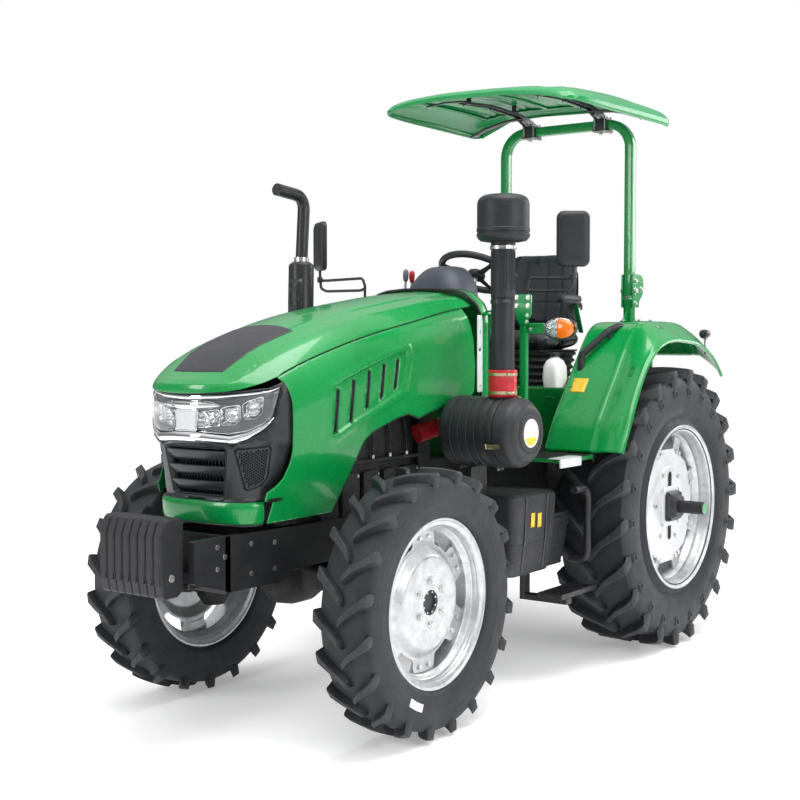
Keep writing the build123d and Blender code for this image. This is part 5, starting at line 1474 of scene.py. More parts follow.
# ------------------------------------------------------------------ roof
cn_lo, cn_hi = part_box("canopy")
CXR, CXF = cn_lo.x * 1000, cn_hi.x * 1000
CT = [(-402, 500, 2659, 2734), (-440, 548, 2654, 2748), (-520, 566, 2650, 2762), (-750, 576, 2646, 2784), (-1000, 586, 2646, 2796), (-1200, 596, 2646, 2794), (-1335, 600, 2646, 2786), (-1385, 570, 2654, 2778)]
CT = [(CXF + (r[0] + 402) * (CXF - CXR) / 983.0,) + r[1:] for r in CT]


def lean(p, a=math.radians(-1.8)):
    x, y, z = p
    dz = z - 2690
    return (x, y * math.cos(a) - dz * math.sin(a), 2690 + y * math.sin(a) + dz * math.cos(a))


def roof_point(x, u, drop=0.0):
    w, ze, zc = (float(spline([r[0] for r in CT], [r[k] for r in CT], x)[0]) for k in (1, 2, 3))
    g = float(spline([0, 0.30, 0.66, 0.93, 1.0], [1.0, 0.98, 0.84, 0.52, 0.22], abs(u))[0])
    z = ze + (zc - ze) * g
    y = u * (w - 1)
    end = max(0.0, min(1.0, (x - (CXR + 60)) / 70)) * max(0.0, min(1.0, ((CXF - 90) - x) / 80))
    for yc, hw, hgt in ((0, 9, 2.5), (195, 16, 5.5), (250, 16, 5.5), (392, 15, 6.0), (446, 15, 6.0)):
        t = max(0.0, min(1.0, (hw + 5 - abs(abs(y) - yc)) / 9))
        z += hgt * t * t * (3 - 2 * t) * end
    # cross beads between the ribs
    for xc in (-620, -800, -980, -1160):
        t = max(0.0, min(1.0, (14 - abs(x - xc)) / 8))
        if 265 < abs(y) < 378:
            z += 3.0 * t * t * (3 - 2 * t)
    return (x, y, z - drop - 6.5 * max(0.0, min(1.0, g * 1.6 - 0.4)))


us = sorted(set(list(np.round(np.linspace(-1, 1, 81), 4))))
xs = [CXR, CXR + 2, CXR + 6, CXR + 14] + list(np.linspace(CXR + 28, CXF - 30, 58)) + [CXF - 15, CXF - 6, CXF - 2, CXF]
arch_r = lambda u: float(np.interp(abs(u), [0, 0.3, 0.66, 0.9, 1.0], [96, 96, 84, 24, 0]))
arch_f = lambda u: float(np.interp(abs(u), [0, 0.3, 0.66, 0.9, 1.0], [42, 42, 32, 14, 0]))
rows = []
for x in xs:
    rows.append([])
grid_rows = []
for i, x in enumerate(xs):
    fall = 0.0
    e = min(x - CXR, CXF - x)
    if e < 30:
        fall = 9 * (1 - e / 30) ** 2.2
    row = []
    w, ze, zc = (float(spline([r[0] for r in CT], [r[k] for r in CT], x)[0]) for k in (1, 2, 3))
    for s0 in (0.0, 0.55):
        row.append((x, -(w - 1.5 + (0.5 - s0)), ze + (zc - ze) * 0.22 * s0))
    for u in us:
        p = roof_point(x, u, fall)
        row.append(p)
    for s0 in (0.55, 0.0):
        row.append((x, (w - 1.5 + (0.5 - s0)), ze + (zc - ze) * 0.22 * s0))
    grid_rows.append(row)
# front and rear faces down to the arched lips
def face_row(x, fn, share):
    w, ze, zc = (float(spline([r[0] for r in CT], [r[k] for r in CT], x)[0]) for k in (1, 2, 3))
    top = grid_rows[0] if x == CXR else grid_rows[-1]
    out = []
    uu = [-1, -1] + us + [1, 1]
    for p, u in zip(top, uu):
        zb = ze + fn(u)
        zb = min(zb, p[2] - 1)
        out.append((p[0], p[1], p[2] + (zb - p[2]) * share))
    return out


full = [face_row(CXR, arch_r, 1.0), face_row(CXR, arch_r, 0.5)] + grid_rows + [face_row(CXF, arch_f, 0.5), face_row(CXF, arch_f, 1.0)]
full = [[lean(p) for p in r] for r in full]
k = Mesh()
v, f = loft(full)
k.add(v, orient(v, f, lambda c: (0, 0, 1)), 0)
k.obj("roof_shell", [M["green_roof"]], "rops_upper", "hood_green", ("canopy",), weld=0.05, angle=30, solid=6)
# rolled bead along the lower edge
k = Mesh()
edge = [full[i][0] for i in range(2, len(full) - 2)]
edge2 = [full[i][-1] for i in range(2, len(full) - 2)]
loop_pts = edge + [full[-1][j] for j in range(0, len(full[-1]), 3)] + list(reversed(edge2)) + [full[0][j] for j in range(len(full[0]) - 1, -1, -3)]
k.add(*sweep([(p[0] * 0.9985 - 1.2, p[1] * 0.993, p[2] + 2) for p in loop_pts], circle2(4.5, 8), cap=False), mat=0)
k.obj("roof_bead", [M["green_roof"]], "rops_upper", "hood_green", angle=50)
# pressed stiffeners and two pale vent slots under the shell
k = Mesh()
for x in (CXR + 96, CXF - 120):
    k.add(*sweep([lean(roof_point(x, u, 11)) for u in np.linspace(-0.80, 0.80, 50)], roundrect2(30, 7, 3, 3)), mat=0)
for s_ in (1, -1):
    for u0 in (0.16, 0.80):
        k.add(*sweep([lean(roof_point(x, s_ * u0, 11)) for x in np.linspace(CXR + 96, CXF - 120, 40)], roundrect2(26, 7, 3, 3)), mat=0)
k.obj("roof_ribs_under", [M["green_roof"]], "rops_upper", "hood_green", angle=40)
k = Mesh()
for xa, u0, u1 in ((CXF - 190, -0.62, -0.30), (CXF - 330, 0.36, 0.66)):
    k.add(*sweep([lean(roof_point(xa, u, 9)) for u in np.linspace(u0, u1, 14)], roundrect2(13, 4, 1.9, 3)), mat=0)
k.obj("roof_slots", [M["sticker_white"]], "rops_upper", "hood_green", angle=40)

# ------------------------------------------------------------------ roll bar
hp_lo, hp_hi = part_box("rops_hoop")
RX = (hp_lo.x + hp_hi.x) * 500
RY = hp_hi.y * 1000 - 24.7
RT = hp_hi.z * 1000 - 24.7
PIV = hp_lo.z * 1000 + 25
k = Mesh()
pts = path_points([(RX, -RY, PIV - 24.5), (RX, -RY, RT), (RX, RY, RT), (RX, RY, PIV - 24.5)], 130, 14)
k.add(*sweep(pts, roundrect2(49.2, 49.2, 9, 5)), mat=0)
# weld seams half way up the legs
for s_ in (1, -1):
    for z in (PIV + 118,):
        k.add(*sweep([(RX, s_ * RY, z - 2), (RX, s_ * RY, z + 2)], roundrect2(50.2, 50.2, 9.5, 4)), mat=0)
k.obj("hoop_tube", [M["green"]], "rops_upper", "hood_green", ("rops_hoop",), angle=30)
k = Mesh()
for s_ in (1, -1):
    out = fillet2([(RX + 28, 1691), (RX + 28, 1867), (RX - 62, 1867), (RX - 96, 1848), (RX - 102, 1790), (RX - 90, 1758), (RX - 54, 1730), (RX - 44, 1691)], [6, 10, 14, 14, 14, 12, 12, 6], 4)
    for y0, y1 in ((25, 34), (-34, -25)):
        k.add(*prism(out, s_ * RY + y0, s_ * RY + y1, "y"), mat=0)
    k.add(*sweep([(RX, s_ * RY, 840), (RX, s_ * RY, 1735)], roundrect2(50, 50, 9, 5)), mat=0)
    k.add(*prism(rect(RX - 60, RX + 60, s_ * RY - 60, s_ * RY + 60, 10), 824, 839, "z"), mat=0)
    # foot plate and gusset where the post meets the fender
    if s_ > 0 or True:
        k.add(*prism(rect(RX - 84, RX + 84, s_ * (RY + 48) - 66, s_ * (RY + 48) + 60, 8), 1612.5, 1620, "z"), mat=0)
        k.add(*prism([(RX - 78, 1620), (RX - 25, 1620), (RX - 25, 1684)], s_ * RY - 4, s_ * RY + 4, "y"), mat=0)
        k.add(*prism([(RX + 25, 1620), (RX + 78, 1620), (RX + 25, 1684)], s_ * RY - 4, s_ * RY + 4, "y"), mat=0)
k.obj("post_tubes", [M["green"]], "chassis", "hood_green", ("rops_posts",), bevel=1.2, angle=35)
k = Mesh()
for s_ in (1, -1):
    for bx, bz in ((RX, PIV), (RX - 2, 1824 + 8), (RX, 1712), (RX - 65, 1790)):
        for q in (1, -1):
            if abs(bz - PIV) < 1:
                k.add(*hexnut((bx, s_ * RY + q * 34, bz), (0, q, 0), 26, 13, True, 0.3), mat=0, smooth=False)
            else:
                k.add(*hexnut((bx, s_ * RY + q * 34, bz), (0, q, 0), 19, 10, True, 0.2), mat=0, smooth=False)
    for bx, by in ((-68, -50), (-68, 44), (68, -50), (68, 44)):
        k.add(*hexnut((RX + bx, s_ * (RY + 48) + by, 1620), (0, 0, 1), 17, 8, True), mat=0, smooth=False)
k.obj("post_bolts", [M["steel"]], "chassis", "steel", angle=30)

# black roof brackets on the cross tube
BT = RT + 25
k = Mesh()
for s_ in (1, -1):
    yb = s_ * 218
    out = fillet2([(RX - 52, BT), (RX - 52, BT + 10), (-1290, BT + 40), (-1180, BT + 57), (-900, BT + 65), (-640, BT + 45), (-640, BT + 34), (-900, BT + 52), (-1180, BT + 42), (-1288, BT)], [2, 4, 30, 60, 120, 3, 3, 100, 50, 4], 5)
    k.add(*prism(out, yb - 21, yb - 15, "y"), mat=0)
    k.add(*prism(out, yb + 15, yb + 21, "y"), mat=0)
    top = [(x, z) for x, z in out]
    rows = []
    for x in np.linspace(-1290, -642, 26):
        zt = float(np.interp(x, [-1290, -1180, -900, -640], [BT + 39.5, BT + 56.5, BT + 64.5, BT + 44.5]))
        rows.append([(x, yb - 20, zt - 3), (x, yb - 20, zt + 0.5), (x, yb + 20, zt + 0.5), (x, yb + 20, zt - 3)])
    k.add(*loft(rows, True, True), mat=0)
    # saddle clamp over the tube and its lower plate
    cl = fillet2([(RX - 33, RT - 31), (RX - 33, BT + 8), (RX + 33, BT + 8), (RX + 33, RT - 31), (RX + 26, RT - 31), (RX + 26, BT + 1), (RX - 26, BT + 1), (RX - 26, RT - 31)], [1, 5, 5, 1, 1, 1, 1, 1], 3)
    k.add(*prism(cl, yb - 40, yb + 40, "y"), mat=0)
    k.add(*prism(rect(RX - 44, RX + 44, yb - 42, yb + 42, 6), RT - 34, RT - 27, "z"), mat=0)
    # side arm with its foot
    arm_p = [(-1220, s_ * 200, BT + 34), (-1220, s_ * 300, BT + 30), (-1220, s_ * 440, BT - 2), (-1220, s_ * 536, BT - 38)]
    k.add(*sweep(path_points(arm_p, 60, 5), roundrect2(40, 9, 2, 2), up=(0, 0, 1)), mat=0)
    k.add(*cyl((-1150, yb, BT + 50), (-1150, yb, 2781 - s_ * 6), 13), mat=0)
    k.add(*cyl((-700, yb, BT + 40), (-700, yb, 2768 - s_ * 6), 13), mat=0)
    k.add(*sweep(path_points([(-660, yb, BT + 48), (-600, yb + s_ * 6, BT + 40), (-560, yb + s_ * 60, BT + 34), (-545, yb + s_ * 150, BT + 22)], 30, 5), roundrect2(30, 8, 2, 2), up=(0, 0, 1)), mat=0)
k.obj("roof_brackets", [M["frame"]], "rops_upper", "frame_black", ("canopy_frame",), angle=32)
k = Mesh()
for s_ in (1, -1):
    yb = s_ * 218
    for bx in (-36, 36):
        for by in (-30, 30):
            k.add(*hexnut((RX + bx, yb + by, RT - 34), (0, 0, -1), 16, 9, True), mat=0, smooth=False)
            k.add(*cyl((RX + bx, yb + by, RT - 34), (RX + bx, yb + by, BT + 20), 5, seg=14), mat=0)
    for bx in (-1150, -960, -700):
        zt = float(np.interp(bx, [-1290, -1180, -900, -640], [BT + 40, BT + 57, BT + 65, BT + 45]))
        k.add(*hexnut((bx + 22, yb - 21, zt - 12), (0, -1, 0), 13, 6, True), mat=0, smooth=False)
    k.add(*hexnut((-1220, s_ * 500, BT - 30), (0, 0, -1), 13, 7, True), mat=0, smooth=False)
    k.add(*hexnut((-545, yb + s_ * 135, BT + 18), (0, 0, -1), 13, 7, True), mat=0, smooth=False)
k.obj("roof_bolts", [M["steel"]], "rops_upper", "steel", angle=30)

# ------------------------------------------------------------------ fenders
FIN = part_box("fender_left")[0].y * 1000
CR = [(-359, 1008), (-392, 1070), (-425, 1128), (-505, 1232), (-590, 1335), (-660, 1424), (-730, 1508), (-800, 1574), (-860, 1602), (-930, 1611.5), (-1060, 1611.5), (-1212, 1608), (-1310, 1590), (-1400, 1556), (-1470, 1502), (-1528, 1440)]
ED = [(-367, 1010), (-398, 1062), (-430, 1112), (-490, 1216), (-558, 1322), (-616, 1392), (-680, 1446), (-748, 1488), (-826, 1512), (-914, 1524), (-1050, 1520), (-1196, 1506), (-1300, 1478), (-1396, 1438), (-1462, 1392), (-1522, 1337)]


def curve2(pts, m):
    p = np.array(pts, float)
    d = np.r_[0, np.cumsum(np.linalg.norm(np.diff(p, axis=0), axis=1))]
    tg = np.gradient(p, d, axis=0)
    out = []
    for i in range(m):
        q = (len(p) - 1) * i / (m - 1)
        k_ = min(int(q), len(p) - 2)
        t = q - k_
        L_ = d[k_ + 1] - d[k_]
        out.append((2 * t**3 - 3 * t**2 + 1) * p[k_] + (t**3 - 2 * t**2 + t) * tg[k_] * L_ + (-2 * t**3 + 3 * t**2) * p[k_ + 1] + (t**3 - t**2) * tg[k_ + 1] * L_)
    return np.array(out)


NF = 91
CC_, EE_ = curve2(CR, NF), curve2(ED, NF)
tn = np.gradient(CC_, axis=0)
tn = tn / np.linalg.norm(tn, axis=1)[:, None]
NN = np.stack([-tn[:, 1], tn[:, 0]], 1)
NN = np.where((NN[:, 1] < 0)[:, None], -NN, NN)        # outward: upwards


def fender_pt(i, y):
    """Point of the outer skin at station i, distance y from the middle plane."""
    i0 = int(min(max(i, 0), NF - 1))
    i1 = min(i0 + 1, NF - 1)
    t = i - i0
    C_ = CC_[i0] * (1 - t) + CC_[i1] * t
    E_ = EE_[i0] * (1 - t) + EE_[i1] * t
    N_ = NN[i0] * (1 - t) + NN[i1] * t
    if y <= 700:
        h = 0.0
        h += 3.5 * math.exp(-((y - 664) / 9) ** 2)
        edge = min(1.0, max(0.0, (y - FIN) / 12))
        h -= 5 * (1 - edge) ** 2
        return (C_[0] + N_[0] * (h - 1), y, C_[1] + N_[1] * (h - 1))
    s = (y - 700) / 130
    bulge = 9 * math.sin(math.pi * min(1, s)) + (3.0 * math.exp(-((s - 0.86) / 0.05) ** 2))
    P = C_ + (E_ - C_) * s
    return (P[0] + N_[0] * (bulge - 1), y, P[1] + N_[1] * (bulge - 1))


ys_f = [FIN, FIN + 4, FIN + 12, 470, 520, 570, 620, 646, 655, 664, 673, 684, 694, 700, 706, 714, 726, 742, 760, 778, 794, 804, 812, 820, 826, 830]
for s_, nm in ((1, "left"), (-1, "right")):
    k = Mesh()
    rows = []
    for i in range(NF):
        row = [fender_pt(i, y) for y in ys_f]
        E_, N_ = EE_[i], NN[i]
        for dy, dn in ((834, -1), (835, -5), (833, -10), (827, -13), (821, -11)):
            row.append((E_[0] + N_[0] * dn, dy - 0.3, E_[1] + N_[1] * dn))
        rows.append(row)
    v, f = loft(rows)
    k.add(v, orient(v, f, lambda c: (0.2, 0.3, 1)), 0)
    kk = k if s_ > 0 else k.mirrored()
    kk.obj(f"fender_{nm}_skin", [M["green"]], "chassis", "hood_green", (f"fender_{nm}",), weld=0.05, angle=30, solid=3)
    # inner wall with pressed ribs, in the darker green copy of the paint as painted shade
    wall = [tuple(p) for p in CC_[::2]] + [(-1500, 1100), (-1440, 1003), (-900, 1003)]
    rb = [fillet2([(-560, 1040), (-1380, 1040), (-1400, 1200), (-1330, 1420), (-1180, 1520), (-900, 1530), (-780, 1480), (-640, 1300)], 40, 5)]
    rin = shrink(rb[0], 12)
    v, f = sheet(wall, lambda a, b, d: (a + 0.6, FIN + 2 - d, b - 1.2), 45, [rb[0], rin], (), lambda p: -9.0 if (inside(p, rin) or seg_dist(p, rin) < 0.6) else 0.0, 30)
    k = Mesh().add(v, orient(v, f, lambda c: (0, -1, 0)), 0)
    kk = k if s_ > 0 else k.mirrored()
    kk.obj(f"fender_wall_{nm}", [M["green_deep"]], "chassis", "hood_green", weld=0.05, angle=25, solid=3, solid_off=0)
    # two small pressed pads on the flare, and a yellow label on the left fender
    # the pads take the darker green copy of the paint: painted shade
    k = Mesh()
    for ic, w_, yc, hy in ((27, 1.6, 758, 12), (53, 1.9, 752, 12)):
        rows = []
        for d, sc in ((-3, 1.15), (1.6, 1.0), (1.6, 0.62), (-0.8, 0.5), (-0.8, 0.05)):
            ring = []
            for a, b in fillet2([(-1, -1), (1, -1), (1, 1), (-1, 1)], 0.25, 3):
                p = fender_pt(ic + a * w_ * sc, yc + b * hy * sc)
                n_ = NN[ic]
                ring.append((p[0] + n_[0] * d, p[1] + d * 0.4, p[2] + n_[1] * d))
            rows.append(ring)
        v, f = loft(rows, True, False)
        k.add(v, orient(v, f, lambda c: (0.3, 0.5, 1)), 0)
    kk = k if s_ > 0 else k.mirrored()
    kk.obj(f"fender_pads_{nm}", [M["green_deep"]], "chassis", "hood_green", weld=0.05, angle=28)
    if s_ > 0:
        k = Mesh()
        rows = []
        for a in np.linspace(20.4, 24.2, 10):
            rows.append([tuple(np.array(fender_pt(a, y)) + np.array([NN[22][0], 0, NN[22][1]]) * 1.6) for y in np.linspace(462, 540, 6)])
        v, f = loft(rows)
        k.add(v, orient(v, f, lambda c: (0.5, 0, 1)), 0)
        k.obj("fender_label", [M["sticker_yellow"]], "chassis", "hood_green", weld=0.05, angle=40, solid=1.2)
    # bolts along the inner flange
    k = Mesh()
    for i in (22, 34, 62, 72):
        p = fender_pt(i, FIN + 26)
        k.add(*hexnut((p[0], s_ * p[1], p[2]), (NN[i][0], 0, NN[i][1]), 13, 5, True), mat=0, smooth=False)
    k.obj(f"fender_bolts_{nm}", [M["green"]], "chassis", "hood_green", angle=30)
# ------------------------------------------------------------------ cowl, dash, steering wheel
k = Mesh()
cow = [(-338, 987), (-338, 1600), (-334, 1640), (-310, 1690), (-250, 1738), (-190, 1753), (-100, 1760), (0, 1762), (100, 1760), (190, 1753), (250, 1738), (310, 1690), (334, 1640), (338, 1600), (338, 987)]
cow = fillet2(cow, [0, 60, 60, 60, 60, 80, 0, 0, 0, 80, 60, 60, 60, 60, 0], 4, closed=False)
n_ = len(cow)
rows = []
for x, ins in ((-14, 8), (-13, 1.5), (-9, 0.5), (20, 0.5), (38, 2), (42, 6), (42, 12)):
    cx, cz = 0, 1350
    rows.append([(x, y - (ins if y > 0 else -ins) * (1 if abs(y) > 240 else abs(y) / 240), z - (ins if z > 1700 else 0)) for y, z in cow])
v, f = loft(rows)
k.add(v, orient(v, f, lambda c: (0, c.y, max(0, c.z - 1.4) * 2 + 0.01)), 0)
# face behind the hood
# the face takes the darker green copy of the paint: painted shade
v, f = prism(cow, -12, -9, "x")
k.add(v, f, 1)
k.obj("cowl_hoop", [M["green"], M["green_deep"]], "chassis", "hood_green", ("cowl",), weld=0.05, angle=30)
k = Mesh()
k.add(*sweep([(45, y * 0.985, z - 4) for y, z in cow], roundrect2(13, 9, 4, 3)), mat=0)
k.add(*sweep([(-15, y * 0.995, z - 2) for y, z in cow], roundrect2(9, 7, 3, 3)), mat=0)
k.obj("cowl_seal", [M["trim"]], "chassis", "black_plastic", angle=50)
# green brackets reaching out to the lamp posts, hinge arms
k = Mesh()
for s_ in (1, -1):
    k.add(*prism(fillet2([(0, s_ * 322), (40, s_ * 322), (40, s_ * 400), (26, s_ * 419), (0, s_ * 419)], [0, 0, 8, 8, 0], 3), 1634, 1641, "z"), mat=0)
    k.add(*prism(fillet2([(s_ * 330, 1641), (s_ * 418, 1641), (s_ * 418, 1662), (s_ * 330, 1655)], [0, 0, 5, 5], 3), 2, 7, "x"), mat=0)
    k.add(*prism(fillet2([(s_ * 352, 1634), (s_ * 412, 1634), (s_ * 400, 1545), (s_ * 368, 1545)], [0, 0, 8, 8], 3), 14, 20, "x"), mat=0)
    y0, y1 = sorted((s_ * 134, s_ * 150))
    k.add(*prism(fillet2([(-9, 1662), (-9, 1682), (68, 1682), (88, 1699), (105, 1690), (90, 1676), (72, 1662)], [2, 2, 8, 6, 7, 6, 8], 4), y0, y1, "y"), mat=0)
    k.add(*cyl((95, s_ * 134, 1690), (95, s_ * 189, 1690), 8), mat=1)
    for yy in (360, 392):
        k.add(*hexnut((20, s_ * yy, 1641), (0, 0, 1), 13, 6, True), mat=1, smooth=False)
k.obj("cowl_brackets", [M["green"], M["steel"]], "chassis", "hood_green", bevel=0.8, angle=35)

# dash: lofted housing with a slate-coloured upper cap
def dash_sec(z, grow=0.0):
    t = [(1400, -115, 200, 360, 60), (1560, -120, 214, 362, 66), (1660, -126, 226, 356, 74), (1720, -134, 230, 338, 82), (1770, -145, 236, 302, 88), (1810, -156, 226, 256, 86), (1842, -166, 200, 204, 78), (1862, -174, 158, 150, 60), (1872, -180, 100, 90, 40)]
    c, w, h, r = (float(spline([a[0] for a in t], [a[i] for a in t], z)[0]) for i in (1, 2, 3, 4))
    return [(c + p[0], p[1], z) for p in roundrect2(w + grow, h + grow, r, 8)]


k = Mesh()
zz = list(np.linspace(1402, 1700, 14)) + list(np.linspace(1712, 1742, 4))
k.add(*loft([dash_sec(z, -1.5) for z in zz], True, True), mat=0)
k.obj("dash_lower", [M["grey"]], "chassis", "grey_plastic", ("dashboard",), angle=35)
k = Mesh()
zz = [1744, 1747] + list(np.linspace(1755, 1860, 14)) + [1866, 1870.5]
rows = []
for i, z in enumerate(zz):
    g = 2.0 if i > 0 else -4
    rows.append(dash_sec(z, g if z < 1868 else -18))
k.add(*loft(rows, True, True), mat=0)
k.obj("dash_upper", [M["grey_dark"]], "chassis", "grey_plastic", angle=40)
k = Mesh()
k.add(*loft([dash_sec(1740, -3), dash_sec(1746, -3)], True, True), mat=0)
# instrument panel facing the seat: bezel, two gauges, switch row
def pan(y, u, d=0.0):
    """Panel plane tilted to the operator: y across, u up the panel."""
    t = math.radians(52)
    return (-262 + u * math.cos(t) - d * math.sin(t) * 1.0, y, 1742 + u * math.sin(t) + d * math.cos(t) * 0.6)
def plate_on(outl, d0, d1, fn, mat):
    n__ = len(outl)
    vv = [fn(a, b, d0) for a, b in outl] + [fn(a, b, d1) for a, b in outl]
    ff = [(i, (i + 1) % n__, n__ + (i + 1) % n__, n__ + i) for i in range(n__)] + [tuple(reversed(range(n__))), tuple(range(n__, 2 * n__))]
    return vv, ff
k.add(*plate_on(rect(-104, 104, -8, 112, 26), -6, 9, pan, 1), mat=0)
k.add(*plate_on(rect(-94, 94, 0, 104, 20), 9, 10, pan, 1), mat=1)
for yc in (-52, 52):
    ring = [[pan(yc + r * math.cos(t), 62 + r * math.sin(t), d) for r, d in ((33, 9), (36, 15), (40, 15), (42, 9))] for t in np.linspace(0, 2 * math.pi, 36, endpoint=False)]
    k.add(*loft(ring, True, False, True), mat=2)
    face = [(yc + 34 * math.cos(t), 62 + 34 * math.sin(t)) for t in np.linspace(0, 2 * math.pi, 36, endpoint=False)]
    k.add(*plate_on(face, 9.5, 10.8, pan, 1), mat=3)
    k.add(*plate_on([(yc - 1.2, 62), (yc + 1.2, 62), (yc + 18, 84), (yc + 17, 86)], 10.8, 12, pan, 1), mat=4)
    k.add(*plate_on([(yc + 5 * math.cos(t), 62 + 5 * math.sin(t)) for t in np.linspace(0, 2 * math.pi, 16, endpoint=False)], 10.8, 14, pan, 1), mat=1)
for i, yc in enumerate((-72, -44, -16, 12, 40, 68)):
    k.add(*plate_on(rect(yc - 9, yc + 9, 4, 20, 3), 9.5, 15, pan, 1), mat=0 if i % 2 else 1)
k.obj("dash_panel", [M["trim"], M["void"], M["chrome"], M["decal"], M["knob_red"]], "chassis", "black_plastic", weld=0.02, angle=35)

# steering wheel about its tilted column
sw_lo, sw_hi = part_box("steering_wheel")
SWC = Vector((-440, 0, 1852))
TI = math.radians(28)
sa = Vector((-math.sin(TI), 0, math.cos(TI)))
sx = Vector((math.cos(TI), 0, math.sin(TI)))
sy = Vector((0, 1, 0))


def sw(r, t, h):
    return tuple(SWC + sx * (r * math.cos(t)) + sy * (r * math.sin(t)) + sa * h)


k = Mesh()
rows = []
for i in range(96):
    t = 2 * math.pi * i / 96
    grip = 0.7 * math.cos(24 * t)
    rows.append([sw(178 + (17.2 + grip * (1 if math.sin(q) < 0 else 0.0)) * math.cos(q), t, 17.0 * math.sin(q)) for q in np.linspace(0, 2 * math.pi, 14, endpoint=False)])
k.add(*loft(rows, True, False, True), mat=0)
for a in (60, 180, 300):
    a = math.radians(a)
    rows = []
    for r, w, h, th in ((34, 20, -14, 7), (60, 17, -13, 6), (110, 13, -9, 5.5), (150, 14, -4, 5.5), (168, 18, -1, 5)):
        sec = []
        for q in np.linspace(0, 2 * math.pi, 12, endpoint=False):
            s_w, s_h = w * math.cos(q), th * math.sin(q)
            sec.append(tuple(SWC + sx * (r * math.cos(a) - s_w * math.sin(a)) + sy * (r * math.sin(a) + s_w * math.cos(a)) + sa * (h + s_h)))
        rows.append(sec)
    k.add(*loft(rows, True, True), mat=0)
k.add(*lathe(tuple(SWC - sa * 33), tuple(sa), [(0, 30), (4, 40), (14, 45), (24, 45), (31, 42), (36, 34), (39, 20), (39.5, 1)], 40), mat=0)
k.add(*lathe(tuple(SWC + sa * 6.6), tuple(sa), [(0, 26), (1.6, 25), (2.2, 22), (2.2, 0.5)], 36), mat=1)
k.add(*cyl(tuple(SWC - sa * 225), tuple(SWC - sa * 33), 13.5), mat=2)
# turning knob on the rim
k.add(*lathe(sw(178, math.radians(128), 13), tuple(sa), [(0, 9), (8, 8), (12, 7), (16, 14), (26, 19), (36, 18), (42, 12), (44, 2)], 24), mat=0)
k.obj("steering_wheel_skin", [M["plastic"], M["decal"], M["steel"]], "steering_wheel", "black_plastic", ("steering_wheel",), angle=40)
k = Mesh()
k.add(*lathe(tuple(SWC - sa * 420), tuple(sa), [(0, 34), (110, 34), (112, 30), (150, 30), (152, 33), (186, 33), (190, 27), (194, 20), (194.4, 15)], 32), mat=0)
for i in range(7):
    k.add(*lathe(tuple(SWC - sa * (398 - i * 13)), tuple(sa), [(0, 33.5), (3, 40), (7, 40), (10, 33.5)], 32, False), mat=0)
# stalk switch
k.add(*pipe([tuple(SWC - sa * 262), tuple(SWC - sa * 250 + sy * 60), tuple(SWC - sa * 235 + sy * 120)], 5, 30, 12), mat=0)
k.add(*lathe(tuple(SWC - sa * 235 + sy * 112), (0, 1, 0.1), [(0, 8), (4, 11), (26, 11), (30, 7), (31, 1)], 20), mat=0)
k.obj("steering_column", [M["plastic"]], "chassis", "black_plastic", angle=40)

# levers right of the dash, with shaped knobs
k = Mesh()
for (x0, y0, z0, x1, y1, z1), mt in (((-140, -230, 1500, -160, -231, 1804), 1), ((-190, -224, 1500, -205, -226, 1800), 2)):
    k.add(*pipe([(x0, y0, z0), ((x0 + x1) / 2 + 6, (y0 + y1) / 2, (z0 + z1) / 2), (x1, y1, z1)], 6.5, 60, 14), mat=0)
    rows = []
    for t, r in ((0, 7), (6, 11), (18, 13.5), (36, 14.5), (50, 13), (57, 9), (60.4, 2)):
        rows.append((t, r))
    k.add(*lathe((x1, y1, z1), (x1 - x0, 0, z1 - z0), rows, 24), mat=mt)
    v, f = lathe((x0, y0, z0 - 0), (x1 - x0, 0, z1 - z0), [(0, 26), (5, 27), (10, 21), (16, 24), (22, 17), (28, 20), (34, 13), (44, 8)], 24)
    k.add(v, f, 3)
k.obj("levers", [M["steel"], M["grey"], M["knob_red"], M["plastic"]], "chassis", "black_plastic", ("controls",), angle=40)

# ------------------------------------------------------------------ platform
pl_lo, pl_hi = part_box("platform")
k = Mesh()
fl = fillet2([(-17, -335), (-17, 335), (-60, 699), (-349, 699), (-349, FIN - 7), (-699, FIN - 7), (-699, -FIN + 7), (-349, -FIN + 7), (-349, -699), (-60, -699)], [4, 4, 30, 20, 4, 4, 4, 4, 20, 30], 4)
# floor plate in the darker green copy of the paint: painted shade
k.add(*prism(fl, 986.5, 994, "z"), mat=0)
lipo = shrink(fl, 6)
dl = dense(fl, 40)
k.add(*sweep([(p[0] * 0.999, p[1] * 0.996, 990) for p in dl + dl[:1]], roundrect2(8, 17, 3, 2), cap=False), mat=0)
k.obj("platform_floor", [M["green_deep"]], "chassis", "hood_green", ("platform",), angle=30)
k = Mesh()
mat_o = shrink(fl, 22)
k.add(*prism(mat_o, 994, 998.2, "z"), mat=0)
for x in np.arange(-330, -60, 17.0):
    ext = 672 if x > -340 else 400
    k.add(*prism(rect(x, x + 8, -ext + abs(min(0, -x - 70)) * 0, ext, 2, 2), 998, 1000, "z"), mat=0)
for x in np.arange(-672, -352, 17.0):
    k.add(*prism(rect(x, x + 8, -FIN + 34, FIN - 34, 2, 2), 998, 1000, "z"), mat=0)
k.obj("platform_mat", [M["floor_mat"]], "chassis", "black_plastic", angle=30)
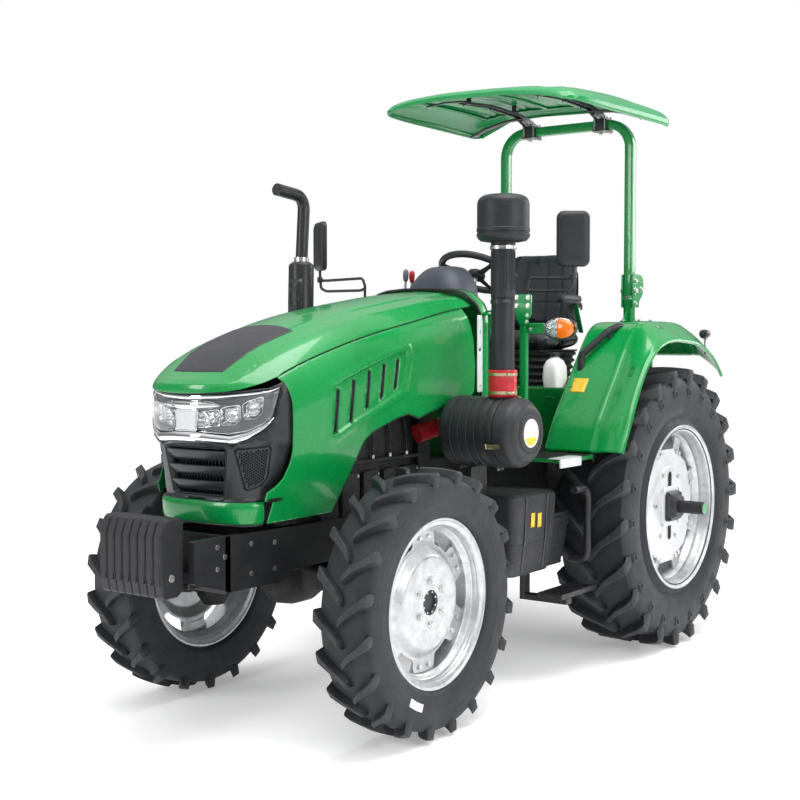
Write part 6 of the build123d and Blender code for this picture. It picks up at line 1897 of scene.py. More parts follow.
# seat deck in the darker green copy of the paint: painted shade
k = Mesh()
dk = fillet2([(-700, -FIN + 8), (-700, FIN - 8), (-1299, FIN - 8), (-1299, -FIN + 8)], 18, 4)
rows = [[(p[0], p[1], z) for p in dk] for z in (988, 1270)]
rows += [[(p[0] + (a if p[0] < -1000 else -a), p[1] * (1 - a / 420), z) for p in dk] for z, a in ((1282, 2.5), (1289, 9), (1290, 18))]
v, f = loft(rows, True, False)
f.append(tuple(range(4 * len(dk), 5 * len(dk))))
k.add(v, f, 0)
for y in (-260, -90, 90, 260):
    k.add(*prism(fillet2([(y - 34, 1030), (y + 34, 1030), (y + 34, 1240), (y - 34, 1240)], 12, 4), -700.6, -692, "x"), mat=0)
k.obj("seat_deck", [M["green_deep"]], "chassis", "hood_green", bevel=1.5, angle=35)
# side step plate of bare metal along the platform edge
k = Mesh()
for s_ in (1, -1):
    k.add(*prism(fillet2([(-215, 1000.5), (-22, 1000.5), (-22, 962), (-215, 962)], 3, 2), s_ * 700 - 3, s_ * 700 + 3, "y"), mat=0)
    k.add(*prism(rect(-215, -22, min(s_ * 640, s_ * 703), max(s_ * 640, s_ * 703), 3, 2), 1000, 1003, "z"), mat=0)
    for x in (-200, -40):
        k.add(*hexnut((x, s_ * 703, 980), (0, s_, 0), 11, 4, True), mat=0, smooth=False)
k.obj("platform_edge", [M["disc"]], "chassis", "steel", angle=30)
# pedals
k = Mesh()
for y, w in ((-190, 60), (-115, 60), (170, 62)):
    k.add(*pipe([(-60, y, 1330), (-110, y, 1230), (-205, y, 1085)], 8, 60, 12), mat=0)
    rows = []
    for t in np.linspace(0, 1, 6):
        x, z = -190 - 40 * t, 1062 + 46 * t - 12 * t * t
        rows.append([(x - 3, y - w / 2, z - 3), (x + 3, y - w / 2, z + 3), (x + 3, y + w / 2, z + 3), (x - 3, y + w / 2, z - 3)])
    k.add(*loft(rows, True, True), mat=0)
    for t in np.linspace(0.1, 0.9, 6):
        x, z = -190 - 40 * t, 1062 + 46 * t - 12 * t * t
        k.add(*cyl((x + 3, y - w / 2 + 4, z + 3.5), (x + 3, y + w / 2 - 4, z + 3.5), 2.6, seg=8), mat=1)
k.obj("pedals", [M["frame"], M["floor_mat"]], "chassis", "frame_black", angle=35)

# ------------------------------------------------------------------ seat
def cushion(name, x0, x1, y0, y1, z0, z1, r, nx, ny, shape, frames_on, body="chassis", rep=(), push=4.0, tilt=None, cap=0.014):
    """Padded block: rounded cage, voxel remeshed, blown up with cloth pressure, then shaped."""
    k = Mesh()
    ins = 6
    v, f = pillow(x0 + ins, x1 - ins, y0 + ins, y1 - ins, z0 + ins, z1 - ins, r, 4)
    k.add(v, f, 0)
    ob = k.obj(name, [M["vinyl"]], None, None, (), weld=0.05, angle=80)
    for m_ in list(ob.modifiers):
        ob.modifiers.remove(m_)
    bpy.context.view_layer.objects.active = ob
    ob.select_set(True)
    rm = ob.modifiers.new("vox", "REMESH")
    rm.mode = "VOXEL"
    rm.voxel_size = 0.006
    bpy.ops.object.modifier_apply(modifier=rm.name)
    n0 = np.array([v_.co for v_ in ob.data.vertices])
    cl = ob.modifiers.new("cloth", "CLOTH")
    st = cl.settings
    st.quality = 5
    st.mass = 0.3
    st.use_pressure = True
    st.uniform_pressure_force = push
    st.tension_stiffness = st.compression_stiffness = 25
    st.bending_stiffness = 2.0
    st.effector_weights.gravity = 0
    cl.point_cache.frame_start, cl.point_cache.frame_end = 1, 20
    scn = bpy.context.scene
    scn.frame_start, scn.frame_end = 1, 20
    for fr in range(1, 21):
        scn.frame_set(fr)
    bpy.ops.object.modifier_apply(modifier=cl.name)
    n1 = np.array([v_.co for v_ in ob.data.vertices])
    d = n1 - n0
    L_ = np.linalg.norm(d, axis=1)
    cap_ = cap
    print("CUSHION", name, "vertices", len(n0), "free movement mm mean %.1f max %.1f" % (L_.mean() * 1000, L_.max() * 1000), "capped at", cap_ * 1000)
    sc_ = np.where(L_ > cap_, cap_ / np.maximum(L_, 1e-9), 1.0)
    n2 = n0 + d * sc_[:, None]
    for v_, c_ in zip(ob.data.vertices, n2):
        v_.co = c_
    scn.frame_set(1)
    co = np.array([v_.co for v_ in ob.data.vertices]) * 1000
    co = shape(co)
    for q, (lo_, hi_) in enumerate(((x0, x1), (y0, y1), (z0, z1))):
        a_, b_ = co[:, q].min(), co[:, q].max()
        co[:, q] = lo_ + (co[:, q] - a_) * (hi_ - lo_) / (b_ - a_)
    if tilt is not None:
        co = tilt(co)
    for v_, c_ in zip(ob.data.vertices, co / 1000):
        v_.co = c_
    for p in ob.data.polygons:
        p.use_smooth = True
    ob.select_set(False)
    sm = ob.modifiers.new("smooth", "CORRECTIVE_SMOOTH") if False else None
    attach(ob, body)
    if rep:
        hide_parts(*rep)
    return ob


def channel(d, w, depth):
    return depth * np.exp(-(d / w) ** 2)


def shape_seat(co):
    x, y, z = co[:, 0], co[:, 1], co[:, 2]
    up_ = np.clip((z - 1500) / 50, 0, 1)
    dz = -14 * np.exp(-((x + 880) / 130) ** 2) * np.exp(-(y / 120) ** 2)
    for yc in (-70, 70):
        dz -= channel(y - yc, 5.5, 9)
    for q in (-158, 158):
        dz -= channel(y - q, 6, 11)
    dz -= channel(x + 730, 6, 8) * (np.abs(y) < 160)
    dz += 6 * np.clip((np.abs(y) - 165) / 40, 0, 1)
    co[:, 2] = z + dz * up_
    return co


cushion("seat_pad", -1075, -666, -239, 239, 1471, 1574, 46, 40, 40, shape_seat, True, rep=("seat_cushion",), cap=0.024)


def shape_back(co):
    # built upright as x depth, y width, z height; the front is +x
    x, y, z = co[:, 0], co[:, 1], co[:, 2]
    f_ = np.clip((x + 1040) / 40, 0, 1)
    t = np.clip((z - 1580) / 390, 0, 1)
    dx = np.zeros_like(x)
    for yc in (-64, 64):
        dx -= channel(y - yc, 5.5, 9) * (t < 0.86)
    for q in (-150, 150):
        dx -= channel(y - q, 6.5, 12)
    dx -= channel(z - 1718, 6, 8) * (np.abs(y) < 150)
    dx += 12 * np.clip((np.abs(y) - 155) / 50, 0, 1)
    co[:, 0] = x + dx * f_
    # rounded top corners and narrower head
    half_w = 224 - 46 * t ** 2.4
    co[:, 1] = y * (half_w / 224)
    co[:, 2] = z - 26 * (np.abs(y) / 224) ** 3.2 * t
    return co


def tilt_back(co):
    t = np.clip((co[:, 2] - 1576) / 396, 0, 1)
    co[:, 0] = co[:, 0] - 88 * t ** 1.15
    return co


cushion("seat_back_pad", -1078, -968, -224, 224, 1577, 1971, 40, 40, 40, shape_back, True, rep=("seat_back",), tilt=tilt_back)
# piping along the seams
k = Mesh()
for y in (-158, 158):
    pts = [(x, y, 1571 - 14 * math.exp(-((x + 880) / 130) ** 2) * math.exp(-(y / 120) ** 2) - 11) for x in np.linspace(-1040, -700, 30)]
    k.add(*sweep(pts, circle2(3.2, 8)), mat=0)
k.obj("seat_piping", [M["trim"]], "chassis", "black_plastic", angle=60)
# shell behind the backrest
k = Mesh()
rows = []
for z in np.linspace(1500, 1950, 20):
    t = max(0, min(1, (z - 1576) / 396))
    hw = (222 - 46 * t ** 2.4) * (0.96 if z > 1900 else 1)
    xb = -1080 - 88 * t ** 1.15
    rows.append([(xb + (26 if abs(u) > 0.95 else 8 if abs(u) > 0.85 else 0), hw * u * 0.97, z - 20 * abs(u) ** 3 * t) for u in np.linspace(-1, 1, 21)])
v, f = loft(rows)
k.add(v, orient(v, f, lambda c: (-1, 0, 0)), 0)
k.obj("seat_shell", [M["plastic"]], "chassis", "black_plastic", weld=0.05, angle=40, solid=4, solid_off=1)
# seat base: bellows skirt, slide rails, adjuster knob
k = Mesh()
rows = []
zz = np.linspace(1292, 1468, 45)
for z in zz:
    g = 1 - 0.055 * (0.5 + 0.5 * math.cos((z - 1292) / 176 * 2 * math.pi * 5))
    w, h = (360 + (z - 1290) * 0.22) * g, (380 + (z - 1290) * 0.33) * g
    rows.append([(-900 + p[0], p[1], z) for p in roundrect2(w, h, 46, 6)])
k.add(*loft(rows, True, True), mat=0)
k.add(*prism(rect(-1088, -712, -212, 212, 20), 1288, 1296, "z"), mat=1)
k.add(*prism(rect(-1096, -704, -217, 217, 30), 1462, 1471.5, "z"), mat=1)
k.add(*lathe((-712, 120, 1446), (1, 0, 0), [(0, 8), (6, 8), (8, 20), (20, 21), (24, 16), (24.5, 1)], 20), mat=1)
k.obj("seat_suspension", [M["floor_mat"], M["frame"]], "chassis", "black_plastic", ("seat_base",), angle=45)
# armrest with its bracket on the left
k = Mesh()
v, f = pillow(-1010, -800, 236, 282, 1708, 1750, 18, 4)
k.add(v, f, 0)
k.add(*sweep(path_points([(-1100, 226, 1690), (-1060, 240, 1700), (-960, 258, 1712)], 30, 5), roundrect2(10, 30, 3, 3), up=(0, 0, 1)), mat=1)
k.add(*sweep([(-1075, 238, 1560), (-985, 252, 1704)], roundrect2(8, 26, 3, 3), up=(0, 1, 0)), mat=2)
k.add(*hexnut((-1078, 232, 1690), (0, 1, 0), 17, 8, True), mat=1, smooth=False)
k.obj("armrest", [M["vinyl"], M["frame"], M["green"]], "chassis", "seat_vinyl", angle=40)
# white reservoir behind the lamp
k = Mesh()
rows = []
for z, w, h, r in ((1292, 110, 90, 20), (1330, 124, 104, 26), (1392, 120, 100, 30), (1420, 96, 80, 34), (1434, 50, 44, 20), (1440, 44, 40, 18)):
    rows.append([(-560 + p[0] * 0.9, 372 + p[1] * 0.9, z - 290 + 292) for p in roundrect2(w, h, r, 5)])
k.add(*loft(rows, True, True), mat=0)
k.add(*lathe((-560, 372, 1441), (0, 0, 1), [(0, 22), (3, 26), (18, 26), (21, 23), (21.5, 1)], 24), mat=1)
k.obj("reservoir", [M["sticker_white"], M["trim"]], "chassis", "shield_white", angle=35)

# ------------------------------------------------------------------ lamp posts, mirrors, lamps
lb_lo, lb_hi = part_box("light_brackets")
PX = (lb_lo.x + lb_hi.x) * 500
k = Mesh()
for s_ in (1, -1):
    k.add(*sweep([(PX, s_ * 452, 1001), (PX, s_ * 452, 1700)], roundrect2(34, 26, 4, 3), up=(1, 0, 0)), mat=0)
    k.add(*prism(rect(PX - 30, PX + 21, s_ * 452 - 34, s_ * 452 + 34, 5), 1000, 1007, "z"), mat=0)
    pl = fillet2([(s_ * 408, 1668), (s_ * 408, 1729), (s_ * 500, 1729), (s_ * 500, 1640), (s_ * 470, 1596), (s_ * 436, 1596)], 8, 4)
    k.add(*prism(pl, PX + 13, PX + 21, "x"), mat=0)
    pl = fillet2([(s_ * 466, 1600), (s_ * 466, 1552), (s_ * 556, 1552), (s_ * 556, 1600)], 6, 4)
    k.add(*prism(pl, PX - 4, PX + 4, "x"), mat=0)
    k.add(*prism(fillet2([(PX - 12, s_ * 466), (PX + 20, s_ * 466), (PX + 6, s_ * 552), (PX - 12, s_ * 552)], 3, 2), 1592, 1598, "z"), mat=0)
k.obj("lamp_posts", [M["green"]], "chassis", "hood_green", ("light_brackets",), bevel=1, angle=35)
k = Mesh()
for s_ in (1, -1):
    for yy, z in ((424, 1715), (484, 1715), (424, 1678), (484, 1678)):
        k.add(*hexnut((PX + 21, s_ * yy, z), (1, 0, 0), 15, 7, True, 0.4), mat=0, smooth=False)
    for yy, z in ((480, 1634), (478, 1606), (488, 1572)):
        k.add(*hexnut((PX + 21 if z > 1600 else PX + 4, s_ * yy, z), (1, 0, 0), 12, 6, True, 0.4), mat=0, smooth=False)
k.obj("lamp_post_bolts", [M["steel"]], "chassis", "steel", angle=30)

mir_lo, mir_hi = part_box("mirrors")
for s_, nm, c, turn, zc_ in ((1, "left", (PX - 6, 698), 38, 1970), (-1, "right", (PX + 12, -734), -34, 1992)):
    k = Mesh()
    a = math.radians(turn)
    ca, sa_ = math.cos(a), math.sin(a)
    def mp(d, w, z):
        return (c[0] + d * ca - w * sa_, c[1] + d * sa_ + w * ca, z)
    rows = []
    for d, ins, r in ((-17.5, 3, 30), (-16, 1, 31), (-6, 0.3, 32), (4, 3, 32), (11, 8, 30), (16, 17, 27), (17.8, 30, 22), (18, 50, 14)):
        sec = rect(-74.5 + ins, 74.5 - ins, -123.5 + ins, 123.5 - ins, max(6, r), 6)
        rows.append([mp(d, p[0], zc_ + p[1]) for p in sec])
    k.add(*loft(rows, True, True), mat=0)
    sec = rect(-66, 66, -115, 115, 24, 6)
    rows = [[mp(-17.6, p[0], zc_ + p[1]) for p in sec], [mp(-18, p[0] * 0.99, zc_ + p[1] * 0.99) for p in sec]]
    v, f = loft(rows, True, False)
    f.append(tuple(range(len(sec), 2 * len(sec))))
    k.add(v, f, 1)
    k.obj(f"mirror_head_{nm}", [M["plastic"], M["mirror"]], "chassis", "black_plastic", ("mirrors",) if s_ > 0 else (), angle=32)
    k = Mesh()
    y1 = c[1]
    base_y = s_ * 462
    zt = zc_ - 108
    k.add(*pipe([(PX - 8, base_y, 1700), (PX - 8, base_y, zt - 96), (PX - 8, base_y + s_ * 14, zt - 58), (PX - 6, y1 - s_ * 40, zt - 64), (c[0] - 4, y1, zt - 64), (c[0] - 2, y1, zt + 10)], 7, [0, 10, 22, 30, 14, 0], 14), mat=0)
    k.add(*pipe([(PX - 8, base_y, zt - 110), (PX - 8, base_y + s_ * 30, zt - 118), (PX - 6, y1 - s_ * 30, zt - 118), (c[0] - 4, y1 - s_ * 6, zt - 104), (c[0] - 2, y1 - s_ * 2, zt - 60)], 7, [0, 12, 30, 20, 0], 14), mat=0)
    k.add(*lathe((c[0] - 2, y1, zt - 74), (0, 0, 1), [(0, 12), (4, 14), (24, 14), (28, 11)], 20), mat=0)
    k.add(*sweep([(PX - 8, base_y, 1690), (PX - 8, base_y, 1729)], roundrect2(22, 26, 4, 3)), mat=0)
    k.add(*hexnut((c[0] - 16, y1, zt - 60), (-1, 0, 0), 12, 6, True), mat=1, smooth=False)
    k.obj(f"mirror_arm_{nm}", [M["frame"], M["steel"]], "chassis", "black_plastic", angle=40)

for s_, nm in ((1, "left"), (-1, "right")):
    # front lamp: rounded black housing, split clear and amber lens towards the front
    cy, cz = s_ * 642, 1575
    k = Mesh()
    def ov(d, sc, wy=79.0, wz=49.0):
        return [(PX + d, cy + wy * sc * math.copysign(abs(math.cos(t)) ** 0.85, math.cos(t)), cz + wz * sc * math.copysign(abs(math.sin(t)) ** 0.9, math.sin(t))) for t in np.linspace(0, 2 * math.pi, 48, endpoint=False)]
    k.add(*loft([ov(-44.5, 0.35), ov(-42, 0.62), ov(-30, 0.86), ov(-10, 0.97), ov(8, 1.0), ov(14, 1.0), ov(15, 0.95)], True, True), mat=0)
    k.add(*cyl((PX - 10, s_ * 556, cz - 2), (PX - 10, s_ * 570, cz - 2), 13), mat=0)
    k.obj(f"front_lamp_body_{nm}", [M["trim"]], "chassis", "black_plastic", ("signal_lamps",) if s_ > 0 else (), angle=40)
    for part, mt, lo_, hi_ in (("clear", "lens_rib", -1.0, -0.02), ("amber", "amber", 0.02, 1.0)):
        k = Mesh()
        rows = []
        for yy in np.linspace(lo_, hi_, 14):
            e = math.sqrt(max(0.02, 1 - yy * yy)) ** 0.9
            row = []
            for q in np.linspace(0, math.pi, 15):
                z_ = math.cos(q) * e
                d_ = 15 + 29 * math.sin(q) ** 0.8 * e ** 0.6
                row.append((PX + min(d_, 44.6), cy + s_ * yy * 75, cz + z_ * 45))
            rows.append(row)
        v, f = loft(rows)
        k.add(v, orient(v, f, lambda c_: (1, 0, 0)), 0)
        k.obj(f"front_lamp_{part}_{nm}", [M[mt]], "chassis", "lamp_orange", weld=0.02, angle=50, solid=3)
    k = Mesh()
    # reflector and divider behind the lens
    k.add(*loft([ov(15.2, 0.92), ov(13.4, 0.80), ov(12, 0.5), ov(12, 0.05)], True, True), mat=0)
    k.add(*prism(rect(-1, 1, cz - 42, cz + 42), PX + 12, PX + 40, "x") if False else cube(PX + 12, PX + 36, cy - 1.2, cy + 1.2, cz - 38, cz + 38), mat=0)
    k.add(*lathe((PX + 13, cy - s_ * 38, cz), (1, 0, 0), [(0, 9), (5, 9), (8, 7), (16, 8), (20, 5), (21, 0.5)], 20), mat=0)
    k.obj(f"front_lamp_inner_{nm}", [M["reflector"]], "chassis", "lamp_chrome", angle=40)
    # tail lamp on its stalk
    k = Mesh()
    ty = s_ * 770
    k.add(*lathe((-1400, ty, 1551), (-1, 0, 0), [(0, 10), (3, 19), (10, 23.5), (40, 23.5), (44, 22)], 32), mat=0)
    k.add(*lathe((-1444, ty, 1551), (-1, 0, 0), [(0, 21), (12, 21), (20, 17), (24.5, 10), (25.8, 1)], 32), mat=1)
    k.add(*sweep(path_points([(-1433, ty, 1446), (-1433, ty, 1500), (-1428, ty, 1532)], 20, 4), roundrect2(16, 5, 1.5, 2), up=(0, 1, 0)), mat=2)
    k.add(*hexnut((-1436, ty, 1551 - 26), (-1, 0, 0), 10, 5, True), mat=2, smooth=False)
    k.obj(f"tail_lamp_{nm}", [M["trim"], M["red_lens"], M["steel"]], "chassis", "lamp_orange", angle=35)
    # grab handle
    k = Mesh()
    P_ = path_points([(-640, s_ * 472, 1352), (-640, s_ * 472, 1450), (-742, s_ * 572, 1571), (-812, s_ * 580, 1588), (-846, s_ * 584, 1586)], [0, 34, 56, 20, 0], 8)
    k.add(*sweep(P_, circle2(16.5, 20)), mat=0)
    k.add(*pipe([(-745, s_ * 566, 1536), (-740, s_ * 566, 1566)], 13, 0, 16), mat=0)
    k.add(*lathe((-640, s_ * 472, 1350), (0, 0, 1), [(0, 17), (4, 20), (70, 19), (78, 16.8)], 24), mat=0)
    k.obj(f"grab_handle_{nm}", [M["plastic"]], "chassis", "black_plastic", ("grab_handles",) if s_ > 0 else (), angle=40)
    k = Mesh()
    k.add(*prism(rect(-676, -604, min(s_ * 448, s_ * 498), max(s_ * 448, s_ * 498), 4, 3), 1362, 1368, "z") if False else lathe((-638, s_ * 472, 1340), (0.55, 0, 0.83), [(0, 30), (5, 30), (6.5, 28), (6.5, 18)], 32), mat=0)
    k.obj(f"grab_foot_{nm}", [M["disc"]], "chassis", "steel", angle=30)
# ------------------------------------------------------------------ air cleaner, stack, hoses
AX_, AZ_ = 288, 1137
k = Mesh()
prof = [(346, 60), (346, 112), (350, 119), (358, 128), (364, 141), (372, 147)]
for y in (430, 470, 510, 550):
    prof += [(y - 12, 148.6), (y - 7, 148.6), (y - 5, 145.4), (y + 5, 145.4), (y + 7, 148.6)]
prof += [(600, 149.3), (606, 150), (622, 150), (628, 147.5)]
k.add(*revolve([(r, y) for y, r in prof], (AX_, 0, AZ_), "y", 72) if False else lathe((AX_, 0, AZ_), (0, 1, 0), prof, 72), mat=0)
k.add(*lathe((AX_, 0, AZ_), (0, 1, 0), [(628, 143), (633, 148), (650, 149), (668, 147.5), (684, 147), (694, 143), (702, 137), (710, 128), (716, 124), (724, 118), (730, 108), (731, 96), (728, 90), (728, 84), (733, 80), (734.5, 70), (734.5, 2)], 72), mat=1)
k.obj("air_cleaner_body", [M["plastic"], M["tank"]], "chassis", "black_plastic", ("air_cleaner",), weld=0.05, angle=28)
k = Mesh()
for t in (100, 220, 340):
    t = math.radians(t)
    c_ = (AX_ + 150 * math.cos(t), 632, AZ_ + 150 * math.sin(t))
    rad = (math.cos(t), 0, math.sin(t))
    k.add(*sweep([(c_[0], 596, c_[2]), (c_[0] + rad[0] * 4, 612, c_[2] + rad[2] * 4), (c_[0] + rad[0] * 5, 640, c_[2] + rad[2] * 5), (c_[0] - rad[0] * 1, 664, c_[2] - rad[2] * 1)], roundrect2(20, 4, 1.5, 2), up=rad), mat=0)
    k.add(*cyl((c_[0] + rad[2] * 11 + rad[0] * 3, 602, c_[2] - rad[0] * 11 + rad[2] * 3), (c_[0] - rad[2] * 11 + rad[0] * 3, 602, c_[2] + rad[0] * 11 + rad[2] * 3), 3.5, seg=12), mat=0)
k.obj("air_cleaner_clips", [M["zinc_yellow"]], "chassis", "steel", angle=35)
k = Mesh()
k.add(*lathe((AX_, 734.6, AZ_), (0, 1, 0), [(0, 60), (0.9, 59.5), (0.9, 1)], 60), mat=0)
k.add(*prism([(AX_ + 52 * math.cos(t), AZ_ + 52 * math.sin(t)) for t in np.linspace(math.radians(200), math.radians(340), 24)], 734.8, 735.8, "y"), mat=1)
k.obj("air_cleaner_label", [M["sticker_white"], M["sticker_yellow"]], "chassis", "black_plastic", angle=30)
# mounting bands and bracket
k = Mesh()
for y in (400, 584):
    ring = [(AX_ + r * math.cos(t), y + dy, AZ_ + r * math.sin(t)) for t in np.linspace(0, 2 * math.pi, 72, endpoint=False) for r, dy in ((1, 0),)] if False else None
    rows = [[(AX_ + r * math.cos(t), y + dy, AZ_ + r * math.sin(t)) for r, dy in ((147, -11), (150.6, -11), (150.6, 11), (147, 11))] for t in np.linspace(0, 2 * math.pi, 72, endpoint=False)]
    k.add(*loft(rows, True, False, True), mat=0)
    k.add(*cube(AX_ - 14, AX_ + 14, y - 11, y + 11, AZ_ - 163, AZ_ - 150), mat=0)
    k.add(*hexnut((AX_ + 14, y, AZ_ - 157), (1, 0, 0), 12, 8, True), mat=1, smooth=False)
k.add(*prism(fillet2([(AX_ - 70, 860), (AX_ + 70, 860), (AX_ + 60, 985), (AX_ - 60, 985)], 8, 3), 470, 478, "y"), mat=0)
k.obj("air_cleaner_bands", [M["frame"], M["steel"]], "chassis", "frame_black", angle=35)

SX_, SY_ = 288, 595
k = Mesh()
k.add(*lathe((SX_, SY_, 0), (0, 0, 1), [(1280, 49), (1700, 49), (1702, 51.5), (1728, 51.5), (1730, 50), (1900, 50), (1903, 52), (1936, 52)], 64), mat=0)
for i in range(28):
    t = 2 * math.pi * i / 28
    c_ = (SX_ + 50.2 * math.cos(t), SY_ + 50.2 * math.sin(t))
    k.add(*sweep([(c_[0], c_[1], 1738), (c_[0], c_[1], 1896)], roundrect2(3.6, 3.6, 1.2, 2)), mat=0)
# slotted strap
k.add(*lathe((SX_, SY_, 0), (0, 0, 1), [(1676, 49), (1676, 53), (1696, 53), (1696, 49)], 64, False), mat=1)
k.add(*cube(SX_ + 30, SX_ + 56, SY_ + 34, SY_ + 44, 1680, 1692), mat=1)
# precleaner drum
k.add(*lathe((SX_, SY_, 0), (0, 0, 1), [(1936, 52), (1938, 84), (1940, 96), (1946, 104), (1952, 108.5), (1958, 112), (1968, 112), (1970, 109), (1976, 109), (1978, 112), (1990, 112), (1993, 110), (2090, 110), (2104, 108), (2114, 103), (2122, 95), (2128, 84), (2132, 68), (2133.8, 40), (2134, 1)], 80), mat=0)
for i in range(20):
    t = 2 * math.pi * i / 20 + 0.1
    ca, sa_ = math.cos(t), math.sin(t)
    k.add(*sweep([(SX_ + 62 * ca, SY_ + 62 * sa_, 1937), (SX_ + 98 * ca, SY_ + 98 * sa_, 1943)], roundrect2(3, 7, 1, 2), up=(0, 0, 1)), mat=1)
k.add(*lathe((SX_, SY_, 0), (0, 0, 1), [(1904, 52), (1904, 56), (1918, 56), (1918, 52)], 64, False), mat=2)
k.add(*cube(SX_ + 24, SX_ + 44, SY_ + 42, SY_ + 60, 1904, 1918), mat=2)
k.add(*lathe((SX_ - 20, SY_ - 30, 2133), (0, 0, 1), [(0, 14), (3, 14), (4, 10), (4, 1)], 20), mat=1)
k.obj("stack_skin", [M["plastic"], M["trim"], M["steel"]], "chassis", "black_plastic", ("intake_stack",), weld=0.05, angle=32)

k = Mesh()
k.add(*lathe((SX_, SY_, 0), (0, 0, 1), [(1284, 55), (1289, 60.5), (1296, 61.5), (1312, 60), (1330, 59.6), (1360, 59.6), (1376, 60), (1392, 61.5), (1399, 60.5), (1399.4, 52)], 64), mat=0)
hp_ = path_points([(288, 346, 1147), (288, 262, 1147), (388, 222, 1117)], 40, 10)
nh = len(hp_)
k.add(*sweep(hp_, circle2(41, 32)), mat=0)
for a, b in ((0.16, 0.24), (0.45, 0.5), (0.76, 0.84)):
    i0, i1 = int(a * (nh - 1)), max(int(a * (nh - 1)) + 1, int(b * (nh - 1)))
    p0, p1 = np.array(hp_[0]) * (1 - a) + np.array(hp_[-1]) * a, None
k.obj("hoses_red", [M["red"]], "chassis", "hose_red", ("intake_hoses",), angle=40)
k = Mesh()
for z in (1304, 1380):
    k.add(*lathe((SX_, SY_, 0), (0, 0, 1), [(z - 6, 59), (z - 6, 61.9), (z + 6, 61.9), (z + 6, 59)], 64, False), mat=0)
    k.add(*cube(SX_ + 20, SX_ + 46, SY_ + 50, SY_ + 62, z - 6, z + 6), mat=0)
    k.add(*cyl((SX_ + 12, SY_ + 58, z), (SX_ + 54, SY_ + 58, z), 4, seg=12), mat=1)
for y in (326, 282):
    k.add(*lathe((288, y, 1147), (0, 1, 0), [(-6, 40), (-6, 42), (6, 42), (6, 40)], 48, False), mat=0)
    k.add(*cube(276, 300, y - 6, y + 6, 1187, 1189), mat=0)
k.obj("hose_clamps", [M["zinc_yellow"], M["steel"]], "chassis", "steel", angle=35)

# ------------------------------------------------------------------ exhaust
k = Mesh()
k.add(*lathe((425, -410, 1200), (-18, 0, 680), [(0, 36), (6, 52), (16, 57), (24, 58), (656, 58), (666, 56), (674, 48), (680, 36)], 56), mat=0)
k.add(*lathe((425, -410, 1200), (-18, 0, 680), [(300, 58), (300, 58.0), (304, 55.5), (310, 55.5), (314, 58)], 56, False), mat=0)
k.add(*pipe([(408, -410, 1860), (385, -410, 2175), (575, -410, 2194)], 28, 60, 32), mat=0)
k.add(*pipe([(425, -410, 1215), (425, -410, 1150), (425, -330, 1132), (425, -172, 1132)], 33, 48, 28), mat=0)
k.add(*lathe((408, -410, 1876), (-23, 0, 315), [(0, 34), (22, 34), (22, 30)], 40), mat=1)
k.add(*cube(398, 418, -446, -436, 1880, 1896), mat=1)
k.obj("exhaust_skin", [M["frame"], M["steel"]], "chassis", "frame_black", ("exhaust",), weld=0.05, angle=32)
# pierced heat guard round the lower muffler
k = Mesh()
rows = []
for t in np.linspace(-2.3, 0.8, 26):
    rows.append([(424 - (z - 1200) * 18 / 680 + 57.9 * math.cos(t), -410 + 57.9 * math.sin(t), z) for z in np.linspace(1260, 1800, 20)])
v, f = loft(rows)
f = [q for i, q in enumerate(f) if not (i % 19 % 3 == 1 and (i // 19) % 3 == 1)]
k.add(v, f, 0)
k.obj("exhaust_guard", [M["frame"]], "chassis", "frame_black", angle=40, solid=1.2, solid_off=1, weld=0.05)

# ------------------------------------------------------------------ shields between hood and cowl
k = Mesh()
for s_ in (1, -1):
    hole = [(74 + 9 * math.cos(t), 1480 + 9 * math.sin(t)) for t in np.linspace(0, 2 * math.pi, 16, endpoint=False)]
    o_ = fillet2([(52.5, 1291), (95.5, 1291), (95.5, 1634), (60, 1634), (52.5, 1600)], 6, 3)
    v, f = sheet(o_, lambda a, b, d: (a, s_ * 346, b), 22, (), [hole], None, 8)
    k.add(v, orient(v, f, lambda c: (0, s_, 0)), 0)
k.obj("side_shield_plates", [M["white"]], "chassis", "shield_white", ("side_shields",), weld=0.02, angle=40, solid=3)
k = Mesh()
for s_ in (1, -1):
    for z in (1320, 1560):
        k.add(*hexnut((74, s_ * 346.2, z), (0, s_, 0), 10, 1.7, False), mat=0, smooth=False)
k.obj("shield_screws", [M["steel"]], "chassis", "steel", angle=30)

# ------------------------------------------------------------------ fuel tank, battery box, steps, guard
def tank_block(name, secs, mat, rep, slot="black_plastic", bead=True):
    k = Mesh()
    rows = []
    for z, cx, cy, w, h, r in secs:
        rows.append([(cx + p[0], cy + p[1], z) for p in roundrect2(w, h, r, 6)])
    k.add(*loft(rows, True, True), mat=0)
    return k


k = tank_block("t", [(500.5, 60, 470, 300, 250, 30), (504, 60, 470, 318, 268, 38), (514, 60, 470, 329, 279, 40), (600, 60, 466, 352, 306, 40), (640, 60, 462, 366, 326, 40), (646, 60, 462, 362, 322, 40), (652, 60, 462, 368, 328, 40), (700, 60, 462, 374, 334, 42), (780, 60, 462, 382, 342, 44), (830, 60, 462, 388, 347, 46), (848, 60, 462, 380, 338, 46), (856, 60, 462, 360, 318, 44), (860, 60, 462, 320, 280, 40)], 0, ())
rear = []
for i, z in enumerate(np.linspace(501, 738, 33)):
    g = 0.0 if i % 4 in (0, 1) else 4.0
    w, h = 200 + 50 * (z - 500) / 240, 240 + 58 * (z - 500) / 240
    if z > 722:
        g += 12
    rear.append([(-198 - 10 * (z - 500) / 240 + p[0], 450 + p[1], z) for p in roundrect2(w - g, h - g, 36, 6)])
k.add(*loft(rear, True, True), mat=0)
k.add(*prism(rect(-100, -86, 350, 570, 4), 540, 700, "z"), mat=0)
k.add(*lathe((150, 430, 845), (0, 0, 1), [(0, 44), (6, 44), (6, 38), (12, 38), (14.6, 36), (14.8, 1)], 32), mat=1)
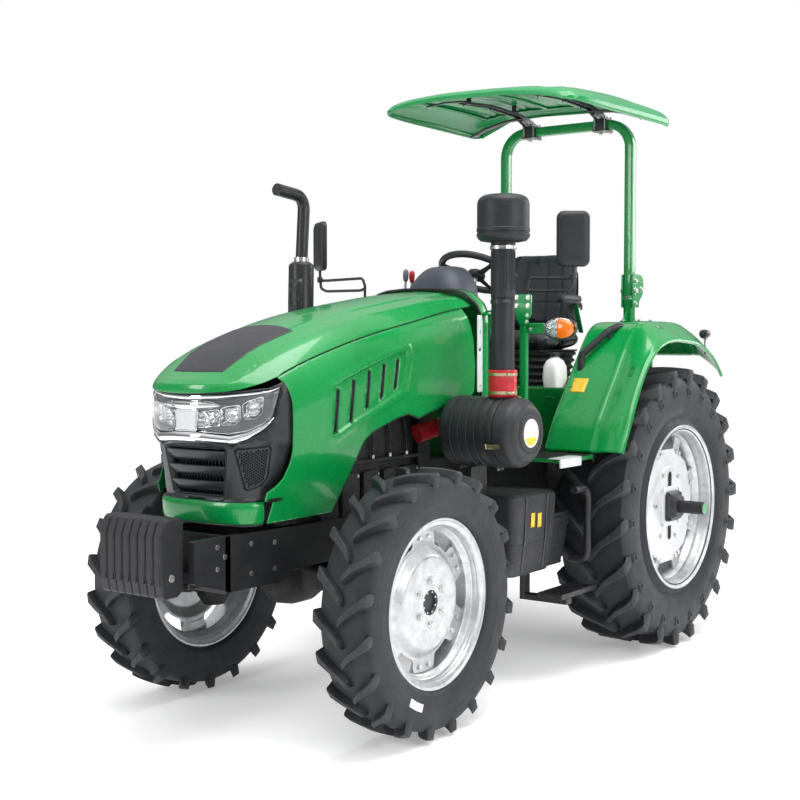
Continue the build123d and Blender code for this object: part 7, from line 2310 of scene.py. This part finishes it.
k.obj("tank_skin", [M["tank"], M["trim"]], "chassis", "black_plastic", ("fuel_tank",), weld=0.05, angle=30)
# straps and blank labels
k = Mesh()
for x in (-30, 150):
    pts = [(x, 637 - (860 - 846) * 0, 846), (x, 635.5, 800), (x, 633, 740), (x, 629.8, 660), (x, 622, 610), (x, 611, 520)]
    pts = [(x, y_ + 0.0, z_) for _, y_, z_ in pts]
    k.add(*sweep(pts, roundrect2(26, 2.4, 1, 2), up=(0, 1, 0)), mat=0)
k.obj("tank_straps", [M["frame"]], "chassis", "frame_black", angle=35)
k = Mesh()
for x0, z0 in ((20, 706), (78, 712)):
    rows = [[(x, 630.6 + (z - 700) * 0.045 + 0.6, z) for x in np.linspace(x0, x0 + 34, 5)] for z in np.linspace(z0, z0 + 62, 6)]
    v, f = loft(rows)
    k.add(v, orient(v, f, lambda c: (0, 1, 0)), 0)
k.obj("tank_labels", [M["sticker_yellow"]], "chassis", "black_plastic", weld=0.02, angle=40, solid=0.8, solid_off=1)
k = Mesh()
bx = [(561, 12), (566, 4), (576, 0.5), (780, 0.5), (784, 5), (792, 5), (796, 0.5), (846, 0.5), (856, 5), (860, 14)]
k.add(*loft([[(p[0], p[1], z) for p in rect(-250 + g, 200 - g, -640 + g, -290 - g, 26, 5)] for z, g in bx], True, True), mat=0)
for y in (-560, -370):
    k.add(*cube(199, 203 - 3.4, y - 24, y + 24, 770, 806), mat=1)
k.obj("battery_skin", [M["tank"], M["steel"]], "chassis", "black_plastic", ("battery_box",), bevel=1.5, angle=35)
k = Mesh()
for s_ in (1, -1):
    for x in (-118, -62):
        pass
    y0, y1 = sorted((s_ * 472, s_ * 498))
    k.add(*prism(rect(-118, -62, y0, y1, 6), 354, 499, "z"), mat=0)
    y0, y1 = sorted((s_ * 478, s_ * 713))
    k.add(*prism(rect(-116, -64, y0, y1, 6), 354, 379, "z"), mat=0)
    # pierced tread: two rails joined by raised rungs
    for y in (597, 708):
        k.add(*prism(rect(-349, -21, min(s_ * (y - 6), s_ * (y + 6)), max(s_ * (y - 6), s_ * (y + 6)), 3), 381, 403.5, "z"), mat=0)
    for x in np.linspace(-340, -30, 15):
        k.add(*prism(rect(x - 6, x + 6, min(s_ * 600, s_ * 706), max(s_ * 600, s_ * 706), 3), 384, 398, "z"), mat=0)
        for yy in (622, 646, 670, 692):
            k.add(*cube(x - 5, x + 5, s_ * yy - 4, s_ * yy + 4, 398, 402.5), mat=0)
    for x in (-104, -76):
        k.add(*hexnut((x, s_ * 498, 470), (0, s_, 0), 13, 1.8, False), mat=1, smooth=False)
k.obj("step_skin", [M["frame"], M["steel"]], "chassis", "frame_black", ("steps",), bevel=1, angle=35)
tg_lo, tg_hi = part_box("tube_guards")
k = Mesh()
for s_ in ((1, -1) if tg_lo.y < 0 else (1,)):
    k.add(*pipe([(-170, s_ * 690, 852), (-300, s_ * 690, 852), (-300, s_ * 690, 520), (-300, s_ * 602, 520)], 17.6, 50, 20, 9), mat=0)
    for p, d in (((-172, s_ * 690, 852), (-1, 0, 0)), ((-300, s_ * 604, 520), (0, s_, 0))):
        k.add(*lathe(p, d, [(0, 17.8), (4, 17.9), (8, 17.6)], 20), mat=0)
k.obj("guard_tubes", [M["frame"]], "chassis", "frame_black", ("tube_guards",), angle=40)

# ------------------------------------------------------------------ frame, front axle, weights
ff_lo, ff_hi = (v_ * 1000 for v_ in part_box("front_frame"))
k = Mesh()
for s_ in (1, -1):
    y0, y1 = sorted((s_ * 172, s_ * 199))
    k.add(*prism(fillet2([(602, 640), (602, 800), (1530, 814), (1718, 814), (1718, 660), (1530, 606), (1250, 602), (1180, 640), (700, 640)], [6, 10, 20, 10, 10, 30, 40, 40, 20], 4), y0, y1, "y"), mat=0)
    for x, z in ((660, 700), (660, 760), (1290, 660), (1290, 760), (1420, 660), (1420, 770), (1600, 700), (1600, 780), (1560, 740)):
        k.add(*hexnut((x, s_ * 199, z), (0, s_, 0), 19, 0.9, False), mat=1, smooth=False)
    for x in (880, 1120):
        k.add(*lathe((x, s_ * 196, 740), (0, s_, 0), [(0, 34), (3.6, 33), (3.6, 26), (-3, 24), (-3, 1)], 28), mat=0)
k.add(*cube(1532, 1560, -199, 199, 602, 813), mat=0)
k.add(*cube(602, 622, -170, 170, 642, 790), mat=0)
k.add(*prism(rect(1562, 1718, -170, 170, 6), 640, 662, "z"), mat=0)
k.add(*prism(rect(1250, 1530, -171, 171, 6), 606, 622, "z"), mat=0)
k.obj("frame_rails", [M["frame"], M["steel"]], "chassis", "frame_black", ("front_frame",), bevel=2, angle=35)
wl, wh = (v_ * 1000 for v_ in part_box("front_weights"))
k = Mesh()
n_w = 8
wy = np.linspace(wl.y + 1, wh.y - 1, n_w + 1)
o_ = fillet2([(wl.x + 0.5, 640), (wl.x + 0.5, wh.z - 6), (wl.x + 20, wh.z - 1), (wh.x - 24, wh.z - 1), (wh.x - 1, wh.z - 60), (wh.x - 1, 700), (wh.x - 14, wl.z + 1), (wl.x + 30, wl.z + 1)], [8, 6, 10, 30, 40, 20, 14, 10], 5)
for i in range(n_w):
    a, b = wy[i] + 1.0, wy[i + 1] - 1.0
    oi = shrink(o_, 4)
    n_ = len(o_)
    rows = [[(p[0], a, p[1]) for p in oi], [(p[0], a + 3, p[1]) for p in o_], [(p[0], b - 3, p[1]) for p in o_], [(p[0], b, p[1]) for p in oi]]
    k.add(*loft(rows, True, True), mat=0)
    ym = (a + b) / 2
    for z0, z1 in ((668, 742), (766, 838)):
        oo = fillet2([(ym - 12, z0), (ym + 12, z0), (ym + 12, z1), (ym - 12, z1)], 5, 3)
        k.add(*prism(oo, wh.x - 6, wh.x - 0.2, "x"), mat=0)
k.add(*cyl((wl.x + 60, wl.y + 0.6, 690), (wl.x + 60, wh.y - 0.6, 690), 14), mat=1)
k.obj("weight_plates", [M["cast_weight"], M["steel"]], "chassis", "cast_black", ("front_weights",), weld=0.05, bevel=0.8, angle=35)

al, ah = (v_ * 1000 for v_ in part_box("front_axle_beam"))
AXX = (al.x + ah.x) / 2
k = Mesh()
rows = []
for y in np.linspace(-538, 538, 61):
    a = abs(y)
    hgt = float(np.interp(a, [0, 70, 150, 300, 430, 500, 540], [112, 108, 84, 66, 72, 88, 90]))
    wid = float(np.interp(a, [0, 70, 150, 300, 430, 500, 540], [150, 140, 108, 88, 92, 104, 104]))
    zc = float(np.interp(a, [0, 150, 350, 540], [560, 548, 528, 520]))
    rows.append([(871 + p[0], y, zc + p[1]) for p in roundrect2(wid, hgt, 26, 5)])
k.add(*loft(rows, True, True), mat=0)
# differential bowl with bolted cover
k.add(*lathe((871 - 120, -70, 545), (1, 0, 0), [(0, 30), (6, 80), (18, 104), (60, 118), (150, 118), (214, 104), (236, 84), (262, 56), (286, 46), (286, 1)], 48), mat=0)
for i in range(10):
    t = 2 * math.pi * i / 10
    k.add(*hexnut((871 - 112, -70 + 84 * math.cos(t), 545 + 84 * math.sin(t)), (-1, 0, 0), 13, 7, True), mat=1, smooth=False)
for x0, x1 in ((652, 742), (1000, 1036)):
    k.add(*prism(fillet2([(-88, 600), (88, 600), (70, 672), (34, 684), (-34, 684), (-70, 672)], 14, 4), x0, x1, "x"), mat=0)
k.add(*cyl((652, 0, 626), (1037, 0, 626), 34), mat=0)
for s_ in (1, -1):
    k.add(*prism(fillet2([(800, 470), (800, 575), (940, 575), (940, 470)], 14, 4), min(s_ * 486, s_ * 538), max(s_ * 486, s_ * 538), "y"), mat=0)
    for z in (500, 545):
        for x in (815, 925):
            k.add(*hexnut((x, s_ * 486, z), (0, -s_, 0), 17, 9, True), mat=1, smooth=False)
k.obj("axle_casting", [M["cast"], M["steel"]], "chassis", "cast_black", ("front_axle_beam",) , bevel=1.5, angle=35)

# ------------------------------------------------------------------ engine block details (bolted on the carried shapes)
k = Mesh()
for s_ in (1, -1):
    ys_ = s_ * 168
    y0, y1 = sorted((ys_, s_ * 189))
    for x in (330, 470, 610, 750, 890):
        k.add(*prism(fillet2([(x, 760), (x + 110, 760), (x + 110, 980), (x, 980)], 18, 4), y0, y1, "y"), mat=0)
        k.add(*prism(fillet2([(x + 14, 774), (x + 96, 774), (x + 96, 966), (x + 14, 966)], 12, 4), *sorted((s_ * 150, s_ * 189.6)), "y"), mat=1)
        for z in (775, 965):
            k.add(*hexnut((x + 8, s_ * 189, z), (0, s_, 0), 12, 0.9, False), mat=2, smooth=False)
    k.add(*pipe([(300, s_ * 182, 1022), (1000, s_ * 182, 1022)], 9, 0, 14), mat=1)
for i, x in enumerate((420, 540, 660, 780, 900)):
    k.add(*pipe([(x, 130, 1210), (x, 172, 1196), (x - 8, 183, 1120), (x - 8, 183, 1030)], 5, 24, 12), mat=1)
    k.add(*lathe((x - 8, 183, 1030), (0, 0, 1), [(0, 9), (14, 9), (16, 6)], 6), mat=2)
k.add(*lathe((470, 186, 930), (0, -0.05, -1), [(0, 40), (4, 46), (120, 46), (132, 40), (137, 26), (138, 1)], 32), mat=3) if False else None
k.obj("engine_details", [M["engine"], M["engine"], M["steel"]], "chassis", "cast_black", angle=35)
# ------------------------------------------------------------------ rear linkage dressing and every other carried part
def cad(n):
    return frame["nodes"][n]


BYSLOT = {"hood_green": "green", "frame_black": "frame", "cast_black": "cast", "tyre_rubber": "rubber", "rim_silver": "silver", "black_plastic": "plastic", "grey_plastic": "grey", "lamp_chrome": "chrome", "lamp_orange": "amber", "hose_red": "red", "seat_vinyl": "vinyl", "shield_white": "white", "steel": "steel"}
BYNODE = {"radiator": "core", "engine_block": "engine", "lower_links": "frame", "lift_rods": "frame", "top_link": "steel", "pto_shaft": "steel", "link_pins": "steel", "tie_rod": "steel", "lift_arms": "cast", "drawbar": "frame"}
rec_nodes = {}
for n_ in frame["nodes"]:
    ob_ = frame["nodes"][n_]
    if ob_.hide_render:
        continue
    key = BYNODE.get(n_)
    if key is None:
        slot_ = None
        for row_ in frame["record"].get("nodes", []):
            if row_.get("name", row_.get("node")) == n_:
                slot_ = row_.get("material") or row_.get("slot")
        key = BYSLOT.get(str(slot_), "cast")
    ms = ob_.data.materials
    ms.clear()
    ms.append(M[key])
# ------------------------------------------------------------------ stage, lights, camera
def clay(obj_name, mat):
    o = bpy.data.objects.get(obj_name)
    if o:
        o.data.materials.clear()
        o.data.materials.append(mat)


left = sorted(o.name for o in bpy.data.objects if "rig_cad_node" in o and not o.hide_render)
print("CAD nodes still shown:", left)

floor_mat, nt_, b_ = new_mat("stage_floor")
v_ = coords(nt_)
nt_.links.new(ramp(nt_, noise(nt_, v_, 1.5, 3), [(0.3, (0.88, 0.88, 0.88)), (0.7, (0.93, 0.93, 0.93))]), b_.inputs["Base Color"])
b_.inputs["Roughness"].default_value = 0.85
b_.inputs["Specular IOR Level"].default_value = 0.1
b_.inputs["Emission Color"].default_value = (1.0, 1.0, 1.0, 1)
b_.inputs["Emission Strength"].default_value = 0.30
me_ = bpy.data.meshes.new("stage_floor")
F = 30.0
me_.from_pydata([(-F, -F, 0), (F, -F, 0), (F, F, 0), (-F, F, 0)], [], [(0, 1, 2, 3)])
floor = bpy.data.objects.new("stage_floor", me_)
floor.location = (0, 0, -0.0005)
me_.materials.append(floor_mat)
bpy.context.scene.collection.objects.link(floor)

sc = bpy.context.scene
world = bpy.data.worlds.new("studio")
sc.world = world
world.use_nodes = True
wn = world.node_tree
bg = wn.nodes["Background"]
tc = wn.nodes.new("ShaderNodeTexCoord")
sep = wn.nodes.new("ShaderNodeSeparateXYZ")
wn.links.new(tc.outputs["Generated"], sep.inputs[0])
rmp = wn.nodes.new("ShaderNodeValToRGB")
els = rmp.color_ramp.elements
els[0].position, els[0].color = 0.30, (0.07, 0.07, 0.072, 1)
els[1].position, els[1].color = 1.0, (1.15, 1.15, 1.15, 1)
e_ = els.new(0.50)
e_.color = (0.13, 0.13, 0.135, 1)
e_ = els.new(0.62)
e_.color = (0.30, 0.30, 0.31, 1)
e_ = els.new(0.80)
e_.color = (0.78, 0.78, 0.80, 1)
mp_ = wn.nodes.new("ShaderNodeMath")
mp_.operation = "MULTIPLY_ADD"
mp_.inputs[1].default_value = 0.5
mp_.inputs[2].default_value = 0.5
wn.links.new(sep.outputs["Z"], mp_.inputs[0])
wn.links.new(mp_.outputs[0], rmp.inputs["Fac"])
lp = wn.nodes.new("ShaderNodeLightPath")
mx = wn.nodes.new("ShaderNodeMix")
mx.data_type = "RGBA"
wn.links.new(lp.outputs["Is Camera Ray"], mx.inputs["Factor"])
wn.links.new(rmp.outputs["Color"], mx.inputs["A"] if False else mx.inputs[6])
mx.inputs[7].default_value = (1.0, 1.0, 1.0, 1)
wn.links.new(mx.outputs[2], bg.inputs["Color"])
bg.inputs["Strength"].default_value = 1.0


def area(name, loc, target, w, h, power, color=(1, 1, 1)):
    ld = bpy.data.lights.new(name, "AREA")
    ld.shape = "RECTANGLE"
    ld.size, ld.size_y = w, h
    ld.energy = power
    ld.color = color
    ob = bpy.data.objects.new(name, ld)
    ob.location = loc
    ob.rotation_euler = (Vector(target) - Vector(loc)).to_track_quat("-Z", "Y").to_euler()
    sc.collection.objects.link(ob)
    return ob


area("key_top", (0.5, 1.5, 6.5), (0, 0, 0.8), 5.0, 4.0, 330)
area("left_side", (0.5, 7.0, 3.0), (0.0, 0, 1.0), 4.2, 1.6, 170)
area("front_strip", (6.5, -2.5, 3.2), (0.6, 0, 1.0), 1.6, 2.6, 120)
area("rear_strip", (-6.0, 3.0, 3.4), (-0.8, 0, 1.2), 2.0, 2.6, 110)

cam_d = bpy.data.cameras.new("photo_angle")
cam_d.lens = 58.9
cam_d.sensor_width = 36
cam = bpy.data.objects.new("photo_angle", cam_d)
cam.location = (5.008, 3.481, 1.542)
cam.rotation_euler = (math.radians(87.194), 0, math.radians(125.93))
sc.collection.objects.link(cam)
sc.camera = cam
sc.view_settings.view_transform = "Standard"
sc.view_settings.look = "None"
sc.view_settings.exposure = 0.0

bpy.context.view_layer.update()
